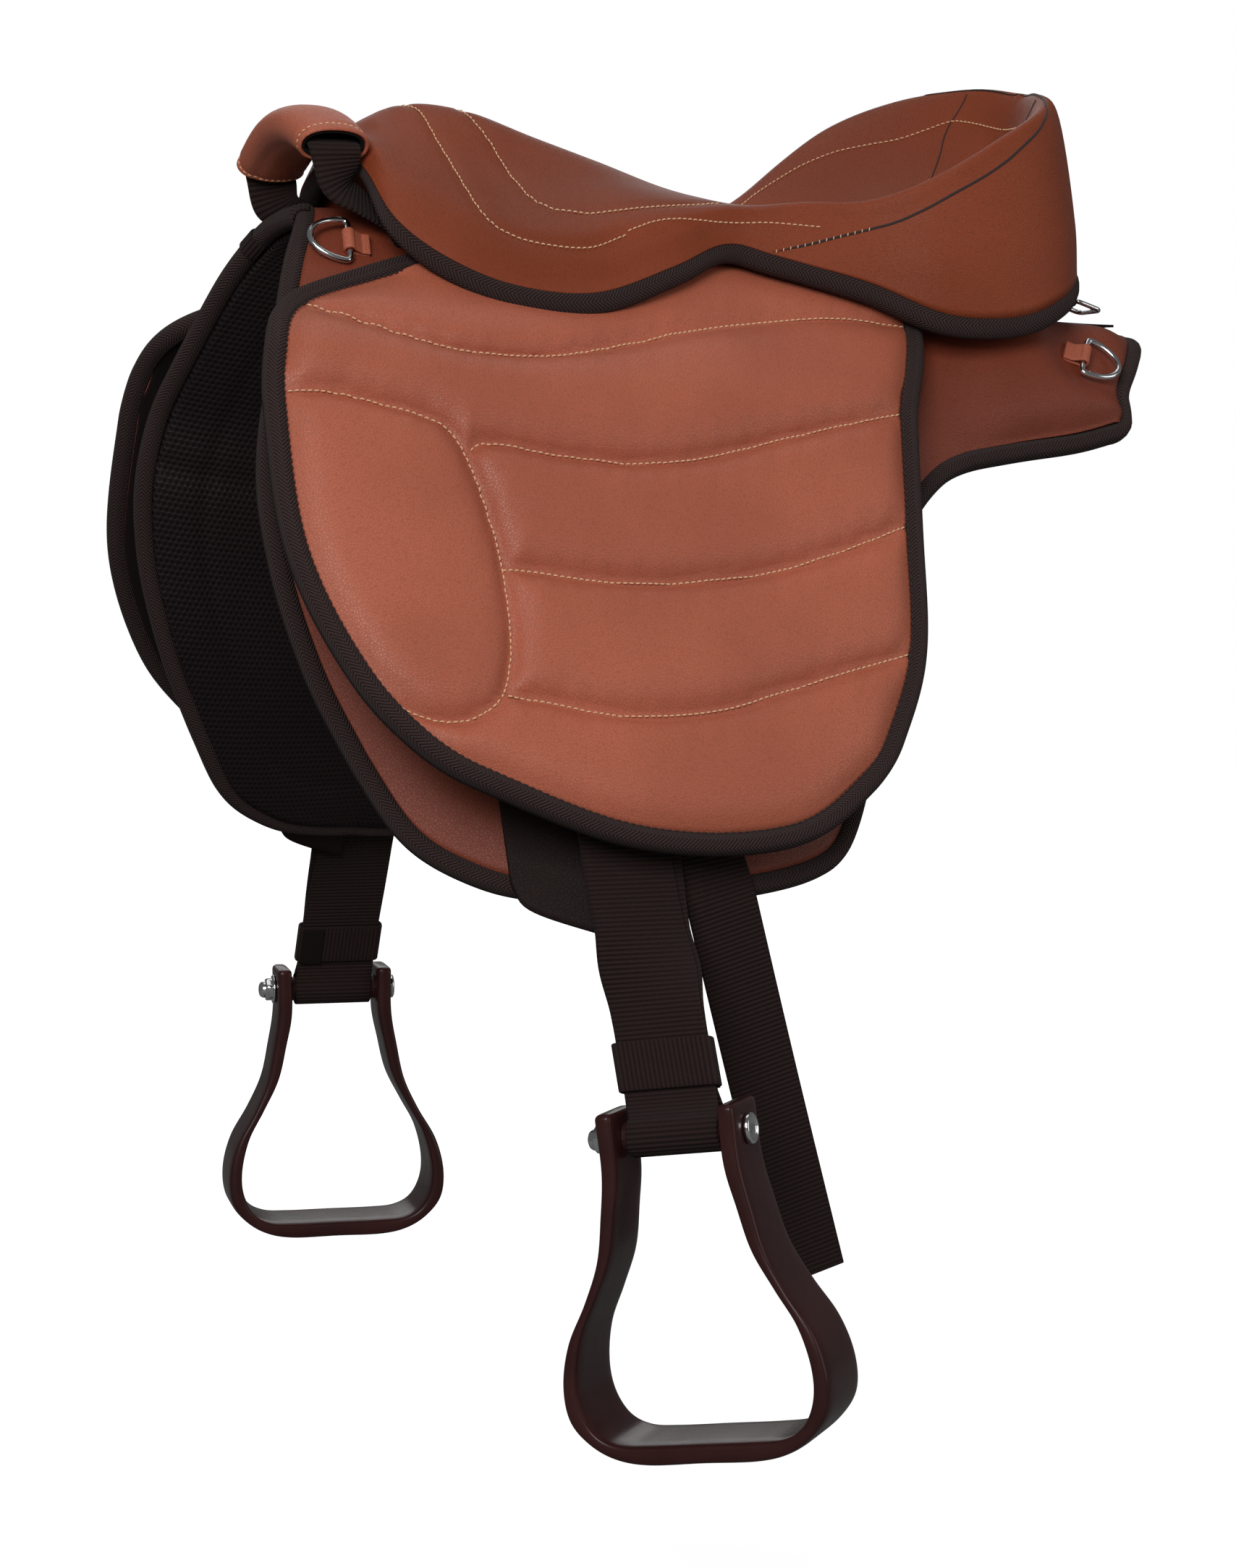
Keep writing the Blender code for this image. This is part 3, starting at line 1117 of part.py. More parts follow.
def handle(webbing, leather, lining_cloth):
    """Grab handle: webbing with a padded sleeve and the sleeve's lining."""
    half = []
    for centre, across, width in handle_line():
        half.append((np.array(centre, float), np.array(across, float), width))
    flip = np.array([1.0, -1, 1])
    whole = [(centre * flip, across * flip, width) for centre, across, width in half[:0:-1]] + half
    centres = np.array([station[0] for station in whole])
    across = np.array([station[1] / np.linalg.norm(station[1]) for station in whole])
    widths = np.array([station[2] for station in whole])
    ahead = np.gradient(centres, axis=0)
    outward = np.cross(across, ahead)
    outward /= np.linalg.norm(outward, axis=1)[:, None]
    web = ribbon("handle_webbing", centres, across, outward, widths, HANDLE_WEB_THICKNESS, webbing)

    first = len(half) - 1 - SLEEVE_RINGS // 2
    angles = np.linspace(0, 2 * math.pi, SLEEVE_SIDES, endpoint=False)

    def shell(inset):
        rings = []
        for index in range(first, first + SLEEVE_RINGS):
            wide = across[index] * (SLEEVE_WIDTH / 2 - inset)
            high = outward[index] * (SLEEVE_THICKNESS / 2 - inset)
            ring = [centres[index] + wide * math.cos(angle) + high * math.sin(angle) for angle in angles]
            rings.append(ring)
        return np.array(rings)

    sleeve = pipe("handle_sleeve", shell(0), shell(SLEEVE_WALL), leather)
    lining = pipe("handle_lining", shell(SLEEVE_WALL + GAP), shell(SLEEVE_WALL + GAP + SLEEVE_LINING),
                  lining_cloth)
    return web, sleeve, lining


def ring_and_tab(name, label, side, shares, heading, steel, leather):
    """D-ring lying on the base with its straight bar held in a folded tab."""
    x, s = scaled((shares,))[0]
    rest = curl(x, s) + RING_TAB_LIFT[name]
    lift = rest + RING_TAB_THICKNESS + GAP + RING_WIRE
    bar, forward, sideways, out = skin_frame(x, s, lift, side, heading)
    half = RING_WIDTH / 2
    wire = [bar - sideways * (half - RING_WIRE), bar + sideways * (half - RING_WIRE)]
    for angle in np.radians(np.linspace(*RING_ARC, RING_STEPS)):
        wire.append(bar + sideways * half * math.cos(angle) + forward * RING_BOW * math.sin(angle))
    ring = tube(f"{name}_ring_{label}", wire, RING_WIRE, steel, closed=True)

    wrap = RING_WIRE + GAP + RING_TAB_THICKNESS / 2
    low = rest + RING_TAB_THICKNESS / 2
    high = low + RING_TAB_THICKNESS + GAP
    step = np.array([math.cos(heading), math.sin(heading)])
    tail = np.linspace(RING_TAB_LENGTH, RING_TAB_CLOSE_SHARE * wrap, RING_TAB_POINTS)

    def tail_station(back, height):
        frame = skin_frame(x - back * step[0], s - back * step[1], height, side, heading)
        return frame[0], frame[2]

    stations = [tail_station(back, low) for back in tail]
    for angle in np.radians(np.linspace(*RING_TAB_ARC, RING_TAB_STEPS)):
        stations.append((bar + wrap * (forward * math.cos(angle) + out * math.sin(angle)), sideways))
    stations += [tail_station(back, high) for back in tail[::-1]]
    centres, across = (np.array(column) for column in zip(*stations))
    outward = np.cross(np.gradient(centres, axis=0), across)
    outward /= np.linalg.norm(outward, axis=1)[:, None]
    ribbon(f"{name}_ring_tab_{label}", centres, across, outward, RING_TAB_WIDTH, RING_TAB_THICKNESS, leather)
    return ring, bar


def keeper_tape(label, side, line, tape):
    """Short band of tape folded round the front binding."""
    runs = np.linalg.norm(np.diff(line, axis=0), axis=1)
    middles = np.cumsum(runs) - runs / 2
    index = int(np.argmin(np.abs(middles - KEEPER_TAPE_SHARES[label] * SIDE_DROP)))
    centre = (line[index] + line[index + 1]) / 2
    ahead = (line[index + 1] - line[index]) / runs[index]
    front = np.array([-1.0, 0, 0]) + ahead[0] * ahead
    front /= np.linalg.norm(front)
    over = np.cross(front, ahead)
    radius = BINDING_RADIUS + GAP + KEEPER_TAPE_THICKNESS / 2
    centres = []
    outward = []
    for angle in np.linspace(-KEEPER_TAPE_SWEEP / 2, KEEPER_TAPE_SWEEP / 2, KEEPER_TAPE_STEPS):
        ray = front * math.cos(angle) + over * math.sin(angle)
        centres.append(centre + ray * radius)
        outward.append(ray)
    length = np.broadcast_to(ahead, (len(centres), 3))
    ribbon(f"front_keeper_tape_{label}", centres, length, outward, KEEPER_TAPE_WIDTH,
           KEEPER_TAPE_THICKNESS, tape)


def rear_buckle(leather, tape, steel):
    """Strap behind the seat with its buckle frame and tongue, and the billet under them."""
    flat = (SADDLE_LENGTH, CANTLE_HEIGHT)
    bar = np.array(BUCKLE_BAR_SHARES) * flat
    tip = np.array(BUCKLE_TIP_SHARES) * flat - bar
    tip /= np.linalg.norm(tip)
    above = np.array([-tip[1], tip[0]])
    across = np.array([0, 1.0, 0])

    def upright(point):
        return np.array([point[0], 0, point[1]])

    wrap = BUCKLE_WIRE + GAP + BUCKLE_STRAP_THICKNESS / 2
    stations = [np.array(knot) * flat for knot in BUCKLE_STRAP_SHARES]
    for angle in np.radians(np.linspace(*BUCKLE_FOLD_ARC, BUCKLE_STEPS)):
        stations.append(bar + wrap * (tip * math.cos(angle) + above * math.sin(angle)))
    stations.append(bar - tip * BUCKLE_FOLD - above * (wrap - BUCKLE_WIRE))
    stations = np.array([upright(point) for point in stations])
    ahead = np.gradient(stations, axis=0)
    outward = np.cross(ahead, across)
    outward /= np.linalg.norm(outward, axis=1)[:, None]
    strap = ribbon("rear_buckle_strap", stations, np.broadcast_to(across, stations.shape), outward,
                   BUCKLE_STRAP_WIDTH, BUCKLE_STRAP_THICKNESS, leather)
    slot = bpy.data.meshes.new("tongue_slot")
    shape = bmesh.new()
    bmesh.ops.create_cube(shape, size=1)
    bmesh.ops.scale(shape, vec=(TONGUE_SLOT_DEPTH, TONGUE_SLOT, TONGUE_SLOT_DEPTH), verts=shape.verts)
    shape.to_mesh(slot)
    shape.free()
    cutter = bpy.data.objects.new("tongue_slot", slot)
    cutter.location = Vector(upright(bar))
    cutter.hide_render = True
    cutter.display_type = "WIRE"
    cutters.objects.link(cutter)
    cut_slot = strap.modifiers.new("tongue_slot", "BOOLEAN")
    cut_slot.object = cutter

    half = BUCKLE_WIDTH / 2
    corner = 2 * BUCKLE_WIRE
    loop = [(0, -half + corner), (0, half - corner), (corner / 2, half), (BUCKLE_LENGTH - corner / 2, half),
            (BUCKLE_LENGTH, half - corner), (BUCKLE_LENGTH, corner - half),
            (BUCKLE_LENGTH - corner / 2, -half), (corner / 2, -half)]
    frame = tube("buckle_frame", [upright(bar + tip * run) + across * wide for run, wide in loop],
                 BUCKLE_WIRE, steel, closed=True)
    hug = BUCKLE_WIRE + GAP + TONGUE_WIRE
    line = [bar + hug * (tip * math.cos(angle) + above * math.sin(angle))
            for angle in np.radians(np.linspace(*TONGUE_ARC, BUCKLE_STEPS))]
    line += [bar + tip * BUCKLE_LENGTH / 2 + above * hug, bar + tip * (BUCKLE_LENGTH + corner) + above * hug]
    tongue = tube("buckle_tongue", [upright(point) for point in line], TONGUE_WIRE, steel, resolution=1)

    places = np.linspace(*BILLET_SHARES, BILLET_POINTS) * SADDLE_LENGTH
    grids = []
    for lift in (GAP + BUCKLE_STRAP_THICKNESS, GAP):
        rows = []
        for place in places:
            middle = skin_point(place, 0, lift, 1)
            row = [skin_point(place, BUCKLE_STRAP_WIDTH / 2, lift, -1), middle * (1, 0, 1),
                   skin_point(place, BUCKLE_STRAP_WIDTH / 2, lift, 1)]
            rows.append(row)
        grids.append(np.array(rows))
    slab("rear_billet", *grids, tape)
    hung_on(upright(bar), "buckle_axis", (frame, tongue))


def side_pieces(label, side, paints):
    """Everything that each side of the saddle carries."""
    line = base_half(label, side, paints["flap"], paints["lining"], paints["tape"])
    flap(label, side, paints["flap"], paints["tape"])
    strap = stirrup_strap(label, side, paints["webbing"])
    loop = strap_hanger(label, side, paints["webbing"], paints["steel"])
    band = keeper(label, side, paints["tape"])
    arch = stirrup(label, side, paints["plastic"])
    bolt, nut, spacer = stirrup_fixings(label, side, paints["steel"])
    pivot, centre, _ = strap_places(label, side)
    hung_on(pivot, f"strap_axis_{label}", (strap, loop, spacer, band))
    hung_on(centre, f"stirrup_axis_{label}", (arch, bolt, nut))
    girth = girth_strap(label, side, paints["webbing"])
    x, s = scaled((GIRTH_TOP_SHARES,))[0]
    hung_on(skin_point(x, s, GIRTH_LIFT, side), f"girth_axis_{label}", (girth,))
    girth_guard(label, side, paints["seat"])
    for name, shares, heading in (("front", FRONT_RING_SHARES, math.pi),
                                  ("rear", REAR_RING_SHARES, REAR_RING_HEADING)):
        ring, bar = ring_and_tab(name, label, side, shares, heading, paints["steel"], paints["flap"])
        hung_on(bar, f"{name}_ring_axis_{label}", (ring,))
    keeper_tape(label, side, line, paints["tape"])


def main():
    """Build every piece of the saddle."""
    start_scene()
    paints = {
        "seat": material("seat_leather", SEAT_COLOUR, LEATHER_ROUGHNESS),
        "flap": material("flap_leather", FLAP_COLOUR, LEATHER_ROUGHNESS),
        "lining": material("lining", LINING_COLOUR, CLOTH_ROUGHNESS),
        "tape": material("binding_tape", TAPE_COLOUR, CLOTH_ROUGHNESS),
        "webbing": material("webbing", WEBBING_COLOUR, CLOTH_ROUGHNESS),
        "plastic": material("stirrup_plastic", PLASTIC_COLOUR, PLASTIC_ROUGHNESS),
        "steel": material("bright_steel", STEEL_COLOUR, STEEL_ROUGHNESS, 1.0),
    }
    for label, side in SIDES:
        side_pieces(label, side, paints)
    seat(paints["seat"], paints["tape"])
    hook_panel(paints["lining"])
    grip = handle(paints["webbing"], paints["flap"], paints["lining"])
    anchor_x, anchor_s = scaled((HANDLE_ANCHOR_SHARES,))[0]
    hung_on(skin_point(anchor_x, anchor_s, HANDLE_WEB_LIFT, 1) * (1, 0, 1), "handle_axis", grip)
    rear_buckle(paints["tape"], paints["webbing"], paints["steel"])


main()
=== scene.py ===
# %% [markdown]
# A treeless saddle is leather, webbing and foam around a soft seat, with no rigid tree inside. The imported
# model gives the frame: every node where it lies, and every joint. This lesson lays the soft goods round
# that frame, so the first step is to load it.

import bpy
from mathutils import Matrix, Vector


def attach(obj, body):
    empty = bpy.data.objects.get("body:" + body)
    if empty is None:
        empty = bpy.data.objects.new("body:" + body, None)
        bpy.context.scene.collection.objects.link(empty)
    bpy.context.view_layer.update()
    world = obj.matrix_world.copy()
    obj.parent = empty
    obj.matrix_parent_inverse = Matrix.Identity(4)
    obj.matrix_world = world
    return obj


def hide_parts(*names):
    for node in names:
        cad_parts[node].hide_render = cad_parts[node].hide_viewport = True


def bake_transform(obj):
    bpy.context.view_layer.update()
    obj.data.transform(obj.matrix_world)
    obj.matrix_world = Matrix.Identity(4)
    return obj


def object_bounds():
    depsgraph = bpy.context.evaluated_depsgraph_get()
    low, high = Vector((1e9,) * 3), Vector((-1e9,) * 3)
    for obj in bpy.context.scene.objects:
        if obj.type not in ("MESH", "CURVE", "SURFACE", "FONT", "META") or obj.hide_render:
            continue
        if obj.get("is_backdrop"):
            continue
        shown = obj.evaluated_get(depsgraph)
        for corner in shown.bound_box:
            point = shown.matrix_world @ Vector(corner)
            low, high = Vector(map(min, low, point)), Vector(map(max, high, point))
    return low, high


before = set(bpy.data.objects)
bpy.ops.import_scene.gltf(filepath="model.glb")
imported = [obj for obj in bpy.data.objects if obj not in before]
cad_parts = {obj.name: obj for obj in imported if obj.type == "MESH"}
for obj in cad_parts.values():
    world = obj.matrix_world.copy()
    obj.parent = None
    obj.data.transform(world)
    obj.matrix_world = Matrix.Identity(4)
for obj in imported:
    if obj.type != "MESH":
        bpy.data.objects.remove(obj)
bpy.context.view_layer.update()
print("frame nodes:", len(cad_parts))

# %% Other modules
import math

import bmesh
import bpy
import numpy as np
from mathutils import Vector
from mathutils.bvhtree import BVHTree

scene = bpy.context.scene
SIDES = (("left", -1), ("right", 1))
print("Blender", bpy.app.version_string)

# %% [markdown]
# Everything sewn to the saddle lies on one skin: two planes that lean out from the spine, joined by a
# round shoulder. A place on it is x, the run s down from the spine, and a lift along the normal. A
# table of the skin makes thousands of such places quick to find, and lets the stitching use the same
# rule as the leather under it.

# %% The skin as a table
LENGTH = 0.575
DROP = 0.443
SEAT_HALF = 0.110
CANTLE = 0.141
SPINE_WIDTH = 0.170
TILT = math.radians(25)
ROUND = 0.050
CROWN_RISE = 0.080
CROWN = ((-0.626, 1.0), (-0.435, 0.825), (-0.209, 0.525), (0, 0.300), (0.209, 0.125), (0.435, 0.038))
TABLE_X = np.linspace(-0.44, 0.36, 321)
TABLE_S = np.linspace(0, 0.70, 701)


def smoothed(values, reach):
    """A running mean over so many neighbours on each side."""
    kernel = np.ones(2 * reach + 1) / (2 * reach + 1)
    return np.convolve(np.pad(values, reach, mode="edge"), kernel, mode="valid")


def eased(share):
    """A share from 0 to 1 that starts and ends gently."""
    return share * share * (3 - 2 * share)


def make_skin():
    """Place (out, up) and direction (out, up) of the skin at each x and run of the table."""
    share, rise = np.array(CROWN).T
    crown = smoothed(np.interp(TABLE_X, share * LENGTH, rise * CROWN_RISE), 8)
    y = np.linspace(0, 0.62, 2400)
    plane = (SPINE_WIDTH / 2 - y) / math.tan(TILT)
    place = np.empty((len(TABLE_X), len(TABLE_S), 2))
    for row, top in enumerate(crown):
        z = (top + plane - np.hypot(top - plane, ROUND)) / 2
        run = np.concatenate([[0], np.cumsum(np.hypot(np.diff(y), np.diff(z)))])
        place[row, :, 0] = np.interp(TABLE_S, run, y)
        place[row, :, 1] = np.interp(TABLE_S, run, z)
    ahead = np.gradient(place, axis=1)
    ahead /= np.linalg.norm(ahead, axis=2)[..., None]
    return np.concatenate([place, ahead], axis=2)


SKIN = make_skin()
print("skin table:", SKIN.shape)


# %% Places on the skin
def laid(x, s, lift, side):
    """Points at x and run s, lifted along the skin's normal, on one side of the saddle."""
    x, s, lift = np.broadcast_arrays(*(np.asarray(v, float) for v in (x, s, lift)))
    across = np.where(s < 0, -side, side)
    column = np.clip((x - TABLE_X[0]) / (TABLE_X[1] - TABLE_X[0]), 0, len(TABLE_X) - 1.001)
    row = np.clip(np.abs(s) / (TABLE_S[1] - TABLE_S[0]), 0, len(TABLE_S) - 1.001)
    i, j = column.astype(int), row.astype(int)
    u, v = (column - i)[..., None], (row - j)[..., None]
    here = (SKIN[i, j] * (1 - u) * (1 - v) + SKIN[i + 1, j] * u * (1 - v)
            + SKIN[i, j + 1] * (1 - u) * v + SKIN[i + 1, j + 1] * u * v)
    out = here[..., 0] - here[..., 3] * lift
    up = here[..., 1] + here[..., 2] * lift
    return np.stack([x, across * out, up], axis=-1)


def metric(shares):
    """Shares of the saddle's length and drop as x and s."""
    return np.array(shares, float) * (LENGTH, DROP)


print("skin at the waist, 0.2 m down:", laid(0, 0.2, 0, 1).round(3))


# %% Lines and curves
def between(a, b, c, d, t):
    """The place at a share t of the way from b to c, on a smooth curve past all four."""
    return (b + (c - a) * t / 2 + (2 * a - 5 * b + 4 * c - d) * t**2 / 2
            + (3 * (b - c) + d - a) * t**3 / 2)


def filled(guides, counts):
    """Rows between guide rows, with so many steps from each guide to the next."""
    rows = [guides[1]]
    for k, count in enumerate(counts):
        rows += [between(*guides[k : k + 4], t) for t in np.linspace(0, 1, count + 1)[1:]]
    return rows


def run_along(line):
    """Distance from the start of a line to each of its points."""
    return np.concatenate([[0], np.cumsum(np.linalg.norm(np.diff(line, axis=0), axis=1))])


def evenly(line, count):
    """The same line with evenly spaced points; columns after the third only go along."""
    run = run_along(line[:, :3])
    wanted = np.linspace(0, run[-1], count)
    return np.column_stack([np.interp(wanted, run, column) for column in line.T])


def curve_through(points, count):
    """Evenly spaced points on a smooth open curve through the given ones."""
    points = np.asarray(points, float)
    ends = np.vstack([2 * points[0] - points[1], points, 2 * points[-1] - points[-2]])
    t = np.linspace(0, 1, 16, endpoint=False)[:, None]
    fine = [between(a, b, c, d, t) for a, b, c, d in zip(ends, ends[1:], ends[2:], ends[3:])]
    return evenly(np.vstack([*fine, points[-1:]]), count)


def softened(line, reach):
    """A line with each of its columns smoothed."""
    return np.column_stack([smoothed(column, reach) for column in line.T])


def length_of(line):
    """Length of a line."""
    return float(np.linalg.norm(np.diff(line, axis=0), axis=1).sum())


def unit(vectors):
    """Vectors of length one."""
    return vectors / np.maximum(np.linalg.norm(vectors, axis=-1), 1e-12)[..., None]


def closed_line(points, count, reach=2):
    """A closed line with evenly spaced, lightly rounded points."""
    loop = evenly(np.vstack([points, points[:1]]), count + 1)[:-1]
    kernel = range(-reach, reach + 1)
    return sum(np.roll(loop, k, axis=0) for k in kernel) / len(kernel)


def along_loop(points):
    """Direction along a closed line at each of its points."""
    return unit(np.roll(points, -1, axis=0) - np.roll(points, 1, axis=0))


print("length of a curve round a corner:", round(length_of(curve_through(((0, 0), (1, 0), (1, 1)), 50)), 3))

# %% [markdown]
# Two kinds of mesh make almost every piece. A cushion or a sheet of leather is a grid with an outer
# and an inner face. A binding, strap or wire is a section carried along a line. Both store their own
# length and width in the UV map, in metres, so that a weave keeps its real size and follows the tape.

# %% Points and faces
def new_piece(name, points, faces, paint, uv=None):
    """An object from points and faces, with a UV per point where one is given."""
    mesh = bpy.data.meshes.new(name)
    mesh.from_pydata(np.asarray(points).tolist(), [], faces)
    shape = bmesh.new()
    shape.from_mesh(mesh)
    bmesh.ops.recalc_face_normals(shape, faces=shape.faces)
    if uv is not None:
        layer = shape.loops.layers.uv.new("UVMap")
        shape.verts.index_update()
        for face in shape.faces:
            for loop in face.loops:
                loop[layer].uv = uv[loop.vert.index]
    shape.to_mesh(mesh)
    shape.free()
    mesh.shade_smooth()
    mesh.materials.append(paint)
    made = bpy.data.objects.new(name, mesh)
    scene.collection.objects.link(made)
    return made


def quads(rows, columns, start=0, wrap=False):
    """Quads between neighbouring points of a grid."""
    faces = []
    for row in range(rows - 1):
        for column in range(columns if wrap else columns - 1):
            here = start + row * columns + column
            beside = start + row * columns + (column + 1) % columns
            faces.append((here, beside, beside + columns, here + columns))
    return faces


print("faces of a grid of 3 by 4 points:", len(quads(3, 4)))


# %% Cushions, lofts and carried sections
def cushion(name, outer, inner, paint, uv, back=None):
    """A closed pad between an outer and an inner grid, whose inner face can have its own finish."""
    rows, columns = outer.shape[:2]
    below = rows * columns
    faces = quads(rows, columns) + quads(rows, columns, below)
    border = list(range(columns)) + [row * columns + columns - 1 for row in range(1, rows)]
    border += [(rows - 1) * columns + column for column in range(columns - 2, -1, -1)]
    border += [row * columns for row in range(rows - 2, 0, -1)]
    for a, b in zip(border, border[1:] + border[:1]):
        faces.append((a, b, b + below, a + below))
    points = np.vstack([outer.reshape(-1, 3), inner.reshape(-1, 3)])
    made = new_piece(name, points, faces, paint, np.vstack([uv.reshape(-1, 2)] * 2))
    if back:
        made.data.materials.append(back)
        single = (rows - 1) * (columns - 1)
        for index in range(single, 2 * single):
            made.data.polygons[index].material_index = 1
    return made


def lofted(name, rings, paint, uv=None, closed=False):
    """Rings of points joined into one piece, with flat ends or closed on itself."""
    rings = np.asarray(rings)
    count, sides = rings.shape[:2]
    last = (count - 1) * sides
    faces = quads(count, sides, wrap=True)
    if closed:
        faces += [(last + k, last + (k + 1) % sides, (k + 1) % sides, k) for k in range(sides)]
    else:
        faces += [tuple(range(sides)), tuple(range(last, last + sides))]
    return new_piece(name, rings.reshape(-1, 3), faces, paint, uv)


def carried(name, line, across, outward, section, paint, closed=False, widths=1.0):
    """A section of (across, outward) points carried along a line, with its run and girth as UV."""
    line, section = np.asarray(line, float), np.asarray(section, float)
    widths = np.broadcast_to(np.asarray(widths, float), len(line))
    across = np.broadcast_to(across, line.shape)
    outward = np.broadcast_to(outward, line.shape)
    points = (line[:, None] + across[:, None] * (section[None, :, :1] * widths[:, None, None])
              + outward[:, None] * section[None, :, 1:])
    along, girth = run_along(line)[:, None], run_along(section)[None]
    uv = np.stack(np.broadcast_arrays(along, girth), axis=-1).reshape(-1, 2)
    return lofted(name, points, paint, uv, closed)


def oval(wide, high, sides=16, power=2.6):
    """A rounded section: an ellipse at power 2, and fuller with a higher power."""
    angles = np.linspace(0, 2 * math.pi, sides, endpoint=False)
    c, s = np.cos(angles), np.sin(angles)
    return np.column_stack([wide * np.sign(c) * np.abs(c) ** (2 / power),
                            high * np.sign(s) * np.abs(s) ** (2 / power)])


def strip(wide, thick):
    """The section of webbing: flat faces and small round edges."""
    w, t = wide / 2, thick / 2
    xs = np.linspace(-w + t, w - t, 7)
    ends = [(w - t + t * math.cos(a), t * math.sin(a)) for a in np.radians((50, 0, -50))]
    lower = [(x, -t) for x in xs[::-1]]
    return np.array([(x, t) for x in xs] + ends + lower + [(-a, -b) for a, b in ends])


def dressed(piece, body, slot, *nodes):
    """Attach a piece to the body that it rides on and hide the nodes that it replaces; the slot is not used.
    """
    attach(piece, body)
    if nodes:
        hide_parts(*nodes)
    return piece


print("points on a webbing's section:", len(strip(0.05, 0.002)))

# %% [markdown]
# The finishes come next. Each effect that several materials share, such as leather grain or a tape's
# weave, is a node group built once. The groups put out only heights and masks, and every material
# keeps its own Principled shader with plain numbers on its sockets.


# %% Node helpers
def add(tree, kind, **inputs):
    """A node with some inputs set or linked."""
    node = tree.nodes.new(kind)
    for key, value in inputs.items():
        put(tree, node.inputs[key.replace("_", " ")], value)
    return node


def put(tree, socket, value):
    """Set a socket, or link it where the value is another socket."""
    if isinstance(value, bpy.types.NodeSocket):
        tree.links.new(value, socket)
    else:
        socket.default_value = value


def calc(tree, operation, *values):
    """A Math node's result."""
    node = tree.nodes.new("ShaderNodeMath")
    node.operation = operation
    for socket, value in zip(node.inputs, values):
        put(tree, socket, value)
    return node.outputs[0]


def ramp(tree, value, low, high, start=0.0, end=1.0):
    """A value remapped smoothly between two limits."""
    node = tree.nodes.new("ShaderNodeMapRange")
    node.interpolation_type = "SMOOTHSTEP"
    for socket, given in zip(node.inputs, (value, low, high, start, end)):
        put(tree, socket, given)
    return node.outputs[0]


def plus(tree, first, second, share):
    """A value with a share of another added."""
    return calc(tree, "ADD", first, calc(tree, "MULTIPLY", second, share))


def own_place(tree):
    """Places in a piece's own frame, in metres."""
    return tree.nodes.new("ShaderNodeTexCoord").outputs["Object"]


def noise(tree, scale, detail):
    """Noise that keeps its real size on every piece."""
    return add(tree, "ShaderNodeTexNoise", Vector=own_place(tree), Scale=scale, Detail=detail).outputs[0]


def uv_axes(tree):
    """Run and girth of a piece, in metres, from its UV map."""
    split = add(tree, "ShaderNodeSeparateXYZ", Vector=tree.nodes.new("ShaderNodeUVMap").outputs[0])
    return split.outputs[0], split.outputs[1]


def wave_of(tree, run, pitch):
    """A wave from 0 to 1 with a real pitch."""
    turns = calc(tree, "DIVIDE", calc(tree, "MULTIPLY", run, 2 * math.pi), pitch)
    return plus(tree, 0.5, calc(tree, "SINE", turns), 0.5)


def new_group(name, inputs, outputs):
    """An empty node group with float inputs and outputs."""
    tree = bpy.data.node_groups.new(name, "ShaderNodeTree")
    for label, value in inputs.items():
        tree.interface.new_socket(label, in_out="INPUT", socket_type="NodeSocketFloat").default_value = value
    for label in outputs:
        tree.interface.new_socket(label, in_out="OUTPUT", socket_type="NodeSocketFloat")
    return tree, tree.nodes.new("NodeGroupInput"), tree.nodes.new("NodeGroupOutput")


def placed(tree, group, **inputs):
    """A group placed in a material."""
    node = tree.nodes.new("ShaderNodeGroup")
    node.node_tree = group
    for key, value in inputs.items():
        put(tree, node.inputs[key], value)
    return node


helpers = (add, put, calc, ramp, plus, noise, wave_of, new_group, placed)
print("node helpers:", ", ".join(helper.__name__ for helper in helpers))

# %% [markdown]
# Leather is covered in small pebbles with pores between them, and it darkens in the pores. A cell
# pattern gives the pebbles, finer noise roughens them, and slow noise gives creases and uneven dye.
# A picture of leather would repeat and would need a flat layout, while noise fits any shape.

# %% Leather grain
PEBBLES = 620.0


def leather_grain():
    """Pebbles between fine pores, with creases and a slow change of tone."""
    tree, given, result = new_group("leather_grain", {"Size": 1.0}, ("Height", "Tone", "Pore"))
    scale = calc(tree, "DIVIDE", PEBBLES, given.outputs["Size"])
    cells = add(tree, "ShaderNodeTexVoronoi", Vector=own_place(tree), Scale=scale)
    cells.feature = "DISTANCE_TO_EDGE"
    pebble = ramp(tree, cells.outputs[0], 0.0, 0.16)
    fine = noise(tree, calc(tree, "MULTIPLY", scale, 1.7), 3.0)
    height = plus(tree, calc(tree, "MULTIPLY", pebble, 0.7), fine, 0.5)
    put(tree, result.inputs["Height"], plus(tree, height, noise(tree, 55.0, 4.0), 1.1))
    put(tree, result.inputs["Tone"], ramp(tree, noise(tree, 9.0, 3.0), 0.3, 0.7))
    put(tree, result.inputs["Pore"], calc(tree, "SUBTRACT", 1.0, pebble))
    return tree


GRAIN = leather_grain()
print("node group:", GRAIN.name)

# %% [markdown]
# The bindings are tape woven in slanting ribs that turn back at each band, and the webbing has heavy
# ribs across it over fine threads along it. Both are waves of the piece's own run and girth, so the
# ribs follow each bend and keep their pitch.


# %% Woven tape and ribbed webbing
def herringbone():
    """Slanting ribs that turn back at each band, as in woven tape."""
    tree, given, result = new_group("herringbone", {"Pitch": 0.0022, "Band": 0.0052}, ("Height", "Tone"))
    along, girth = uv_axes(tree)
    slanted = calc(tree, "ADD", along, calc(tree, "PINGPONG", girth, given.outputs["Band"]))
    lift = wave_of(tree, slanted, given.outputs["Pitch"])
    fuzz = noise(tree, 900.0, 2.0)
    put(tree, result.inputs["Height"], plus(tree, lift, fuzz, 0.5))
    put(tree, result.inputs["Tone"], plus(tree, calc(tree, "MULTIPLY", lift, 0.7), fuzz, 0.3))
    return tree


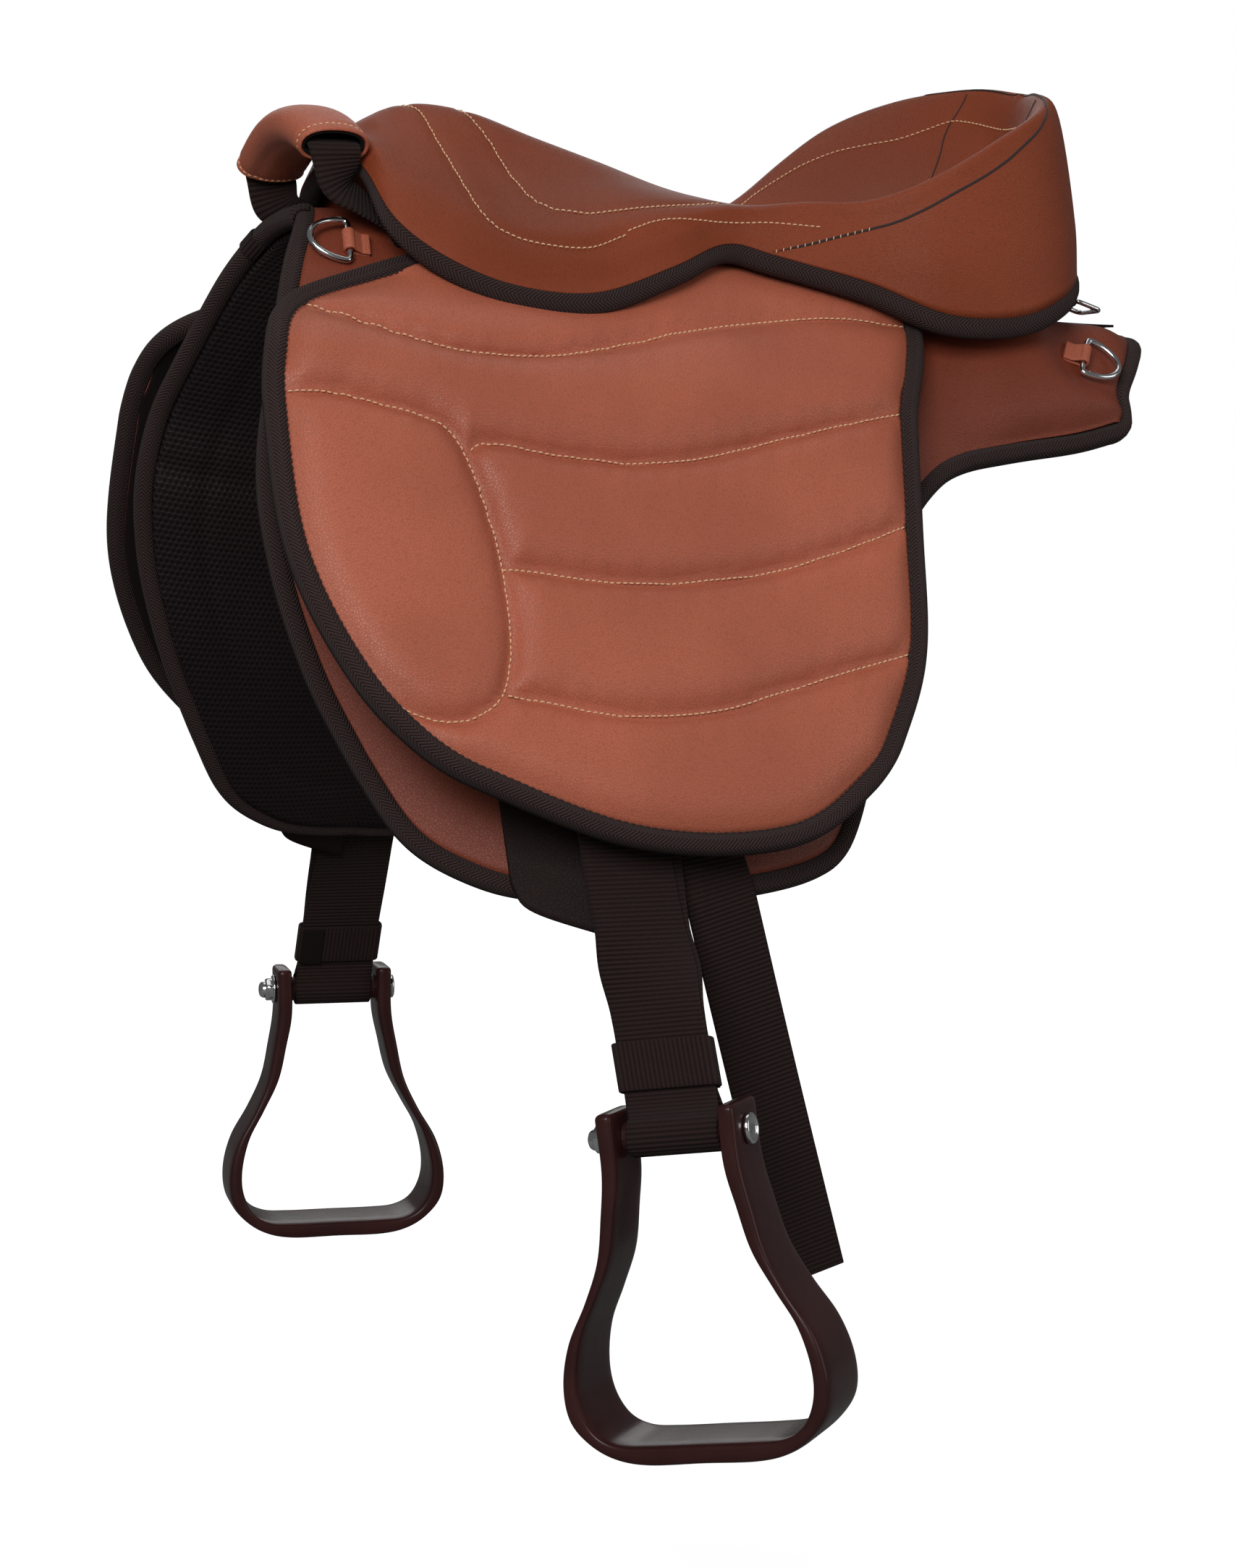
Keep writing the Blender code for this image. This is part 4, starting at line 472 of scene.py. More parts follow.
def webbing_ribs():
    """Ribs across the webbing over fine threads along it."""
    tree, given, result = new_group("webbing_ribs", {"Pitch": 0.0025, "Thread": 0.0011}, ("Height", "Tone"))
    along, girth = uv_axes(tree)
    rib = calc(tree, "POWER", wave_of(tree, along, given.outputs["Pitch"]), 0.6)
    turns = calc(tree, "DIVIDE", calc(tree, "MULTIPLY", girth, 2 * math.pi), given.outputs["Thread"])
    fuzz = noise(tree, 700.0, 3.0)
    height = plus(tree, rib, calc(tree, "SINE", turns), 0.12)
    put(tree, result.inputs["Height"], plus(tree, height, fuzz, 0.3))
    put(tree, result.inputs["Tone"], plus(tree, calc(tree, "MULTIPLY", rib, 0.6), fuzz, 0.4))
    return tree


HERRINGBONE, RIBS = herringbone(), webbing_ribs()
print("node groups:", HERRINGBONE.name, RIBS.name)

# %% [markdown]
# The lining breathes through small holes in staggered rows. They are too many to model, so a mask
# darkens them and a height sinks them. Sewing thread is twisted, which shows as an uneven height.


# %% Perforations and twisted thread
def perforations():
    """Small round holes in staggered rows."""
    tree, given, result = new_group("perforations", {"Pitch": 0.0034}, ("Height", "Hole"))
    u, v = (calc(tree, "DIVIDE", axis, given.outputs["Pitch"]) for axis in uv_axes(tree))
    odd_row = calc(tree, "MODULO", calc(tree, "FLOOR", v), 2.0)
    across = calc(tree, "SUBTRACT", calc(tree, "FRACT", plus(tree, u, odd_row, 0.5)), 0.5)
    down = calc(tree, "SUBTRACT", calc(tree, "FRACT", v), 0.5)
    squares = calc(tree, "ADD", calc(tree, "MULTIPLY", across, across), calc(tree, "MULTIPLY", down, down))
    reach = calc(tree, "SQRT", squares)
    hole = ramp(tree, reach, 0.20, 0.30, 1.0, 0.0)
    swell = ramp(tree, reach, 0.26, 0.6)
    put(tree, result.inputs["Height"], calc(tree, "SUBTRACT", calc(tree, "MULTIPLY", swell, 0.5), hole))
    put(tree, result.inputs["Hole"], hole)
    return tree


def thread_twist():
    """The uneven height of twisted thread."""
    tree, given, result = new_group("thread_twist", {"Fineness": 1500.0}, ("Height",))
    put(tree, result.inputs["Height"], noise(tree, given.outputs["Fineness"], 1.0))
    return tree


HOLES, TWIST = perforations(), thread_twist()
print("node groups:", len(bpy.data.node_groups))

# %% [markdown]
# Each finish is one Principled shader. There is a recipe per kind of stuff, which sets its plain
# numbers. Most recipes mix a lighter and a darker colour by a group's mask and feed the group's height
# to the normal. Two leathers then differ only in the numbers given to the same recipe.


# %% How a finish is made
def finish_named(name, roughness, metallic=0.0, sheen=0.0, coat=0.0, shine=0.5):
    """A material with its Principled shader and tree."""
    made = bpy.data.materials.new(name)
    made.use_nodes = True
    shader = made.node_tree.nodes["Principled BSDF"]
    shader.inputs["Roughness"].default_value = roughness
    shader.inputs["Metallic"].default_value = metallic
    shader.inputs["Sheen Weight"].default_value = sheen
    shader.inputs["Coat Weight"].default_value = coat
    shader.inputs["Specular IOR Level"].default_value = shine
    shader.inputs["Coat Roughness"].default_value = 0.12
    return made, made.node_tree, shader


def mixed(tree, share, first, second):
    """A colour between two, the first of which can be a socket."""
    node = tree.nodes.new("ShaderNodeMix")
    node.data_type = "RGBA"
    put(tree, node.inputs["Factor"], share)
    put(tree, node.inputs["A"], first if isinstance(first, bpy.types.NodeSocket) else (*first, 1))
    put(tree, node.inputs["B"], (*second, 1))
    return node.outputs["Result"]


def bumped(tree, shader, height, strength, distance):
    """Feed a height to the shader's normal."""
    node = add(tree, "ShaderNodeBump", Height=height, Strength=strength, Distance=distance)
    tree.links.new(node.outputs[0], shader.inputs["Normal"])


print("finishes so far:", len(bpy.data.materials))

# %% Leather and cloth
PORE_SHARE = 0.35
PORE_DARK = 0.55


def leather(name, light, dark, size, roughness, shine=0.35):
    """Dyed leather: pebbled grain, darker pores, and a slow change of tone."""
    made, tree, shader = finish_named(name, roughness, shine=shine)
    grain = placed(tree, GRAIN, Size=size)
    tone = mixed(tree, grain.outputs["Tone"], dark, light)
    pores = calc(tree, "MULTIPLY", grain.outputs["Pore"], PORE_SHARE)
    tree.links.new(mixed(tree, pores, tone, tuple(PORE_DARK * c for c in dark)), shader.inputs["Base Color"])
    tree.links.new(plus(tree, roughness - 0.05, grain.outputs["Tone"], 0.10), shader.inputs["Roughness"])
    bumped(tree, shader, grain.outputs["Height"], 0.32, 0.0006)
    return made


def woven(name, group, light, dark, strength, depth):
    """Woven cloth whose ribs follow the piece's own length."""
    made, tree, shader = finish_named(name, 0.82, sheen=0.03, shine=0.12)
    weave = placed(tree, group)
    tree.links.new(mixed(tree, weave.outputs["Tone"], dark, light), shader.inputs["Base Color"])
    bumped(tree, shader, weave.outputs["Height"], strength, depth)
    return made


def perforated(name, light, dark, hole):
    """Perforated lining: a soft dark face punched with small holes in staggered rows."""
    made, tree, shader = finish_named(name, 0.55, shine=0.18)
    punched = placed(tree, HOLES)
    grain = placed(tree, GRAIN, Size=1.4)
    face = mixed(tree, grain.outputs["Tone"], dark, light)
    tree.links.new(mixed(tree, punched.outputs["Hole"], face, hole), shader.inputs["Base Color"])
    bumped(tree, shader, plus(tree, punched.outputs["Height"], grain.outputs["Height"], 0.12), 0.6, 0.0008)
    return made


print("recipes:", leather.__name__, woven.__name__, perforated.__name__)


# %% Plastic, steel and thread
FLOW_LIGHT = 1.35
SHADED_THREAD = 0.7


def moulded(name, colour, roughness):
    """Glossy moulded plastic with faint flow marks and handling dust."""
    made, tree, shader = finish_named(name, roughness, coat=0.05, shine=0.22)
    flow, dust = noise(tree, 28.0, 3.0), noise(tree, 90.0, 3.0)
    tone = mixed(tree, ramp(tree, flow, 0.35, 0.7), colour, tuple(FLOW_LIGHT * c for c in colour))
    tree.links.new(tone, shader.inputs["Base Color"])
    tree.links.new(plus(tree, roughness, dust, 0.14), shader.inputs["Roughness"])
    bumped(tree, shader, plus(tree, flow, dust, 0.05), 0.05, 0.0010)
    return made


def plated(name, colour, roughness):
    """Nickel-plated steel with fine scratches."""
    made, tree, shader = finish_named(name, roughness, metallic=1.0)
    scratch = noise(tree, 500.0, 4.0)
    shader.inputs["Base Color"].default_value = (*colour, 1)
    tree.links.new(plus(tree, roughness, scratch, 0.12), shader.inputs["Roughness"])
    bumped(tree, shader, scratch, 0.05, 0.0003)
    return made


def thread(name, colour):
    """Twisted sewing thread."""
    made, tree, shader = finish_named(name, 0.7, sheen=0.1)
    twist = placed(tree, TWIST).outputs["Height"]
    shaded = tuple(SHADED_THREAD * c for c in colour)
    tree.links.new(mixed(tree, twist, shaded, colour), shader.inputs["Base Color"])
    bumped(tree, shader, twist, 0.3, 0.0003)
    return made


print("recipes:", moulded.__name__, plated.__name__, thread.__name__)

# %% The saddle's finishes
FLAP_LEATHER = leather("flap_leather", (0.495, 0.134, 0.074), (0.410, 0.108, 0.059), 1.0, 0.42, 0.32)
SEAT_LEATHER = leather("seat_leather", (0.272, 0.056, 0.021), (0.212, 0.042, 0.015), 0.8, 0.42, 0.2)
BASE_LEATHER = leather("base_leather", (0.230, 0.046, 0.021), (0.185, 0.037, 0.017), 1.0, 0.48)
GUARD_LEATHER = leather("guard_leather", (0.020, 0.011, 0.010), (0.013, 0.008, 0.007), 1.2, 0.55, 0.1)
TAPE = woven("binding_tape", HERRINGBONE, (0.066, 0.040, 0.037), (0.010, 0.006, 0.006), 0.8, 0.0009)
WEBBING = woven("webbing", RIBS, (0.033, 0.018, 0.016), (0.009, 0.005, 0.005), 0.8, 0.0009)
LINING = perforated("lining", (0.014, 0.007, 0.008), (0.009, 0.005, 0.006), (0.002, 0.001, 0.001))
FELT = woven("felt", HERRINGBONE, (0.010, 0.006, 0.006), (0.007, 0.004, 0.004), 0.2, 0.0004)
PLASTIC = moulded("stirrup_plastic", (0.032, 0.0095, 0.0090), 0.20)
STEEL = plated("bright_steel", (0.78, 0.78, 0.80), 0.10)
PALE_THREAD = thread("pale_thread", (0.86, 0.52, 0.30))
DARK_THREAD = thread("dark_thread", (0.030, 0.012, 0.010))
print("finishes:", len(bpy.data.materials))

# %% [markdown]
# A seam is what makes quilted leather read as sewn. Each stitch here is a short round thread that
# dips at both ends, laid along the seam at its real pitch. A stitched line is one mesh.


# %% Stitches
STITCH_SIDES = 6
# stations of one stitch: where along it, how high and how thick, as shares of its sizes
STITCH_SHARES = ((-0.5, -0.9, 0.35), (-0.38, 0.1, 0.9), (0, 0.55, 1), (0.38, 0.1, 0.9), (0.5, -0.9, 0.35))


def stitches(name, path, normals, paint, body, pitch=0.0036, share=0.68, radius=0.00042, lean=0.0):
    """Short threads along a path, each a small capsule that sinks at its ends."""
    path, normals = np.asarray(path, float), unit(np.asarray(normals, float))
    count = max(int(length_of(path) / pitch), 1)
    fine = evenly(np.hstack([path, normals]), 2 * count + 1)
    centres, normals = fine[1::2, :3], unit(fine[1::2, 3:])
    ahead = unit(fine[2::2, :3] - fine[:-2:2, :3])
    across = unit(np.cross(normals, ahead))
    ahead = unit(ahead * math.cos(lean) + across * math.sin(lean))
    across = unit(np.cross(normals, ahead))
    angles = np.linspace(0, 2 * math.pi, STITCH_SIDES, endpoint=False)
    points, faces = [], []
    for centre, normal, run, side in zip(centres, normals, ahead, across):
        start = len(points)
        for along, rise, thick in STITCH_SHARES:
            middle = centre + run * (along * pitch * share) + normal * (rise * radius)
            for angle in angles:
                points.append(middle + side * (radius * thick * math.cos(angle))
                              + normal * (radius * thick * math.sin(angle)))
        faces += quads(len(STITCH_SHARES), STITCH_SIDES, start, wrap=True)
        faces.append(tuple(range(start, start + STITCH_SIDES)))
        faces.append(tuple(range(len(points) - STITCH_SIDES, len(points))))
    made = new_piece(name, points, faces, paint)
    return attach(made, body) if body else made


print("points in a stitch:", STITCH_SIDES * len(STITCH_SHARES))


# %% Where stitches land
def surface_of(piece):
    """A tree of a piece's faces, to drop stitches on."""
    mesh = piece.data
    return BVHTree.FromPolygons([v.co for v in mesh.vertices], [f.vertices for f in mesh.polygons])


def dropped(tree, starts, toward):
    """Where rays from the starts first meet a surface, and which way it faces there."""
    found, facing = [], []
    for start, way in zip(starts, np.broadcast_to(toward, starts.shape)):
        place, normal, _, _ = tree.ray_cast(Vector(start), Vector(way))
        if place is not None:
            found.append(place)
            facing.append(-normal if normal.dot(Vector(way)) > 0 else normal)
    return np.array(found), np.array(facing)


def distance_to(places, lines):
    """Distance of each place to the nearest of some lines, all as x and s."""
    flat = places.reshape(-1, 2)
    nearest = np.full(len(flat), 1.0)
    for line in lines:
        for a, b in zip(line, line[1:]):
            step = b - a
            t = np.clip((flat - a) @ step / max(step @ step, 1e-12), 0, 1)
            nearest = np.minimum(nearest, np.linalg.norm(flat - a - t[:, None] * step, axis=1))
    return nearest.reshape(places.shape[:-1])


tried = distance_to(np.array([[0, 0.1]]), [np.array([[-1, 0], [1, 0]])])
print("a place 0.1 m from a line is found at", tried[0].round(3), "m")

# %% [markdown]
# The flap is one quilted leather: a knee pad in front and three channels behind it, all held down by
# pale stitching. In the frame it is two nodes, a fixed yoke and a panel that lifts. Real leather has
# no gap there, so one sheet covers both and bends across the fold. Its height is a rule: full foam
# everywhere, pinched to the backing near each seam and near the bound edge.

# %% Flap lines
YOKE_TOP = ((-0.386, 0.221), (-0.345, 0.203), (-0.278, 0.207), (-0.197, 0.202), (-0.110, 0.152),
            (-0.043, 0.110), (0.009, 0.117), (0.101, 0.145), (0.148, 0.172))
YOKE_STITCH = ((-0.496, 0.305), (-0.365, 0.317), (-0.243, 0.319), (-0.115, 0.289), (0.014, 0.242),
               (0.144, 0.221))
FOLD = ((-0.525, 0.400), (-0.365, 0.361), (-0.243, 0.339), (-0.052, 0.312), (0.125, 0.289))
CHANNEL_ONE = ((-0.530, 0.440), (-0.428, 0.429), (-0.336, 0.456), (-0.203, 0.455), (-0.010, 0.391),
               (0.103, 0.354))
CHANNEL_TWO = ((-0.529, 0.639), (-0.435, 0.632), (-0.337, 0.619), (-0.190, 0.614), (-0.037, 0.558),
               (0.081, 0.515))
CHANNEL_THREE = ((-0.482, 0.797), (-0.417, 0.813), (-0.351, 0.786), (-0.214, 0.790), (-0.063, 0.738),
                 (0.056, 0.691))
HEM = ((-0.423, 0.880), (-0.296, 0.937), (-0.223, 0.949), (-0.146, 0.942), (-0.075, 0.914), (0.002, 0.831))
SEAM_YOKE = ((-0.500, 0.292), (-0.453, 0.315), (-0.398, 0.335), (-0.339, 0.345), (-0.259, 0.332),
             (-0.170, 0.292), (-0.079, 0.247), (0.011, 0.218), (0.081, 0.207), (0.146, 0.210))
SEAM_KNEE = ((-0.527, 0.437), (-0.485, 0.432), (-0.450, 0.438), (-0.406, 0.446), (-0.378, 0.461),
             (-0.365, 0.491), (-0.356, 0.536), (-0.349, 0.593), (-0.346, 0.651), (-0.348, 0.714),
             (-0.354, 0.762), (-0.367, 0.803), (-0.392, 0.830), (-0.416, 0.840), (-0.437, 0.839),
             (-0.457, 0.831), (-0.472, 0.818))
SEAM_ONE = ((-0.358, 0.486), (-0.350, 0.476), (-0.326, 0.472), (-0.282, 0.476), (-0.236, 0.475),
            (-0.188, 0.471), (-0.123, 0.453), (-0.034, 0.412), (0.039, 0.380), (0.107, 0.353))
SEAM_TWO = ((-0.348, 0.639), (-0.316, 0.635), (-0.271, 0.638), (-0.185, 0.629), (-0.121, 0.614),
            (-0.062, 0.593), (0.010, 0.556), (0.084, 0.513))
SEAM_THREE = ((-0.362, 0.800), (-0.322, 0.802), (-0.278, 0.809), (-0.209, 0.803), (-0.144, 0.785),
              (-0.084, 0.756), (-0.014, 0.722), (0.058, 0.689))
SEAM_LINES = {"yoke": SEAM_YOKE, "knee": SEAM_KNEE, "first": SEAM_ONE, "second": SEAM_TWO,
              "third": SEAM_THREE}
print("seams across a flap:", ", ".join(SEAM_LINES))

# %% Flap grid
FLAP_THICK = 0.008
YOKE_LIFT = 0.0105
PANEL_LIFT = 0.022
FRONT_LIFT = 0.018
FLAP_COLUMNS = 150
FLAP_ROWS = (12, 9, 10, 24, 20, 20)


def flap_lift(x, s):
    """Lift of the flap's middle layer off the skin: low at the yoke, higher below it and in front."""
    free = PANEL_LIFT + FRONT_LIFT * np.clip((x - 0.157 * LENGTH) / (-0.714 * LENGTH), 0, 1)
    share = np.clip((s - 0.203 * DROP) / (0.192 * DROP), 0, 1)
    return YOKE_LIFT + (free - YOKE_LIFT) * eased(share)


def flap_grid():
    """Places from the tucked top edge down to the hem."""
    lines = (YOKE_TOP, YOKE_STITCH, FOLD, CHANNEL_ONE, CHANNEL_TWO, CHANNEL_THREE, HEM)
    guides = [curve_through(metric(line), FLAP_COLUMNS) for line in lines]
    beyond = [2 * guides[0] - guides[1], *guides, 2 * guides[-1] - guides[-2]]
    return np.array(filled(beyond, FLAP_ROWS))


FLAP_PLACES = flap_grid()
SEAMS = {name: curve_through(metric(line), 70) for name, line in SEAM_LINES.items()}
FLAP_EDGE = np.vstack([FLAP_PLACES[:, 0], FLAP_PLACES[-1, 1:], FLAP_PLACES[-2::-1, -1]])
print("flap grid:", FLAP_PLACES.shape[:2])


# %% Flap foam
FLAP_PUFF = 0.0092
PINCH = 0.0070
EDGE_PINCH = 0.008
CREASE_DEEP = 0.0010
CREASE_WIDE = 0.0022
PULL_HIGH = 0.0004
PULL_REACH = 0.010


def flap_height():
    """Foam height over the backing: full away from the seams and the bound edge."""
    seam = distance_to(FLAP_PLACES, SEAMS.values())
    edge = distance_to(FLAP_PLACES, [FLAP_EDGE[::3]])
    foam = FLAP_PUFF * (1 - np.exp(-((seam / PINCH) ** 1.25))) * (1 - np.exp(-((edge / EDGE_PINCH) ** 1.3)))
    x, s = FLAP_PLACES[..., 0], FLAP_PLACES[..., 1]
    below_yoke = np.clip((s / DROP - 0.16) / 0.12, 0, 1)
    ripples = PULL_HIGH * np.sin(x * 410 + s * 150) * np.exp(-seam / PULL_REACH)
    pull = ripples * (seam > 0.0012)
    return foam * (0.25 + 0.75 * below_yoke) + pull - CREASE_DEEP * np.exp(-((seam / CREASE_WIDE) ** 2))


FLAP_HEIGHT = flap_height()
print("foam height:", FLAP_HEIGHT.min().round(4), "to", FLAP_HEIGHT.max().round(4))


# %% [markdown]
# The panel lifts about a line just below the seat's edge. Leather there bends over a short stretch.


def fold_line(side):
    """Front and rear end of the fold."""
    ends = metric((FOLD[0], FOLD[-1]))
    return laid(ends[:, 0], ends[:, 1], flap_lift(ends[:, 0], ends[:, 1]) + FLAP_THICK / 2, side)


def bends_at_fold(piece, side):
    """Bake a piece's place into its mesh; the fold's ends and the way down across it are found but not used.
    """
    front, rear = fold_line(side)
    run = unit(rear - front)
    down = np.array([0, side * math.sin(TILT), -math.cos(TILT)])
    down = unit(down - (down @ run) * run)
    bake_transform(piece)


print("fold on the left:", fold_line(-1).round(3).tolist())

# %% Flap leather
FLAPS = {}
for label, side in SIDES:
    x, s = FLAP_PLACES[..., 0], FLAP_PLACES[..., 1]
    middle = flap_lift(x, s)
    outer = laid(x, s, middle + FLAP_THICK / 2 + FLAP_HEIGHT, side)
    inner = laid(x, s, middle - FLAP_THICK / 2, side)
    flap = cushion(f"quilted_flap_{label}", outer, inner, FLAP_LEATHER, np.stack([x, s], axis=-1), FELT)
    FLAPS[label] = surface_of(flap)
    bends_at_fold(flap, side)
    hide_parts(f"flap_yoke_{label}", f"flap_panel_{label}")
    print(flap.name, len(flap.data.vertices), "points")

# %% Flap stitching
STITCH_FROM, STITCH_TOWARD = 0.090, 0.010
STITCH_PROUD = 0.0005
for label, side in SIDES:
    for name, seam in SEAMS.items():
        line = evenly(seam, 300)
        high, low = (laid(line[:, 0], line[:, 1], lift, side) for lift in (STITCH_FROM, STITCH_TOWARD))
        path, facing = dropped(FLAPS[label], high, unit(low - high))
        path = softened(path, 1) + unit(high - low)[:1] * STITCH_PROUD
        sewn = stitches(f"flap_stitch_{name}_{label}", path, facing, PALE_THREAD, None, radius=0.00052,
                        share=0.74)
        if name == "yoke":
            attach(sewn, "saddle")
        else:
            bends_at_fold(sewn, side)
print("flap seams sewn:", ", ".join(SEAMS))

# %% [markdown]
# Every edge is bound with woven tape folded over it. The tape wraps the leather and the foam behind
# it, so its section is a full oval that turns with the edge. On the flaps a row of dark stitching
# holds its inner edge.


# %% Binding helper
TAPE_HIGH = 0.0062
ABOVE = 0.01


def edge_on_skin(places, lifts, side):
    """A line on the skin from places and lifts, and which way the skin faces along it."""
    line = laid(places[:, 0], places[:, 1], lifts, side)
    return line, unit(laid(places[:, 0], places[:, 1], lifts + ABOVE, side) - line)


def bound(name, places, lifts, side, wide, high):
    """Tape along an edge given as places and lifts, with its width along the skin."""
    line, outward = edge_on_skin(places, lifts, side)
    ahead = unit(np.gradient(line, axis=0))
    across = unit(np.cross(ahead, outward))
    piece = carried(name, line, across, unit(np.cross(across, ahead)), oval(wide, high), TAPE)
    return piece, line


def moved_out(line, distance):
    """An edge of places moved away from its piece."""
    ahead = unit(np.gradient(line, axis=0))
    return line - distance * np.column_stack([ahead[:, 1], -ahead[:, 0]])


print("tape stands", TAPE_HIGH, "m off the middle of an edge")

# %% Flap bindings
FLAP_TAPE = 0.0058
TAPE_OUT = 0.0045
TAPE_LIFT = 0.0008
TAPE_STITCH_OUT = -0.0002
TAPE_STITCH_LIFT = 0.0056
TUCKED = 18
edge_line = softened(evenly(np.vstack([FLAP_PLACES[0, TUCKED:0:-1], FLAP_EDGE]), 440), 7)
for label, side in SIDES:
    places = moved_out(edge_line, TAPE_OUT)
    lifts = flap_lift(places[:, 0], places[:, 1]) + TAPE_LIFT
    tape, _ = bound(f"flap_tape_{label}", places, lifts, side, FLAP_TAPE, TAPE_HIGH)
    bends_at_fold(tape, side)
    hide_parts(f"flap_panel_binding_{label}", f"flap_yoke_binding_front_{label}",
                f"flap_yoke_binding_rear_{label}")
    sewn = moved_out(edge_line, TAPE_STITCH_OUT)
    lifts = flap_lift(sewn[:, 0], sewn[:, 1]) + TAPE_STITCH_LIFT
    path, facing = edge_on_skin(sewn, lifts, side)
    row = stitches(f"flap_tape_stitch_{label}", path, facing, DARK_THREAD, None, pitch=0.004)
    bends_at_fold(row, side)
print("flap edge:", round(length_of(edge_line), 3), "m")

# %% [markdown]
# The base is the body of the saddle: two long pads sewn along the spine, leather outside and a
# perforated lining inside. The front rolls off the skin like a soft lapel. The pads are fullest in
# the middle and thin towards the binding. Their rear is stuffed higher, with a dent where the ring lies.

# %% Base outline
BASE_FRONT = ((-0.435, 0), (-0.456, 0.113), (-0.487, 0.226), (-0.535, 0.454), (-0.535, 0.589),
              (-0.508, 0.720), (-0.471, 0.828))
BASE_LOWER = ((-0.430, 0.923), (-0.379, 0.971), (-0.327, 0.993), (-0.238, 1.002), (-0.129, 0.982),
              (-0.047, 0.950), (-0.009, 0.901), (0.035, 0.767), (0.078, 0.587), (0.113, 0.485),
              (0.151, 0.421), (0.191, 0.384), (0.257, 0.361), (0.332, 0.341), (0.391, 0.317))
BASE_REAR = ((0.401, 0.293), (0.402, 0.257), (0.426, 0.203), (0.456, 0.113), (0.466, 0))
BASE_TAPE = 0.0057
BASE_TAPE_OVER = 0.0035
CURL_HIGH = 0.050
CURL_S = smoothed(np.interp(TABLE_S / DROP, (0, 0.12, 0.40, 0.6, 0.85, 1), (0, 0, 0.4, 0, -0.72, -1)), 12)


def curl(x, s):
    """How far the base's front rolls off the skin."""
    share = np.clip((x + 0.261 * LENGTH) / (-0.269 * LENGTH), 0, 1)
    return share * CURL_HIGH * np.interp(s, TABLE_S, CURL_S)


def base_grid(columns, rows):
    """Places over one base half, between the spine, the front, the lower and the rear edge."""
    front = curve_through(metric(BASE_FRONT), 300)
    lower = curve_through(metric(BASE_FRONT[-1:] + BASE_LOWER), 600)
    rear = curve_through(metric(BASE_LOWER[-1:] + BASE_REAR), 200)
    whole = np.vstack([front, lower[1:], rear[1:]])
    ahead = unit(np.gradient(whole, axis=0))
    inset = whole + (2 * BASE_TAPE - BASE_TAPE_OVER) * np.column_stack([ahead[:, 1], -ahead[:, 0]])
    inset[[0, -1], 1] = 0
    a, b = len(front) - 1, len(front) + len(lower) - 2
    front, lower = evenly(inset[: a + 1], rows), evenly(inset[a : b + 1], columns)
    rear = evenly(inset[b:][::-1], rows)
    spine = np.linspace(front[0], rear[0], columns)
    t, u = np.linspace(0, 1, rows)[:, None, None], np.linspace(0, 1, columns)[None, :, None]
    ruled = spine[None] * (1 - t) + lower[None] * t + front[:, None] * (1 - u) + rear[:, None] * u
    corners = ((spine[0] * (1 - u) + spine[-1] * u) * (1 - t) + (lower[0] * (1 - u) + lower[-1] * u) * t)
    return ruled - corners, np.vstack([front, lower[1:], rear[::-1][1:]])


BASE_PLACES, BASE_EDGE = base_grid(130, 90)
print("base grid:", BASE_PLACES.shape[:2])

# %% Base pads
PAD_THICK = 0.0160
PAD_ROUND = 0.0040
PAD_FALL = 0.014
STUFFED_HIGH = 0.011
RING_DENT = 0.027
SPINE_GAP = 0.0002
BASE_S = np.maximum(BASE_PLACES[..., 1], SPINE_GAP)
to_edge = distance_to(BASE_PLACES, [BASE_EDGE[::2]])
edge_thin = PAD_ROUND * np.exp(-((to_edge / PAD_FALL) ** 1.4))
base_bend = curl(BASE_PLACES[..., 0], BASE_PLACES[..., 1])


def stuffing():
    """Extra height over the rear of a pad, with a dent where the rear ring lies."""
    x, s = BASE_PLACES[..., 0], BASE_PLACES[..., 1]
    high = STUFFED_HIGH * eased(np.clip((x - 0.085) / 0.080, 0, 1))
    high = high * (1 - np.exp(-((to_edge / 0.010) ** 1.3))) * np.clip((s - 0.050) / 0.030, 0, 1)
    return high * (1 - np.exp(-((np.hypot(x - 0.206, s - 0.095) / RING_DENT) ** 4)))


def base_pad(label, side):
    """The leather and its stuffing, thinner towards the bound edge."""
    outer = laid(BASE_PLACES[..., 0], BASE_S, base_bend - edge_thin + stuffing(), side)
    inner = laid(BASE_PLACES[..., 0], BASE_S, base_bend - PAD_THICK + edge_thin, side)
    pad = cushion(f"base_{label}", outer, inner, BASE_LEATHER, BASE_PLACES)
    dressed(pad, "saddle", "flap_leather", f"base_pad_{label}")
    return pad


print("most thinning at the edge:", edge_thin.max().round(4), "m")

# %% [markdown]
# The lining is a thinner pad of perforated cloth under each half. It shows where the base rolls up in
# front and below the pommel. A shallow crease and the dip of its edge seam keep it from looking flat.

# %% Base linings
LINING_GAP = 0.0003
LINING_THICK = 0.0034
LINING_SINK = 0.0006
LINING_CREASE, LINING_CREASE_WIDE = 0.0022, 0.006
LINING_SEAM, LINING_SEAM_WIDE, LINING_SEAM_IN = 0.0012, 0.003, 0.030


def base_lining(label, side):
    """Perforated cloth under a pad, creased lengthways and sewn along its edge."""
    x, s = BASE_PLACES[..., 0], BASE_PLACES[..., 1]
    crease = LINING_CREASE * np.exp(-(((s - (0.50 + 0.10 * x) * DROP) / LINING_CREASE_WIDE) ** 2))
    seam = LINING_SEAM * np.exp(-(((to_edge - LINING_SEAM_IN) / LINING_SEAM_WIDE) ** 2))
    back = base_bend - PAD_THICK - LINING_GAP + edge_thin
    face = back - LINING_THICK - LINING_SINK + crease + seam
    back, face = (laid(x, BASE_S, lift, side) for lift in (back, face))
    lining = cushion(f"lining_{label}", back, face, LINING, BASE_PLACES)
    return dressed(lining, "saddle", "lining", f"base_lining_{label}")


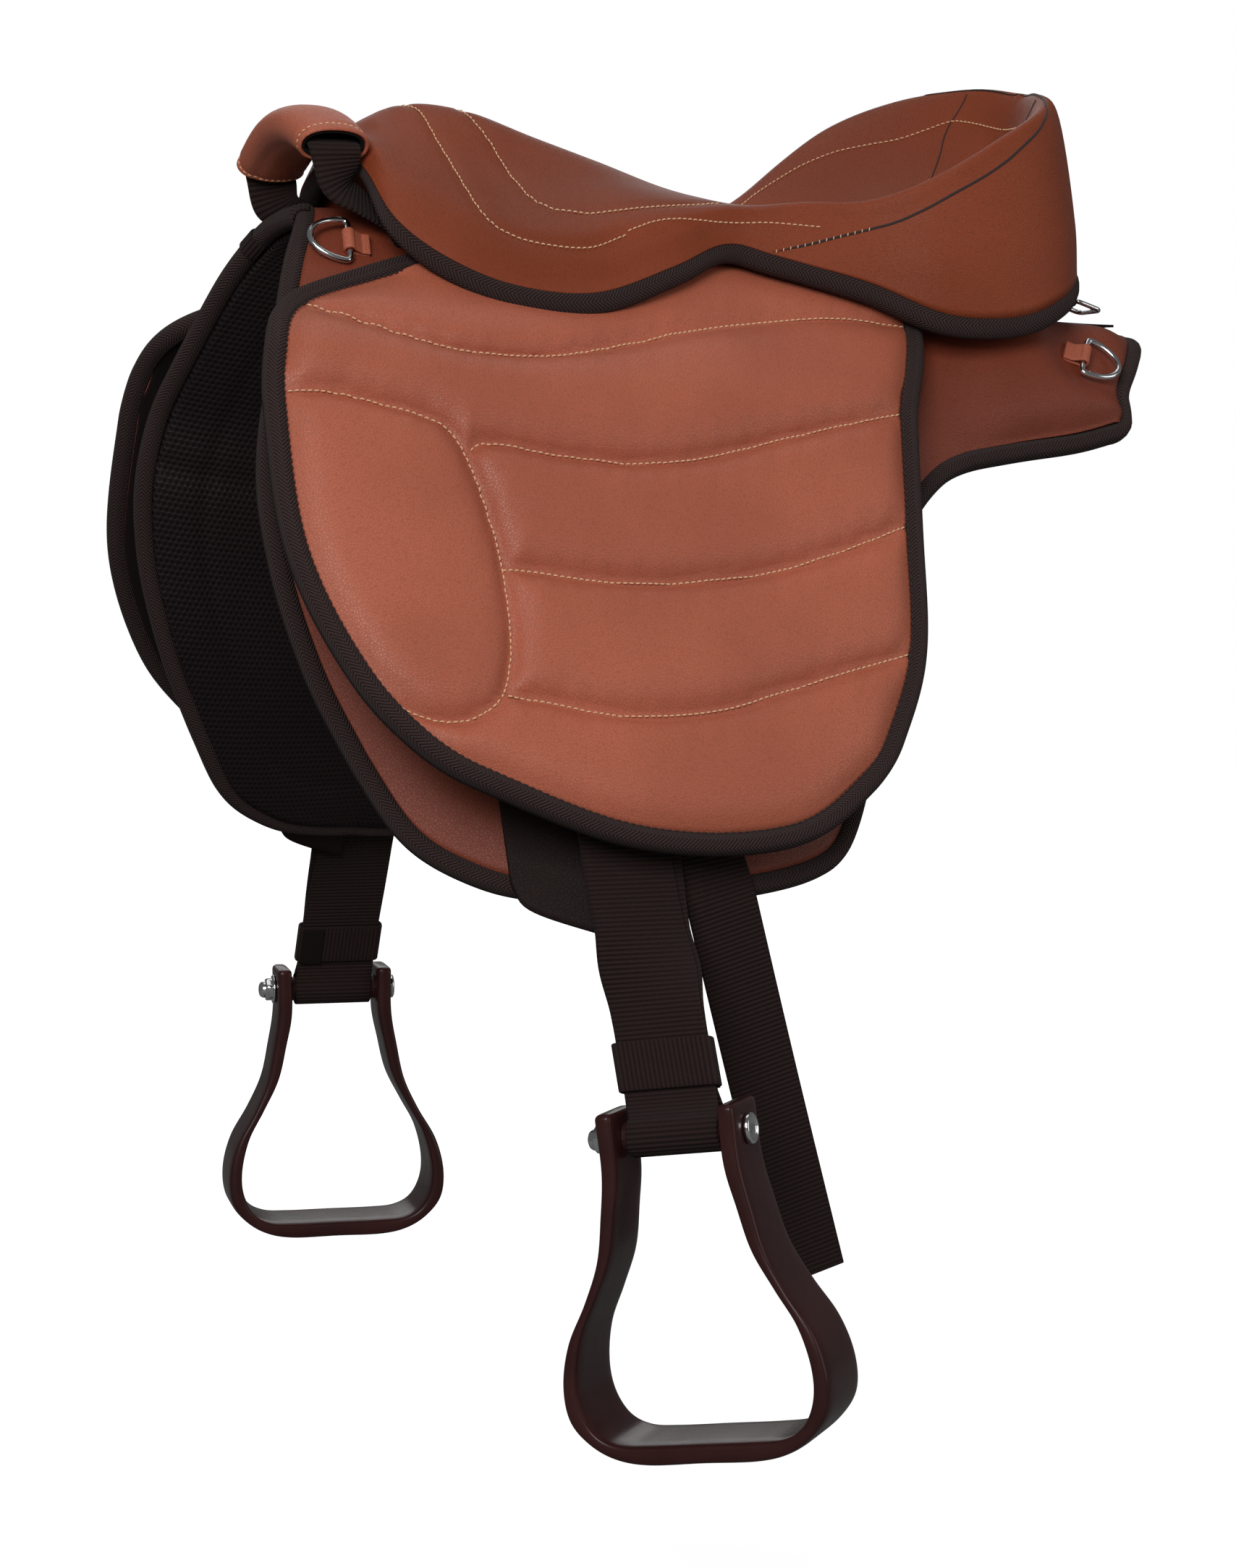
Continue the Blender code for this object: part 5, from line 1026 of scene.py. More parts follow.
print("lining lies", round(PAD_THICK + LINING_GAP, 4), "m under the leather")

# %% Base bindings
BASE_TAPE_HIGH = 0.0060
BASE_TAPE_OUT = 0.0042
BASE_TAPE_SINK = 0.0085
BASE_REAR_SINK = 0.0025
BASE_TAPE_END = 0.0055


def base_tape(label, side):
    """Tape round a base half, and the line that it follows."""
    places = moved_out(softened(evenly(BASE_EDGE, 460), 3), BASE_TAPE_OUT)
    places[[0, -1], 1] = BASE_TAPE_END
    x, s = places.T
    lifts = curl(x, s) - BASE_TAPE_SINK - BASE_REAR_SINK * np.clip((x - 0.12) / 0.08, 0, 1)
    tape, line = bound(f"base_tape_{label}", places, lifts, side, BASE_TAPE, BASE_TAPE_HIGH)
    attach(tape, "saddle")
    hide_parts(f"base_binding_{label}")
    return tape, line


BASE_LINES = {}
for label, side in SIDES:
    pad, lining = base_pad(label, side), base_lining(label, side)
    tape, BASE_LINES[label] = base_tape(label, side)
    print(pad.name, lining.name, tape.name)

# %% [markdown]
# The seat is a moulded foam cushion under seat leather: a swell at the pommel, a waist, and a deep
# bowl that rises into the cantle. Its shape is a net of guide lines from the middle down to the bound
# edge, filled in with smooth curves both ways. The photographed seat sits a little twisted, with its
# far cantle higher than the near one, so the rear of the net leans the same way.

# %% Seat guide lines
SEAT_EDGE = ((-0.388, 0), (-0.388, 0.074), (-0.388, 0.113), (-0.381, 0.172), (-0.343, 0.217),
             (-0.280, 0.246), (-0.197, 0.242), (-0.110, 0.192), (-0.043, 0.149), (0.009, 0.158),
             (0.101, 0.185), (0.177, 0.219), (0.259, 0.214), (0.318, 0.183), (0.360, 0.131),
             (0.377, 0.072), (0.384, 0))
SEAT_SPINE = ((-0.363, 0, 0.752), (-0.357, 0, 0.773), (-0.346, 0, 0.794), (-0.327, 0, 0.816),
              (-0.296, 0, 0.823), (-0.252, 0, 0.794), (-0.195, 0, 0.716), (-0.115, 0, 0.610),
              (-0.045, 0, 0.496), (0.010, 0, 0.418), (0.090, 0, 0.362), (0.160, 0, 0.369),
              (0.230, 0, 0.426), (0.287, 0, 0.539), (0.327, 0, 0.723), (0.350, 0, 0.908), (0.360, 0, 0.993))
SEAT_MIDDLE = ((-0.372, 0, 0.738), (-0.367, 0.127, 0.745), (-0.358, 0.227, 0.723),
               (-0.337, 0.336, 0.667), (-0.304, 0.382, 0.610), (-0.256, 0.409, 0.539),
               (-0.195, 0.418, 0.504), (-0.117, 0.409, 0.504), (-0.045, 0.382, 0.468),
               (0.010, 0.382, 0.411), (0.090, 0.427, 0.376), (0.162, 0.473, 0.411), (0.233, 0.473, 0.511),
               (0.290, 0.409, 0.674), (0.329, 0.300, 0.844), (0.353, 0.145, 0.965), (0.367, 0, 0.993))
SEAT_RIDGE = ((-0.382, 0, 0.723), (-0.379, 0.227, 0.688), (-0.370, 0.418, 0.638), (-0.350, 0.618, 0.511),
              (-0.315, 0.745, 0.390), (-0.261, 0.809, 0.298), (-0.195, 0.818, 0.291),
              (-0.118, 0.745, 0.369), (-0.045, 0.673, 0.411), (0.010, 0.691, 0.426), (0.090, 0.782, 0.511),
              (0.163, 0.891, 0.645), (0.237, 0.900, 0.801), (0.292, 0.782, 0.908), (0.330, 0.564, 0.972),
              (0.353, 0.282, 1.000), (0.374, 0, 0.979))
SEAT_SHOULDER = ((-0.389, 0, 0.699), (-0.390, 0.282, 0.652), (-0.386, 0.509, 0.603),
                 (-0.372, 0.745, 0.433), (-0.337, 0.864, 0.291), (-0.275, 0.927, 0.191),
                 (-0.197, 0.936, 0.170), (-0.113, 0.845, 0.277), (-0.045, 0.736, 0.362),
                 (0.010, 0.755, 0.362), (0.094, 0.845, 0.411), (0.169, 0.964, 0.553), (0.243, 0.982, 0.723),
                 (0.303, 0.864, 0.830), (0.346, 0.600, 0.894), (0.370, 0.291, 0.922), (0.384, 0, 0.894))
SEAT_WALL = ((-0.392, 0, 0.663), (-0.394, 0.318, 0.613), (-0.393, 0.555, 0.546), (-0.384, 0.800, 0.362),
             (-0.346, 0.927, 0.213), (-0.282, 0.991, 0.099), (-0.198, 0.991, 0.078), (-0.111, 0.891, 0.199),
             (-0.043, 0.745, 0.305), (0.009, 0.782, 0.284), (0.101, 0.900, 0.255), (0.177, 1.018, 0.255),
             (0.257, 1.027, 0.326), (0.317, 0.900, 0.411), (0.363, 0.618, 0.482), (0.386, 0.300, 0.525),
             (0.395, 0, 0.532))
print("seat guide lines:", len((SEAT_SPINE, SEAT_MIDDLE, SEAT_RIDGE, SEAT_SHOULDER, SEAT_WALL)))

# %% The seat's curves
SEAT_SIZE = (LENGTH, SEAT_HALF, CANTLE)
SEAT_LIFT = 0.026
SEAT_FINE = 8
LEAN = 0.015
DIP = 0.009


def finer(knots, steps):
    """Columns between the knots of a seat line that mirrors at both ends."""
    flip = np.array([1, -1, 1])
    beyond = np.vstack([knots[1] * flip, knots, knots[-2] * flip])
    t = np.linspace(0, 1, steps, endpoint=False)[:, None]
    fine = [between(a, b, c, d, t) for a, b, c, d in zip(beyond, beyond[1:], beyond[2:], beyond[3:])]
    return np.vstack([*fine, knots[-1:]])


def leaned(points):
    """The cantle's lean: the near side lower and the far side higher towards the rear."""
    share = eased(np.clip((points[..., 0] - 0.02) / 0.11, 0, 1))
    rise = np.clip((points[..., 2] - 0.02) / 0.05, 0, 1)
    near = np.clip(-points[..., 1] / 0.06, 0, 1) * np.exp(-(((points[..., 0] - 0.066) / 0.042) ** 2))
    shift = LEAN * share * rise * points[..., 1] / 0.095 - DIP * near * rise
    return points + np.stack([0 * shift, 0 * shift, shift], axis=-1)


def seat_edge():
    """Middle of the seat's binding, on the right."""
    places = metric(SEAT_EDGE)
    edge = laid(places[:, 0], places[:, 1], SEAT_LIFT, 1)
    edge[[0, -1], 1] = 0
    return edge


print("seat edge on the right:", round(length_of(seat_edge()), 3), "m")

# %% The seat's rows
SEAT_ROWS = (9, 9, 7, 7, 9)
EDGE_RISE = 0.0055
EDGE_OUT = 0.0045
EDGE_IN = 0.004
UNDER_EDGE = 0.0185
UNDER_FRONT = 0.0107
UNDER_MIDDLE = 0.0042


def edge_rows():
    """Two rows on top of the seat's binding, one near its outside and one near its inside."""
    edge = seat_edge()
    ahead = np.gradient(edge, axis=0)
    ahead[[0, -1]] = (0, 1, 0), (0, -1, 0)
    ahead = unit(ahead)
    rise = np.array(SEAT_WALL) * SEAT_SIZE - edge
    rise = unit(rise - np.sum(rise * ahead, axis=1)[:, None] * ahead)
    out = np.cross(rise, ahead)
    return edge + rise * EDGE_RISE + out * EDGE_OUT, edge + rise * EDGE_RISE - out * EDGE_IN


def under_rows():
    """Rows of the underside, from the binding to the middle line."""
    places = metric(SEAT_EDGE)
    ends = np.column_stack([np.linspace(-0.30, 0.31, len(places)) * LENGTH, 0 * places[:, 0]])
    run = np.linalg.norm(ends - places, axis=1)
    front = np.clip(1 - np.arange(len(places)) / 4, 0, 1)
    rows = []
    for shares, lift in ((0.015 / run, UNDER_EDGE + UNDER_FRONT * front), (0.030 / run, UNDER_EDGE),
                         (0.038 / run, UNDER_MIDDLE), (0.5, UNDER_MIDDLE), (1.0, UNDER_MIDDLE)):
        spots = places + (ends - places) * np.broadcast_to(shares, len(run))[:, None]
        row = laid(spots[:, 0], spots[:, 1], lift, 1)
        row[[0, -1], 1] = 0
        rows.append(finer(row, SEAT_FINE))
    return rows


def seat_rows():
    """Rows from the top middle line round the bound edge to the lower middle line."""
    lines = (SEAT_SPINE, SEAT_MIDDLE, SEAT_RIDGE, SEAT_SHOULDER, SEAT_WALL)
    outside, inside = edge_rows()
    guides = [finer(np.array(line) * SEAT_SIZE, SEAT_FINE) for line in lines]
    guides.append(finer(outside, SEAT_FINE))
    beyond = [guides[1] * (1, -1, 1), *guides, 2 * guides[-1] - guides[-2]]
    rows = np.array([*filled(beyond, SEAT_ROWS), finer(inside, SEAT_FINE), *under_rows()])
    rows[:, [0, -1], 1] = 0
    rows[[0, -1], :, 1] = 0
    return rows


net = seat_rows()
print("seat rows and columns:", net.shape[:2])

# %% [markdown]
# The two halves of the net meet on the middle line and are welded there. The seat's seams are drawn
# in two ways. On the top they are lines of x and half width, and the leather sinks into a groove
# along them. On the steep sides they are places in space, because a view from above can't tell them
# apart.

# %% Seat seams
SEAT_SEAMS = {
    "outer": ((-0.327, 0.000), (-0.317, 0.120), (-0.313, 0.261), (-0.308, 0.454), (-0.304, 0.627),
              (-0.297, 0.781), (-0.281, 0.851), (-0.245, 0.890), (-0.197, 0.898), (-0.154, 0.850)),
    "inner": ((-0.268, 0.000), (-0.262, 0.115), (-0.250, 0.258), (-0.241, 0.448), (-0.231, 0.600),
              (-0.208, 0.672), (-0.166, 0.700), (-0.123, 0.684), (-0.080, 0.655), (-0.035, 0.600)),
    "panel": ((0.283, 0.000), (0.276, 0.150), (0.258, 0.280), (0.225, 0.370), (0.175, 0.420),
              (0.115, 0.420), (0.055, 0.380), (0.010, 0.320)),
}
STEEP_SEAMS = {
    "waist": ((-0.153, 0.848, 0.286), (-0.141, 0.825, 0.296), (-0.121, 0.799, 0.323), (-0.095, 0.775, 0.337),
              (-0.065, 0.753, 0.337), (-0.033, 0.736, 0.339), (0.004, 0.747, 0.343), (0.035, 0.785, 0.345),
              (0.057, 0.814, 0.350)),
    "bowl": ((0.100, 0.720, 0.500), (0.125, 0.767, 0.560), (0.162, 0.794, 0.625), (0.189, 0.791, 0.665),
             (0.221, 0.766, 0.705), (0.251, 0.708, 0.735), (0.277, 0.620, 0.762), (0.303, 0.520, 0.810),
             (0.322, 0.411, 0.850), (0.332, 0.292, 0.850), (0.337, 0.166, 0.845), (0.339, 0.000, 0.840)),
    "rim": ((0.004, 0.797, 0.223), (0.023, 0.808, 0.243), (0.044, 0.826, 0.268), (0.067, 0.844, 0.307),
            (0.085, 0.859, 0.345), (0.108, 0.882, 0.400), (0.131, 0.913, 0.460), (0.159, 0.951, 0.535),
            (0.189, 0.975, 0.605), (0.220, 0.985, 0.672), (0.247, 0.973, 0.735), (0.266, 0.944, 0.788),
            (0.289, 0.886, 0.850), (0.304, 0.815, 0.900), (0.318, 0.705, 0.938), (0.335, 0.530, 0.975),
            (0.350, 0.280, 0.995), (0.361, 0.000, 1.000)),
    "joint": ((0.340, 0.398, 0.975), (0.336, 0.398, 0.940), (0.325, 0.400, 0.880), (0.320, 0.405, 0.850),
              (0.312, 0.396, 0.790), (0.302, 0.347, 0.700), (0.290, 0.300, 0.580)),
}
print("seat seams:", ", ".join([*SEAT_SEAMS, *STEEP_SEAMS]))

# %% Seat leather
GROOVE_DEEP = 0.0013
GROOVE_WIDE = 0.0030


def seat_mesh(net):
    """The seat's right half and its mirror image, welded where they meet."""
    count, columns = net.shape[:2]
    right = net.reshape(-1, 3)
    faces = quads(count, columns) + quads(count, columns, count * columns)
    made = new_piece("seat", np.vstack([right, right * (1, -1, 1)]), faces, SEAT_LEATHER)
    shape = bmesh.new()
    shape.from_mesh(made.data)
    bmesh.ops.remove_doubles(shape, verts=shape.verts, dist=0.00002)
    bmesh.ops.dissolve_degenerate(shape, dist=0.00001, edges=shape.edges)
    bmesh.ops.recalc_face_normals(shape, faces=shape.faces)
    shape.to_mesh(made.data)
    shape.free()
    return made


seat = seat_mesh(net)
places = np.array([v.co for v in seat.data.vertices])
normals = np.array([v.normal for v in seat.data.vertices])
grooves = [curve_through(np.array(seam) * SEAT_SIZE[:2], 60) for seam in SEAT_SEAMS.values()]
grooves += [groove * (1, -1) for groove in grooves]
near_seam = distance_to(places[:, :2], grooves)
top_face = np.clip(normals[:, 2] * 3, 0, 1)
groove = GROOVE_DEEP * np.exp(-((near_seam / GROOVE_WIDE) ** 2)) * top_face
places = leaned(places - normals * groove[:, None])
seat.data.vertices.foreach_set("co", places.astype(np.float32).ravel())
seat.data.update()
dressed(seat, "saddle", "seat_leather", "seat_cushion", "seat_hook_panel")
print("seat:", len(seat.data.vertices), "points")

# %% Seat stitching
SEAT_THREAD = {"pitch": 0.0034, "radius": 0.00046, "share": 0.74}
SEAT_SURFACE = surface_of(seat)
DROP_FROM = 0.4
for name, seam in SEAT_SEAMS.items():
    half = curve_through(np.array(seam) * SEAT_SIZE[:2], 160)
    line = np.vstack([half[::-1] * (1, -1), half[1:]])
    starts = np.column_stack([line, DROP_FROM + 0 * line[:, 0]])
    path, facing = dropped(SEAT_SURFACE, starts, (0.0, 0.0, -1.0))
    sewn = stitches(f"seat_stitch_{name}", path + facing * 0.0004, facing, PALE_THREAD, "saddle",
                    **SEAT_THREAD)
    print(sewn.name, round(length_of(path), 3), "m")

# %% [markdown]
# A row dropped from above would smear down a steep wall, so these seams are moved to the nearest place
# on the seat instead. The waist and the bowl show stitches. The rim and the short joint that runs down
# from it into the bowl are closed from inside, so they show as a thin dark line. Close nips cross the
# front of the rim.


# %% Places on the steep sides
def steep_line(seam, side, count=220):
    """A seam on the seat's steep side, and which way the seat faces there."""
    found, facing = [], []
    for point in curve_through(leaned(np.array(seam) * (LENGTH, side * SEAT_HALF, CANTLE)), count):
        place, normal, _, _ = SEAT_SURFACE.find_nearest(Vector(point))
        found.append(place)
        facing.append(normal if normal.dot(Vector((point[0] * 0.3, point[1], 0.6))) > 0 else -normal)
    return softened(np.array(found), 2), np.array(facing)


def inward(name, facing, side):
    """The facing of a seam on the bowl's wall, turned towards the middle plane."""
    turned_out = facing[len(facing) // 2][1] * side > 0
    return -facing if name in ("bowl", "joint") and turned_out else facing


print("rim found at:", steep_line(STEEP_SEAMS["rim"], 1, 5)[0][2].round(3))


# %% Seams on the steep sides
def steep_stitches(name, label, side):
    """A stitched row."""
    path, facing = steep_line(STEEP_SEAMS[name], side)
    facing = inward(name, facing, side)
    return stitches(f"seat_stitch_{name}_{label}", path + facing * 0.0002, facing, PALE_THREAD, "saddle",
                    **SEAT_THREAD)


def steep_cord(name, label, side):
    """A thin dark line that fades out at both ends."""
    path, facing = steep_line(STEEP_SEAMS[name], side)
    facing = inward(name, facing, side)
    place = np.arange(len(path))
    widths = np.clip(np.minimum(place, place[::-1]) / 12, 0.15, 1)
    section = oval(0.0008 if name == "rim" else 0.0005, 0.00055, 8, 2)
    across = unit(np.cross(facing, np.gradient(path, axis=0)))
    made = carried(f"seat_seam_{name}_{label}", path, across, facing, section, DARK_THREAD, widths=widths)
    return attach(made, "saddle")


def rim_nips(name, label, side):
    """Short slanted stitches over the front of the rim."""
    path, facing = steep_line(STEEP_SEAMS[name][:6], side, 60)
    return stitches(f"seat_nips_{label}", path + facing * 0.0006, facing, PALE_THREAD, "saddle",
                    pitch=0.0042, share=0.5, radius=0.00034, lean=1.2)


for make, name in ((steep_stitches, "waist"), (steep_stitches, "bowl"), (steep_cord, "rim"),
                   (rim_nips, "rim"), (steep_cord, "joint")):
    for label, side in SIDES:
        made = make(name, label, side)
        print(made.name)

# %% Seat binding
SEAT_TAPE = 0.0067
edge = finer(seat_edge(), 12)
loop = np.vstack([edge, edge[-2:0:-1] * (1, -1, 1)])
loop = evenly(np.vstack([loop, loop[:1]]), 520)[:-1]
ahead = along_loop(loop)
outward = unit(loop * (0.25, 1, 0))
outward = unit(outward - np.sum(outward * ahead, axis=1)[:, None] * ahead)
section = oval(SEAT_TAPE, TAPE_HIGH)
seat_tape = carried("seat_tape", loop, np.cross(ahead, outward), outward, section, TAPE, closed=True)
dressed(seat_tape, "saddle", "binding_tape", "seat_binding")
print("seat tape:", round(length_of(loop), 3), "m")

# %% [markdown]
# The grab handle is a loop of webbing inside a padded leather sleeve. The sleeve is open at both ends,
# so its dark lining and the flat webbing show, and the webbing narrows as it turns down to the base.


# %% Axes of the skin
def skin_axes(x, s, lift, side, heading=0.0):
    """A place on the skin with its forward, sideways and outward directions."""
    step = 0.0004
    place, ahead, below = (laid(a, b, lift, side) for a, b in ((x, s), (x + step, s), (x, s + step)))
    forward = unit(math.cos(heading) * (ahead - place) + math.sin(heading) * (below - place))
    out = unit(np.cross(ahead - place, below - place) * side)
    return place, forward, np.cross(out, forward), out


print("out at the waist:", skin_axes(0, 0.1, 0, 1)[3].round(3))

# %% Handle webbing
HANDLE_X = -0.430 * LENGTH
HANDLE_TOP = 0.0995
HANDLE_END = 0.083
HANDLE_HALF = 0.062
HANDLE_ANCHOR = (-0.353 * LENGTH, 0.130 * DROP)
HANDLE_WIDE = 0.030
HANDLE_NARROWING = 0.006
HANDLE_THICK = 0.0024
ANCHOR_LIFT = 0.0001
# shares of the way from the sleeve's end to the anchor, along each axis
HANDLE_KNOTS = ((0.026, -0.080, 0.178), (0.084, 0.200, 0.463), (0.312, 0.439, 0.597), (0.662, 0.599, 0.792))


def handle_knots():
    """Right half of the handle and its mirror image: place, direction across and width at each knot."""
    knots = []
    for share in np.linspace(0, 1, 5):
        height = HANDLE_TOP - (HANDLE_TOP - HANDLE_END) * share**2
        knots.append((HANDLE_X, share * HANDLE_HALF, height, 1, 0, 0, HANDLE_WIDE))
    anchor, _, sideways, _ = skin_axes(*HANDLE_ANCHOR, ANCHOR_LIFT, 1)
    sideways = -sideways * np.sign(sideways[1])
    end = np.array((HANDLE_X, HANDLE_HALF, HANDLE_END))
    for index, knot in enumerate(HANDLE_KNOTS):
        turn = (index + 1) / len(HANDLE_KNOTS)
        across = np.array([1, 0, 0]) * (1 - eased(turn)) + sideways * eased(turn)
        knots.append((*(end + (anchor - end) * knot), *across, HANDLE_WIDE - HANDLE_NARROWING * turn))
    for back in (0.007, 0):
        place = laid(HANDLE_ANCHOR[0] - back, HANDLE_ANCHOR[1], ANCHOR_LIFT, 1)
        knots.append((*place, *sideways, HANDLE_WIDE - HANDLE_NARROWING))
    knots = np.array(knots)
    return np.vstack([knots[:0:-1] * (1, -1, 1, 1, -1, 1, 1), knots])


knots = handle_knots()
path = evenly(curve_through(knots, 12 * len(knots)), 260)
line, across = path[:, :3], unit(path[:, 3:6])
outward = unit(np.cross(across, np.gradient(line, axis=0)))
web = carried("handle_web", line, across, outward, strip(HANDLE_WIDE, HANDLE_THICK), WEBBING,
              widths=path[:, 6] / HANDLE_WIDE)
dressed(web, "handle", "webbing", "handle_webbing")
print("handle webbing:", round(length_of(line), 3), "m")

# %% Handle sleeve
SLEEVE_SIDES = 40
SLEEVE_SEAM = 0.0011
SLEEVE_SWELL = 0.05
SLEEVE_PINCH = 0.05
# width, height and thickness of the wall
COVER_SIZE = (0.040, 0.023, 0.0022)
INSIDE_SIZE = (0.0352, 0.0182, 0.0014)


def sleeve(name, line, across, outward, size, paint, seam_deep=0.0):
    """A padded tube with rolled ends, open at both, and its rings."""
    wide, high, wall = size
    angles = np.linspace(0, 2 * math.pi, SLEEVE_SIDES, endpoint=False)
    seam = seam_deep * np.exp(-(((angles - math.radians(238)) / 0.09) ** 2))
    ahead = unit(np.gradient(line, axis=0))
    run = run_along(line)

    def ring(k, inset, push=0.0):
        """One ring, fuller in the middle of the tube and pinched where its end is sewn."""
        end = min(run[k], run[-1] - run[k])
        full = 1 + SLEEVE_SWELL * math.sin(math.pi * run[k] / run[-1])
        full = full - SLEEVE_PINCH * math.exp(-(((end - 0.0045) / 0.002) ** 2))
        section = oval(wide / 2 * full - inset, high / 2 * full - inset, SLEEVE_SIDES, 2.25)
        section = section * (1 - seam / (high / 2))[:, None] if inset == 0 else section
        return line[k] + ahead[k] * push + across[k] * section[:, :1] + outward[k] * section[:, 1:]

    rings = [ring(k, 0.0) for k in range(len(line))]
    rings.append(ring(len(line) - 1, wall / 2, wall * 0.6))
    rings += [ring(k, wall) for k in reversed(range(len(line)))]
    rings.append(ring(0, wall / 2, -wall * 0.6))
    return lofted(name, rings, paint, closed=True), rings


arch = (np.abs(line[:, 1]) <= HANDLE_HALF * 1.0001) & (line[:, 2] > HANDLE_END - 0.0002)
first, last = np.flatnonzero(arch)[[0, -1]]
tube = line[first : last + 1], across[first : last + 1], outward[first : last + 1]
cover, rings = sleeve("handle_cover", *tube, COVER_SIZE, FLAP_LEATHER, SLEEVE_SEAM)
dressed(cover, "handle", "flap_leather", "handle_sleeve")
inside, _ = sleeve("handle_inside", *tube, INSIDE_SIZE, FELT)
dressed(inside, "handle", "lining", "handle_lining")
for name, k in (("left", 3), ("right", len(tube[0]) - 4)):
    loop = np.vstack([rings[k], rings[k][:1]])
    sewn = stitches(f"handle_stitch_{name}", loop, loop - tube[0][k], PALE_THREAD, None, pitch=0.0034)
    dressed(sewn, "handle", "flap_leather")
print("sleeve:", round(length_of(tube[0]), 3), "m")

# %% [markdown]
# Small fittings hold other gear: a D-ring at each corner, held by a folded leather tab, and a band of
# tape over the front binding. Each is bent from wire or strap, so each is a section along a line.


# %% Wires and folded strips
def wire_loop(name, points, normal, radius, paint):
    """Round wire along a closed flat line."""
    across = np.cross(along_loop(points), normal)
    return carried(name, points, across, normal, oval(radius, radius, 16, 2), paint, closed=True)


def bent(name, knots, count, across, section, paint):
    """A section along a smooth line that bends about one direction only."""
    line = curve_through(np.array(knots), count)
    return carried(name, line, across, unit(np.cross(np.gradient(line, axis=0), across)), section, paint)


print("points on a wire's section:", len(oval(1, 1, 16, 2)))

# %% D-rings and their tabs
RING_WIRE = 0.0018
BAR_HALF = 0.0118
BOW_HALF = 0.014
BOW_FROM = 0.0012
BOW_DEEP = 0.0208
TAB_THICK = 0.0015
TAB_WIDE = 0.014
TAB_LONG = 0.0118
TAB_GAP = 0.0003
# name, place as shares, heading of the bow, and how far it is raised
RINGS = (("front", (-0.4185, 0.165), math.pi, -0.0006), ("rear", (0.354, 0.214), math.radians(25), 0.0))


def ring_and_tab(name, label, side, shares, heading, raised):
    """One D-ring lying on the base, and the tab folded round its bar."""
    x, s = metric(shares)
    rest = curl(x, s) + raised
    bar, forward, sideways, out = skin_axes(x, s, rest + TAB_THICK + TAB_GAP + RING_WIRE, side, heading)
    flat = [(-BAR_HALF, 0.0), (BAR_HALF, 0.0)]
    arc = np.radians(np.linspace(0, 180, 40))
    flat += [(BOW_HALF * math.cos(a), BOW_FROM + BOW_DEEP * math.sin(a)) for a in arc]
    loop = closed_line(np.array([bar + sideways * u + forward * v for u, v in flat]), 96)
    ring = wire_loop(f"{name}_dee_{label}", loop, out, RING_WIRE, STEEL)
    dressed(ring, f"{name}_ring_{label}", "bright_steel", f"{name}_ring_{label}")
    wrap = RING_WIRE + TAB_GAP + TAB_THICK / 2
    low = rest + TAB_THICK / 2
    backs = np.linspace(TAB_LONG, 2.4 * wrap, 4)

    def behind(back, lift):
        """A place on the skin behind the bar."""
        return skin_axes(x - back * math.cos(heading), s - back * math.sin(heading), lift, side, heading)[0]

    knots = [behind(back, low) for back in backs]
    for angle in np.radians(np.linspace(-100, 150, 16)):
        knots.append(bar + wrap * (forward * math.cos(angle) + out * math.sin(angle)))
    knots += [behind(back, low + TAB_THICK + TAB_GAP) for back in backs[::-1]]
    tab = bent(f"{name}_tab_{label}", knots, 60, sideways, strip(TAB_WIDE, TAB_THICK), FLAP_LEATHER)
    dressed(tab, "saddle", "flap_leather", f"{name}_ring_tab_{label}")


for label, side in SIDES:
    for name, shares, heading, raised in RINGS:
        ring_and_tab(name, label, side, shares, heading, raised)
        print(name, "ring and tab,", label)

# %% Bands over the front binding
BAND_REACH = 0.0067
BAND_WIDE = 0.012
BAND_THICK = 0.0012
BANDS = {"left": 0.080 * DROP, "right": 0.120 * DROP}
for label, run in BANDS.items():
    line = BASE_LINES[label]
    k = int(np.argmin(np.abs(run_along(line) - run)))
    ahead = unit(line[k + 3] - line[k - 3])
    front = unit(np.array([-1.0, 0, 0]) + ahead[0] * ahead)
    over = np.cross(front, ahead)
    angles = np.radians(np.linspace(-100, 100, 40))[:, None]
    rays = front * np.cos(angles) + over * np.sin(angles)
    section = strip(BAND_WIDE, BAND_THICK)
    band = carried(f"front_band_{label}", line[k] + rays * BAND_REACH, ahead, rays, section, WEBBING)
    dressed(band, "saddle", "binding_tape", f"front_keeper_tape_{label}")
    print(band.name, "at", line[k].round(3))

# %% [markdown]
# Each stirrup strap is one band of ribbed webbing that runs down, round the stirrup's roller and up
# again, and a short keeper holds both layers together. It twists on its way down, so the direction
# across it is a rule of the height above the bolt. The two layers aren't quite in line.

# %% Strap directions
STRAP_HEAD = (-0.247 * LENGTH, SPINE_WIDTH / 2, 0)
STRAP_LIFT = 0.0085
HANGER_DROP = 0.060
BAR_DROP = 0.028
BOLT_DROP = 0.476
STRAP_WIDE = 0.050
STRAP_THICK = 0.0022
TWIST_FROM = 0.112
TWIST_LONG = 0.048
BOLT_HEADING = {"left": math.radians(44), "right": math.radians(-9)}
BOLT_RISE = {"left": math.radians(8), "right": 0.0}


def strap_frame(label, side):
    """Directions down and out of the side, with the bolt's centre and direction."""
    down = np.array([0, side * math.sin(TILT), -math.cos(TILT)])
    out = np.array([0, side * math.cos(TILT), math.sin(TILT)])
    head = np.array(STRAP_HEAD) * (1, side, 1) + STRAP_LIFT * out
    heading, rise = BOLT_HEADING[label], BOLT_RISE[label]
    bolt = np.array([math.cos(rise) * math.cos(heading), side * math.cos(rise) * math.sin(heading),
                     math.sin(rise)])
    return down, out, head, head + down * BOLT_DROP, bolt


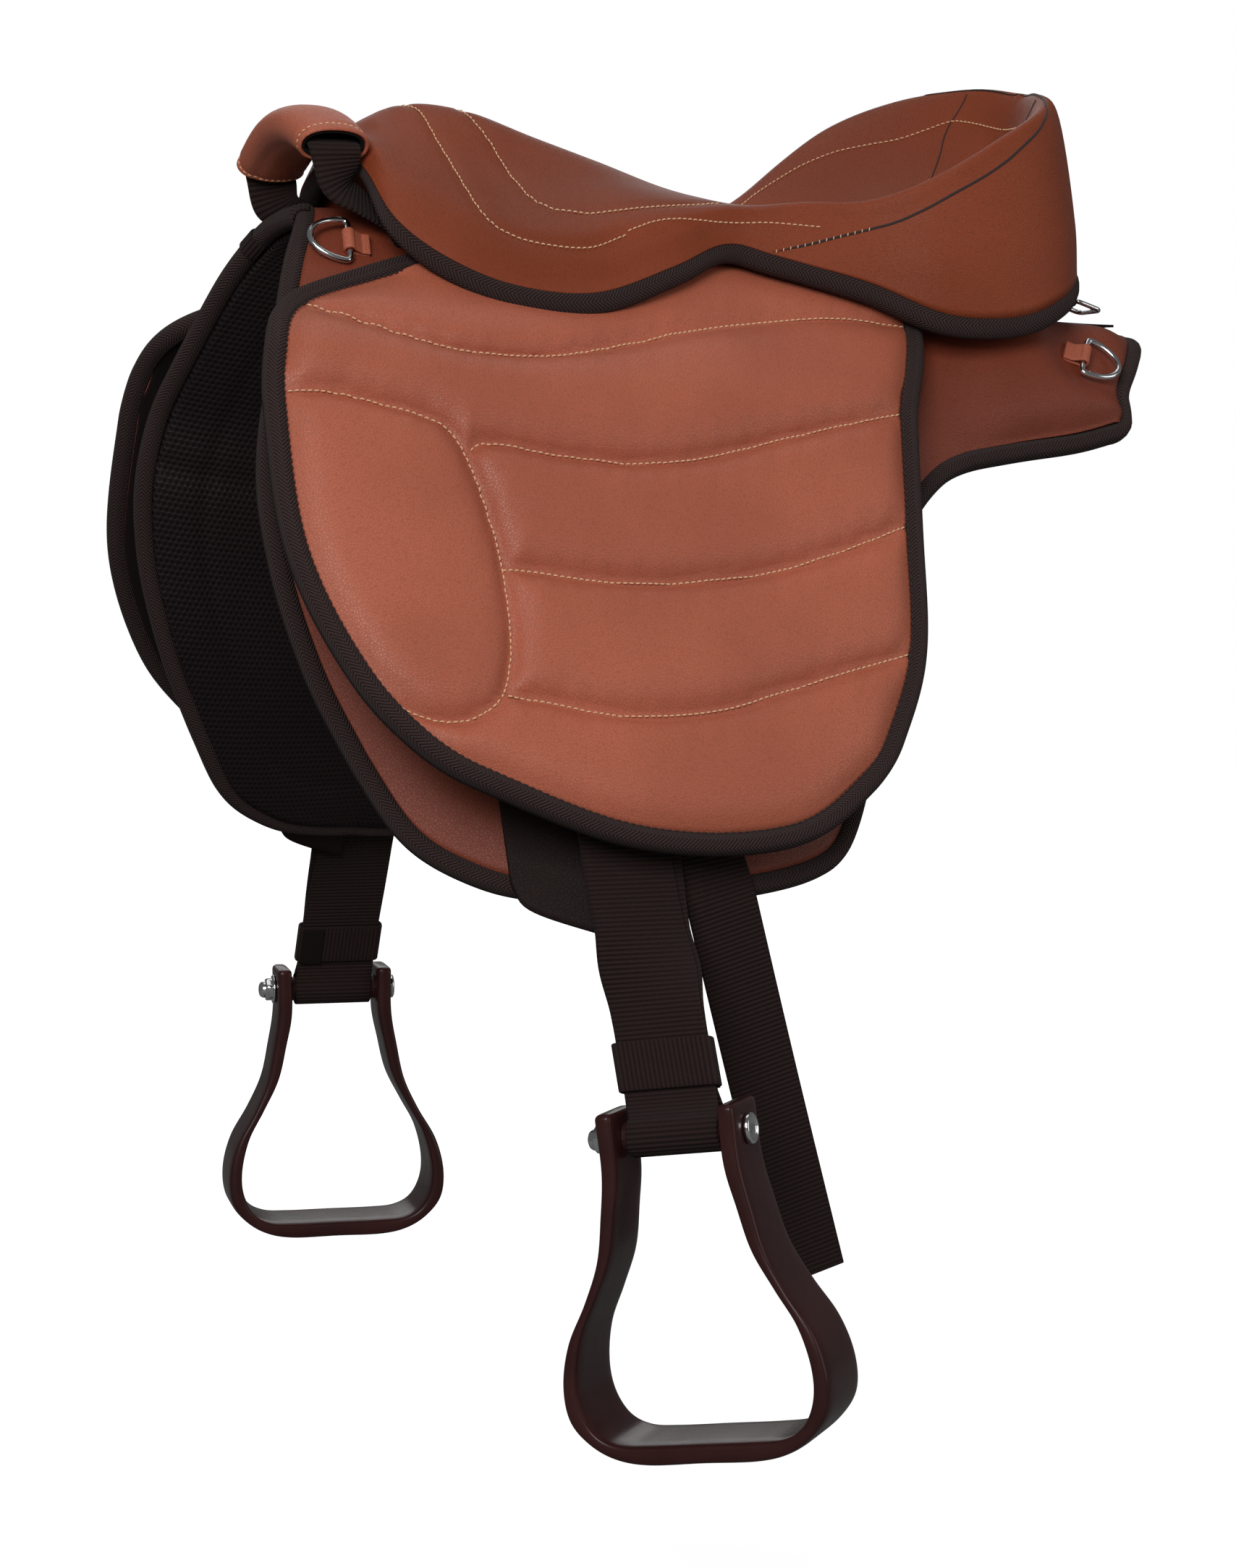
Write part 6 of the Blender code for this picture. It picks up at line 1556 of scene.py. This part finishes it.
def strap_across(height, bolt):
    """Direction across a strap at a height above its bolt."""
    share = eased(np.clip((TWIST_FROM - height) / TWIST_LONG, 0, 1))
    return unit(np.array([1.0, 0, 0]) * (1 - share) + bolt * share)


def strap_facing(height, bolt, down, side):
    """Direction out of a strap at a height above its bolt."""
    return unit(np.cross(down, strap_across(height, bolt)) * -side)


print("bolt of the left stirrup at", strap_frame("left", -1)[3].round(3))

# %% Stirrup straps
LAYER_GAP = 0.0003
TURN_ON_BAR = 0.0028
TURN_ON_ROLL = 0.0083
SLIP = 0.0032
BOW = 0.0009


def strap_loop(label, side):
    """Both layers of a strap with the turns round its hanger bar and its roller."""
    down, out, head, centre, bolt = strap_frame(label, side)
    bar = head + down * (HANGER_DROP + BAR_DROP)
    length = BOLT_DROP - HANGER_DROP - BAR_DROP
    layer = (STRAP_THICK + LAYER_GAP) / 2
    top, low = TURN_ON_BAR + STRAP_THICK / 2, TURN_ON_ROLL + STRAP_THICK / 2
    low_start, top_end = 2.25 * low, length - 2.25 * top
    stations = []

    def add_layer(heights, sign):
        """One layer, slipped a little sideways and bowed a little above the turn."""
        for height in heights:
            facing = sign * strap_facing(height, bolt, down, side)
            across = strap_across(height, bolt)
            slip = SLIP * np.clip((height - 0.055) / 0.09, 0, 1) * -sign
            bow = BOW * math.sin(height * 46) * np.clip((height - 0.06) / 0.04, 0, 1)
            shift = across * slip + strap_facing(height, bolt, down, side) * bow
            stations.append((*(centre - down * height + facing * layer + shift), *across, *facing))

    add_layer(np.linspace(top_end, low_start, 90), 1)
    facing = strap_facing(0, bolt, down, side)
    under = np.cross(bolt, facing)
    under *= np.sign(under @ down)
    for angle in np.radians(np.linspace(-55, 235, 36)):
        ray = facing * math.cos(angle) + under * math.sin(angle)
        stations.append((*(centre + ray * low), *bolt, *ray))
    add_layer(np.linspace(low_start, top_end, 90), -1)
    for angle in np.radians(np.linspace(-55, 235, 20)):
        ray = -out * math.cos(angle) - down * math.sin(angle)
        stations.append((*(bar + ray * top), 1, 0, 0, *ray))
    return np.array(stations)


for label, side in SIDES:
    path = strap_loop(label, side)
    strap = carried(f"stirrup_web_{label}", path[:, :3], unit(path[:, 3:6]), unit(path[:, 6:]),
                    strip(STRAP_WIDE, STRAP_THICK), WEBBING, closed=True)
    dressed(strap, f"strap_{label}", "webbing", f"stirrup_strap_{label}")
    print(strap.name, round(length_of(path[:, :3]), 3), "m round")

# %% [markdown]
# A keeper is a short tube of wide tape round both layers of the strap, a little loose, with a small
# dark patch on its back near one edge of the strap. Its outline is a flat box with round ends, and the
# tape's section is carried round it.

# %% Keepers
KEEPER_RISE = 0.036
KEEPER_HALF = 0.0266
KEEPER_HIGH = 0.0042
KEEPER_WAVE = 0.0003
KEEPER_TAPE = strip(0.026, 0.0019)
PATCH_TAPE = strip(0.0262, 0.0010)
PATCH_LIFT = 0.0016


def keeper_outline():
    """A flat box with round ends, once round the strap, as across and outward."""
    angles = np.linspace(0, 2 * math.pi, 120, endpoint=False)
    c, s = np.cos(angles), np.sin(angles)
    u, v = KEEPER_HALF * np.sign(c) * np.abs(c) ** 0.16, KEEPER_HIGH * np.sign(s) * np.abs(s) ** 0.5
    return closed_line(np.column_stack([u, v + KEEPER_WAVE * np.sin(u * 160)]), 110, 1)


flat = keeper_outline()
for label, side in SIDES:
    down, _, _, centre, bolt = strap_frame(label, side)
    middle = centre - down * KEEPER_RISE
    across, facing = strap_across(KEEPER_RISE, bolt), strap_facing(KEEPER_RISE, bolt, down, side)
    loop = middle + across * flat[:, :1] + facing * flat[:, 1:]
    out = np.cross(down, along_loop(loop))
    band = carried(f"keeper_{label}", loop, down, out, KEEPER_TAPE, WEBBING, closed=True)
    dressed(band, f"keeper_{label}", "binding_tape", f"strap_keeper_{label}")
    inner = flat[(flat[:, 1] < 0) & (flat[:, 0] * side < -0.011)]
    inner = inner[np.argsort(inner[:, 0])]
    inner = inner[np.abs(inner[:, 0]) < 0.0255]
    line = middle + across * inner[:, :1] + facing * (inner[:, 1:] - PATCH_LIFT)
    patch = carried(f"keeper_patch_{label}", line, down, -facing, PATCH_TAPE, FELT)
    dressed(patch, f"keeper_{label}", "binding_tape")
    print(band.name, patch.name)

# %% [markdown]
# The stirrup is one moulding: two ears that the bolt runs through, two arms that spread, and a broad
# flat tread. Its outline is drawn on the outside and the inside, both are smoothed, and a section with
# soft corners fills what lies between.

# %% Stirrups
STIRRUP_WIDE = 0.143
STIRRUP_HIGH = 0.175
STIRRUP_DEEP = 0.050
STIRRUP_SIDES = 36
STIRRUP_CORNER = 5.5
EAR_TOP = 0.012
EAR_DOME = 0.0026
# shares of the height down from the ear's top, and of the width out from the middle
STIRRUP_OUTER = ((0, 0.265), (0.154, 0.265), (0.286, 0.290), (0.411, 0.322), (0.526, 0.385), (0.640, 0.464),
                 (0.754, 0.500), (0.857, 0.490), (0.926, 0.430), (0.977, 0.335), (1, 0.210), (1, 0))
STIRRUP_INNER = ((0, 0.196), (0.154, 0.196), (0.274, 0.224), (0.400, 0.262), (0.514, 0.332), (0.617, 0.399),
                 (0.731, 0.434), (0.823, 0.430), (0.897, 0.385), (0.931, 0.308), (0.937, 0.196), (0.937, 0))
STIRRUP_DEPTHS = (0.72, 0.74, 0.76, 0.80, 0.85, 0.90, 0.96, 1, 1, 1, 1, 1)


def stirrup_axes(bolt):
    """Directions along the bolt, fore and aft, and up for a hanging stirrup."""
    up = unit(np.array([0, 0, 1.0]) - bolt[2] * bolt)
    return bolt, np.cross(up, bolt), up


def stirrup_ring(row, centre, axes, angle=0.0):
    """The section at one place of the outline; an angle shrinks it into an ear's rounded end."""
    along, deep, up = axes
    middle, half = (row[:2] + row[2:4]) / 2, (row[:2] - row[2:4]) / 2
    section = oval(1, row[4], STIRRUP_SIDES, STIRRUP_CORNER)
    flat = middle + half * section[:, :1] * (0.45 + 0.55 * math.cos(angle))
    flat = flat + np.array([0, EAR_DOME * math.sin(angle)])
    depth = section[:, 1:] * (0.86 + 0.14 * math.cos(angle))
    return centre + flat[:, :1] * along + flat[:, 1:] * up + depth * deep


def stirrup(label, side):
    """The whole moulding as one loft from ear to ear."""
    _, _, _, centre, bolt = strap_frame(label, side)
    axes = stirrup_axes(bolt)
    arm = np.array([(o[1] * STIRRUP_WIDE, EAR_TOP - o[0] * STIRRUP_HIGH, i[1] * STIRRUP_WIDE,
                     EAR_TOP - i[0] * STIRRUP_HIGH, d * STIRRUP_DEEP / 2)
                    for o, i, d in zip(STIRRUP_OUTER, STIRRUP_INNER, STIRRUP_DEPTHS)])
    whole = curve_through(np.vstack([arm[:-1] * (-1, 1, -1, 1, 1), arm[::-1]]), 200)
    domes = np.radians((25, 50, 72))
    rings = [stirrup_ring(whole[0], centre, axes, angle) for angle in domes[::-1]]
    rings += [stirrup_ring(row, centre, axes) for row in whole]
    rings += [stirrup_ring(whole[-1], centre, axes, angle) for angle in domes]
    made = lofted(f"stirrup_moulding_{label}", rings, PLASTIC)
    return dressed(made, f"stirrup_{label}", "stirrup_plastic", f"stirrup_{label}")


print("stirrup outline:", len(STIRRUP_OUTER), "places on each side")

# %% [markdown]
# A bolt joins the two ears through the strap's roller, with a low head on one side and a capped hexagon
# nut on the other. Both are turned: a profile of radius and height goes round the bolt's own axis, and
# the nut's faces are the stretch of its profile that is cut to a hexagon.

# %% Bolts and nuts
EAR_OUTER = 0.265 * STIRRUP_WIDE
SEATED = 0.0002
# radius, and height over the ear
BOLT_HEAD = ((0.0039, SEATED), (0.0077, SEATED), (0.0080, 0.0007), (0.0080, 0.0020), (0.0076, 0.0028),
             (0.0068, 0.0032), (0.0061, 0.0030), (0.0056, 0.0023), (0.0048, 0.0019), (0.0020, 0.0017),
             (0.0004, 0.0017))
NUT = ((0.0043, 0.0), (0.0091, 0.0), (0.0095, 0.0004), (0.0095, 0.0011), (0.0091, 0.0015), (0.0074, 0.0015),
       (0.0078, 0.0020), (0.0078, 0.0052), (0.0070, 0.0058), (0.0056, 0.0058), (0.0056, 0.0066),
       (0.0053, 0.0082), (0.0045, 0.0094), (0.0032, 0.0101), (0.0016, 0.0104), (0.0003, 0.0105))
NUT_FACES = (0.0016, 0.0056)
TURN_STEPS = 48


def turned(name, profile, place, direction, hexed=(0, 0)):
    """A turned steel piece from radius and height, with a stretch of it cut to a hexagon."""
    side = unit(np.cross(direction, (0.1, 0.3, 0.95)))
    other = np.cross(direction, side)
    angles = np.linspace(0, 2 * math.pi, TURN_STEPS, endpoint=False)
    flatness = np.cos(math.pi / 6) / np.cos((angles % (math.pi / 3)) - math.pi / 6)
    rings = []
    for radius, height in profile:
        reach = radius * (flatness if hexed[0] <= height <= hexed[1] else np.ones(TURN_STEPS))
        rings.append(place + direction * height + (side * (reach * np.cos(angles))[:, None]
                                                   + other * (reach * np.sin(angles))[:, None]))
    return lofted(name, rings, STEEL)


for label, side in SIDES:
    made = stirrup(label, side)
    _, _, _, centre, bolt = strap_frame(label, side)
    head = [(BOLT_HEAD[0][0], -EAR_OUTER - 0.005)]
    head += [(radius, EAR_OUTER + height) for radius, height in BOLT_HEAD]
    piece = turned(f"stirrup_bolt_piece_{label}", head, centre, bolt)
    dressed(piece, f"stirrup_{label}", "bright_steel", f"stirrup_bolt_{label}")
    nut = turned(f"cap_nut_{label}", NUT, centre - bolt * (EAR_OUTER + SEATED), -bolt, NUT_FACES)
    dressed(nut, f"stirrup_{label}", "bright_steel", f"stirrup_cap_nut_{label}")
    print(made.name, piece.name, nut.name)

# %% [markdown]
# Behind each stirrup strap a girth strap is sewn to the base. The left one hangs free below the flap and
# the right one is short. A three-cornered guard hangs below the base's lower edge, between the buckle
# of the girth and the horse.

# %% Girth straps
GIRTH_WEB = strip(0.040, 0.0025)
GIRTH_LIFT = 0.0026
GIRTH_TOP = (-0.222, 0.45)
GIRTH_ENDS = {"left": (-0.162, 0.98), "right": (-0.171, 0.90)}
GIRTH_HANG = 0.228
GIRTH_SWAY = 0.0016


def girth_strap(label, side):
    """Webbing that lies on the base and, on the left, hangs free below it with a slight sway."""
    knots = curve_through(metric((GIRTH_TOP, GIRTH_ENDS[label])), 12)
    line = laid(knots[:, 0], knots[:, 1], GIRTH_LIFT, side)
    if side < 0:
        hang = unit(np.array([math.tan(math.radians(16)), -side * math.tan(math.radians(4)), -1]))
        line = np.vstack([line, line[-1] + hang * np.linspace(0, GIRTH_HANG, 14)[1:, None]])
    line = softened(evenly(line, 120), 3)
    ahead = unit(np.gradient(line, axis=0))
    across = unit(np.cross(np.cross(ahead, (1.0, 0, 0)) * side, ahead))
    outward = np.cross(ahead, across) * side
    sway = np.linspace(0, 1, 120)
    line = line + outward * (GIRTH_SWAY * np.sin(sway * 7) * sway * (side < 0))[:, None]
    girth = carried(f"girth_web_{label}", line, across, outward, GIRTH_WEB, WEBBING)
    return dressed(girth, f"girth_{label}", "webbing", f"girth_strap_{label}")


print("the left girth strap hangs free for", GIRTH_HANG, "m")

# %% Girth guards
GUARD_LIFT = 0.0026
GUARD_HALF_THICK = 0.0008
GUARD_TOP = ((-0.352, 0.70), (-0.303, 0.70), (-0.256, 0.70))
GUARD_FOOT = ((-0.350, 0.985), (-0.335, 1.02), (-0.263, 1.060))


def girth_guard(label, side):
    """A thin sheet between its top line under the flap and its foot below the base."""
    upper, lower = (curve_through(metric(line), 24) for line in (GUARD_TOP, GUARD_FOOT))
    share = np.linspace(0, 1, 30)[:, None, None]
    places = upper[None] * (1 - share) + lower[None] * share
    x, s = places[..., 0], places[..., 1]
    middle = curl(x, s) + GUARD_LIFT
    faces = [laid(x, s, middle + half, side) for half in (GUARD_HALF_THICK, -GUARD_HALF_THICK)]
    guard = cushion(f"guard_{label}", *faces, GUARD_LEATHER, places)
    return dressed(guard, "saddle", "seat_leather", f"girth_guard_{label}")


for label, side in SIDES:
    girth, guard = girth_strap(label, side), girth_guard(label, side)
    print(girth.name, guard.name)

# %% [markdown]
# Behind the seat a small strap and buckle hold the seat to the base. The strap comes down the seat's
# rear wall and is folded round the buckle's bar. The frame is a wire bent to a rectangle with the bar
# as one of its sides, and the pin is a thinner wire wrapped round that bar. A short billet of webbing
# lies on the base under them. The photograph shows little of these pieces, so their form is a guess.

# %% Rear buckle
BUCKLE_BAR = np.array([0.420 * LENGTH, 0, 0.106 * CANTLE])
BUCKLE_WEB = strip(0.018, 0.0016)
FOLD_REACH = 0.0026
FRAME_WIRE = 0.0015
PIN_REACH = 0.0029
PIN = oval(0.0011, 0.0011, 12, 2)
ACROSS = np.array([0.0, 1.0, 0.0])
# shares of the saddle's length and of the cantle's height, from the cantle down
STRAP_FALL = ((0.3965, 0.350), (0.3990, 0.260), (0.4045, 0.190), (0.4120, 0.142))
# towards the tip and across, in metres from the bar
FRAME_CORNERS = ((0, -0.010), (0, 0.010), (0.0015, 0.013), (0.0165, 0.013), (0.018, 0.010), (0.018, -0.010),
                 (0.0165, -0.013), (0.0015, -0.013))

tip = unit(np.array([0.4560 * LENGTH, 0, 0.058 * CANTLE]) - BUCKLE_BAR)
above = np.array([-tip[2], 0, tip[0]])


def round_bar(reach, start, end):
    """Places round the buckle's bar, between two angles from the tip's direction."""
    angles = np.radians(np.linspace(start, end, 16))
    return [BUCKLE_BAR + reach * (tip * math.cos(a) + above * math.sin(a)) for a in angles]


knots = [np.array([a * LENGTH, 0, b * CANTLE]) for a, b in STRAP_FALL] + round_bar(FOLD_REACH, 130, -140)
knots.append(BUCKLE_BAR - tip * 0.011 - above * (FOLD_REACH - 0.0015))
strap = bent("buckle_web", knots, 70, ACROSS, BUCKLE_WEB, TAPE)
dressed(strap, "saddle", "binding_tape", "rear_buckle_strap")
corners = np.array([BUCKLE_BAR + tip * a + ACROSS * b for a, b in FRAME_CORNERS])
buckle = wire_loop("buckle_wire", closed_line(corners, 90), above, FRAME_WIRE, STEEL)
dressed(buckle, "buckle_frame", "bright_steel", "buckle_frame")
knots = round_bar(PIN_REACH, -190, 70)
knots += [BUCKLE_BAR + tip * reach + above * PIN_REACH for reach in (0.009, 0.021)]
tongue = bent("buckle_pin", knots, 60, ACROSS, PIN, STEEL)
dressed(tongue, "buckle_tongue", "bright_steel", "buckle_tongue")
print(strap.name, buckle.name, tongue.name)

# %% Rear billet
BILLET_HALF = 0.009
BILLET_TOP, BILLET_UNDER = 0.0019, 0.0003
x = np.linspace(0.395, 0.470, 24)[:, None] * LENGTH
y = np.linspace(-BILLET_HALF, BILLET_HALF, 9)[None]
grids = [laid(x + 0 * y, np.abs(y) + 0 * x, lift, np.where(y < 0, -1, 1) + 0 * x)
         for lift in (BILLET_TOP, BILLET_UNDER)]
billet = cushion("billet", *grids, WEBBING, np.stack(np.broadcast_arrays(x, y), axis=-1))
dressed(billet, "saddle", "webbing", "rear_billet")
print("billet:", round(float(x[-1, 0] - x[0, 0]), 3), "m long")

# %% [markdown]
# Three kinds of solid need no fuller piece: the roller that the stirrup's bolt runs through, and the
# ring and webbing of the hidden hanger. They keep their own shape and only get a finish.

# %% Finishes of the kept nodes
KEPT = {"strap_spacer": PLASTIC, "hanger_ring": STEEL, "stirrup_hanger": WEBBING}
for name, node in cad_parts.items():
    for start, paint in KEPT.items():
        if name.startswith(start):
            node.data.materials.clear()
            node.data.materials.append(paint)
            print(name, "keeps its own shape")

# %% [markdown]
# The camera stands where the photograph's stood: a little ahead of the saddle, on the near side. It
# looks slightly down with a long lens, which keeps the sizes of near and far parts nearly alike.

# %% Camera
CAMERA_PLACE = (-0.800, -1.842, -0.125)
CAMERA_TURN = math.radians(22)
CAMERA_DIP = math.radians(4.3)
LENS = 77.6
camera_data = bpy.data.cameras.new("camera")
camera_data.sensor_fit = "VERTICAL"
camera_data.sensor_height = 36
camera_data.lens = LENS
camera = bpy.data.objects.new("camera", camera_data)
camera.location = CAMERA_PLACE
looking = Vector((math.sin(CAMERA_TURN) * math.cos(CAMERA_DIP), math.cos(CAMERA_TURN) * math.cos(CAMERA_DIP),
                  -math.sin(CAMERA_DIP)))
camera.rotation_mode = "QUATERNION"
camera.rotation_quaternion = looking.to_track_quat("-Z", "Y")
scene.collection.objects.link(camera)
scene.camera = camera
print("camera at", CAMERA_PLACE)


# %% [markdown]
# Four soft lamps light the saddle, the strongest from the near side and above. They are broad, because
# leather shows its grain and its puff in soft light.


# %% Lamps
def lamp(name, place, aim, size, power):
    """A soft square lamp."""
    data = bpy.data.lights.new(name, "AREA")
    data.size = size
    data.energy = power
    made = bpy.data.objects.new(name, data)
    made.location = place
    made.rotation_mode = "QUATERNION"
    made.rotation_quaternion = (Vector(aim) - Vector(place)).to_track_quat("-Z", "Y")
    scene.collection.objects.link(made)


lamp("key", (-1.7, -2.5, 1.15), (0, 0, -0.1), 1.5, 60)
lamp("top", (0.2, 0.6, 2.2), (0, 0, 0), 1.8, 9)
lamp("fill", (1.9, -1.8, 0.3), (0, 0, -0.2), 1.5, 9)
lamp("back", (0.6, 2.4, 0.8), (0, 0, -0.1), 1.6, 8)
print("lamps:", len(bpy.data.lights))

# %% [markdown]
# The world is plain white. The camera sees it at full strength, which gives the pale background. It
# lights the saddle at about a quarter of that, and its reflections are weaker still, so that the dark
# leather doesn't turn grey.

# %% World
WORLD_LIGHT = 0.27
WORLD_CUT = 0.16
world = bpy.data.worlds.new("studio")
scene.world = world
world.use_nodes = True
tree = world.node_tree
background = tree.nodes["Background"]
background.inputs["Color"].default_value = (1, 1, 1, 1)
rays = tree.nodes.new("ShaderNodeLightPath").outputs
seen = calc(tree, "MAXIMUM", rays["Is Camera Ray"], rays["Is Transmission Ray"])
level = calc(tree, "SUBTRACT", WORLD_LIGHT, calc(tree, "MULTIPLY", rays["Is Glossy Ray"], WORLD_CUT))
tree.links.new(calc(tree, "MAXIMUM", seen, level), background.inputs["Strength"])
scene.view_settings.view_transform = "Standard"
print("world light:", WORLD_LIGHT, "and in reflections", round(WORLD_LIGHT - WORLD_CUT, 3))

# %% [markdown]
# The floor lies below the stirrups. Its own colour is a mid grey, and a glow that only the camera sees
# lifts it to the white of the background, a little darker under the saddle.

# %% Floor
FLOOR_LEVEL = -0.68
floor_finish, tree, shader = finish_named("pale_floor", 0.9)
shader.inputs["Base Color"].default_value = (0.2, 0.2, 0.2, 1)
shader.inputs["Emission Color"].default_value = (1, 1, 1, 1)
rays = tree.nodes.new("ShaderNodeLightPath").outputs
away = tree.nodes.new("ShaderNodeVectorMath")
away.operation = "LENGTH"
tree.links.new(tree.nodes.new("ShaderNodeTexCoord").outputs["Object"], away.inputs[0])
glow = ramp(tree, away.outputs["Value"], 0.35, 1.1, 0.90, 1.05)
tree.links.new(calc(tree, "MULTIPLY", rays["Is Camera Ray"], glow), shader.inputs["Emission Strength"])
bpy.ops.mesh.primitive_circle_add(vertices=64, radius=6, fill_type="NGON", location=(0, 0, FLOOR_LEVEL))
floor = bpy.context.active_object
floor.name = "floor"
floor.data.materials.append(floor_finish)
floor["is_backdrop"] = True
print("floor at", FLOOR_LEVEL, "m")

# %% Size
low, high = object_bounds()
print("size:", [round(b - a, 3) for a, b in zip(low, high)])
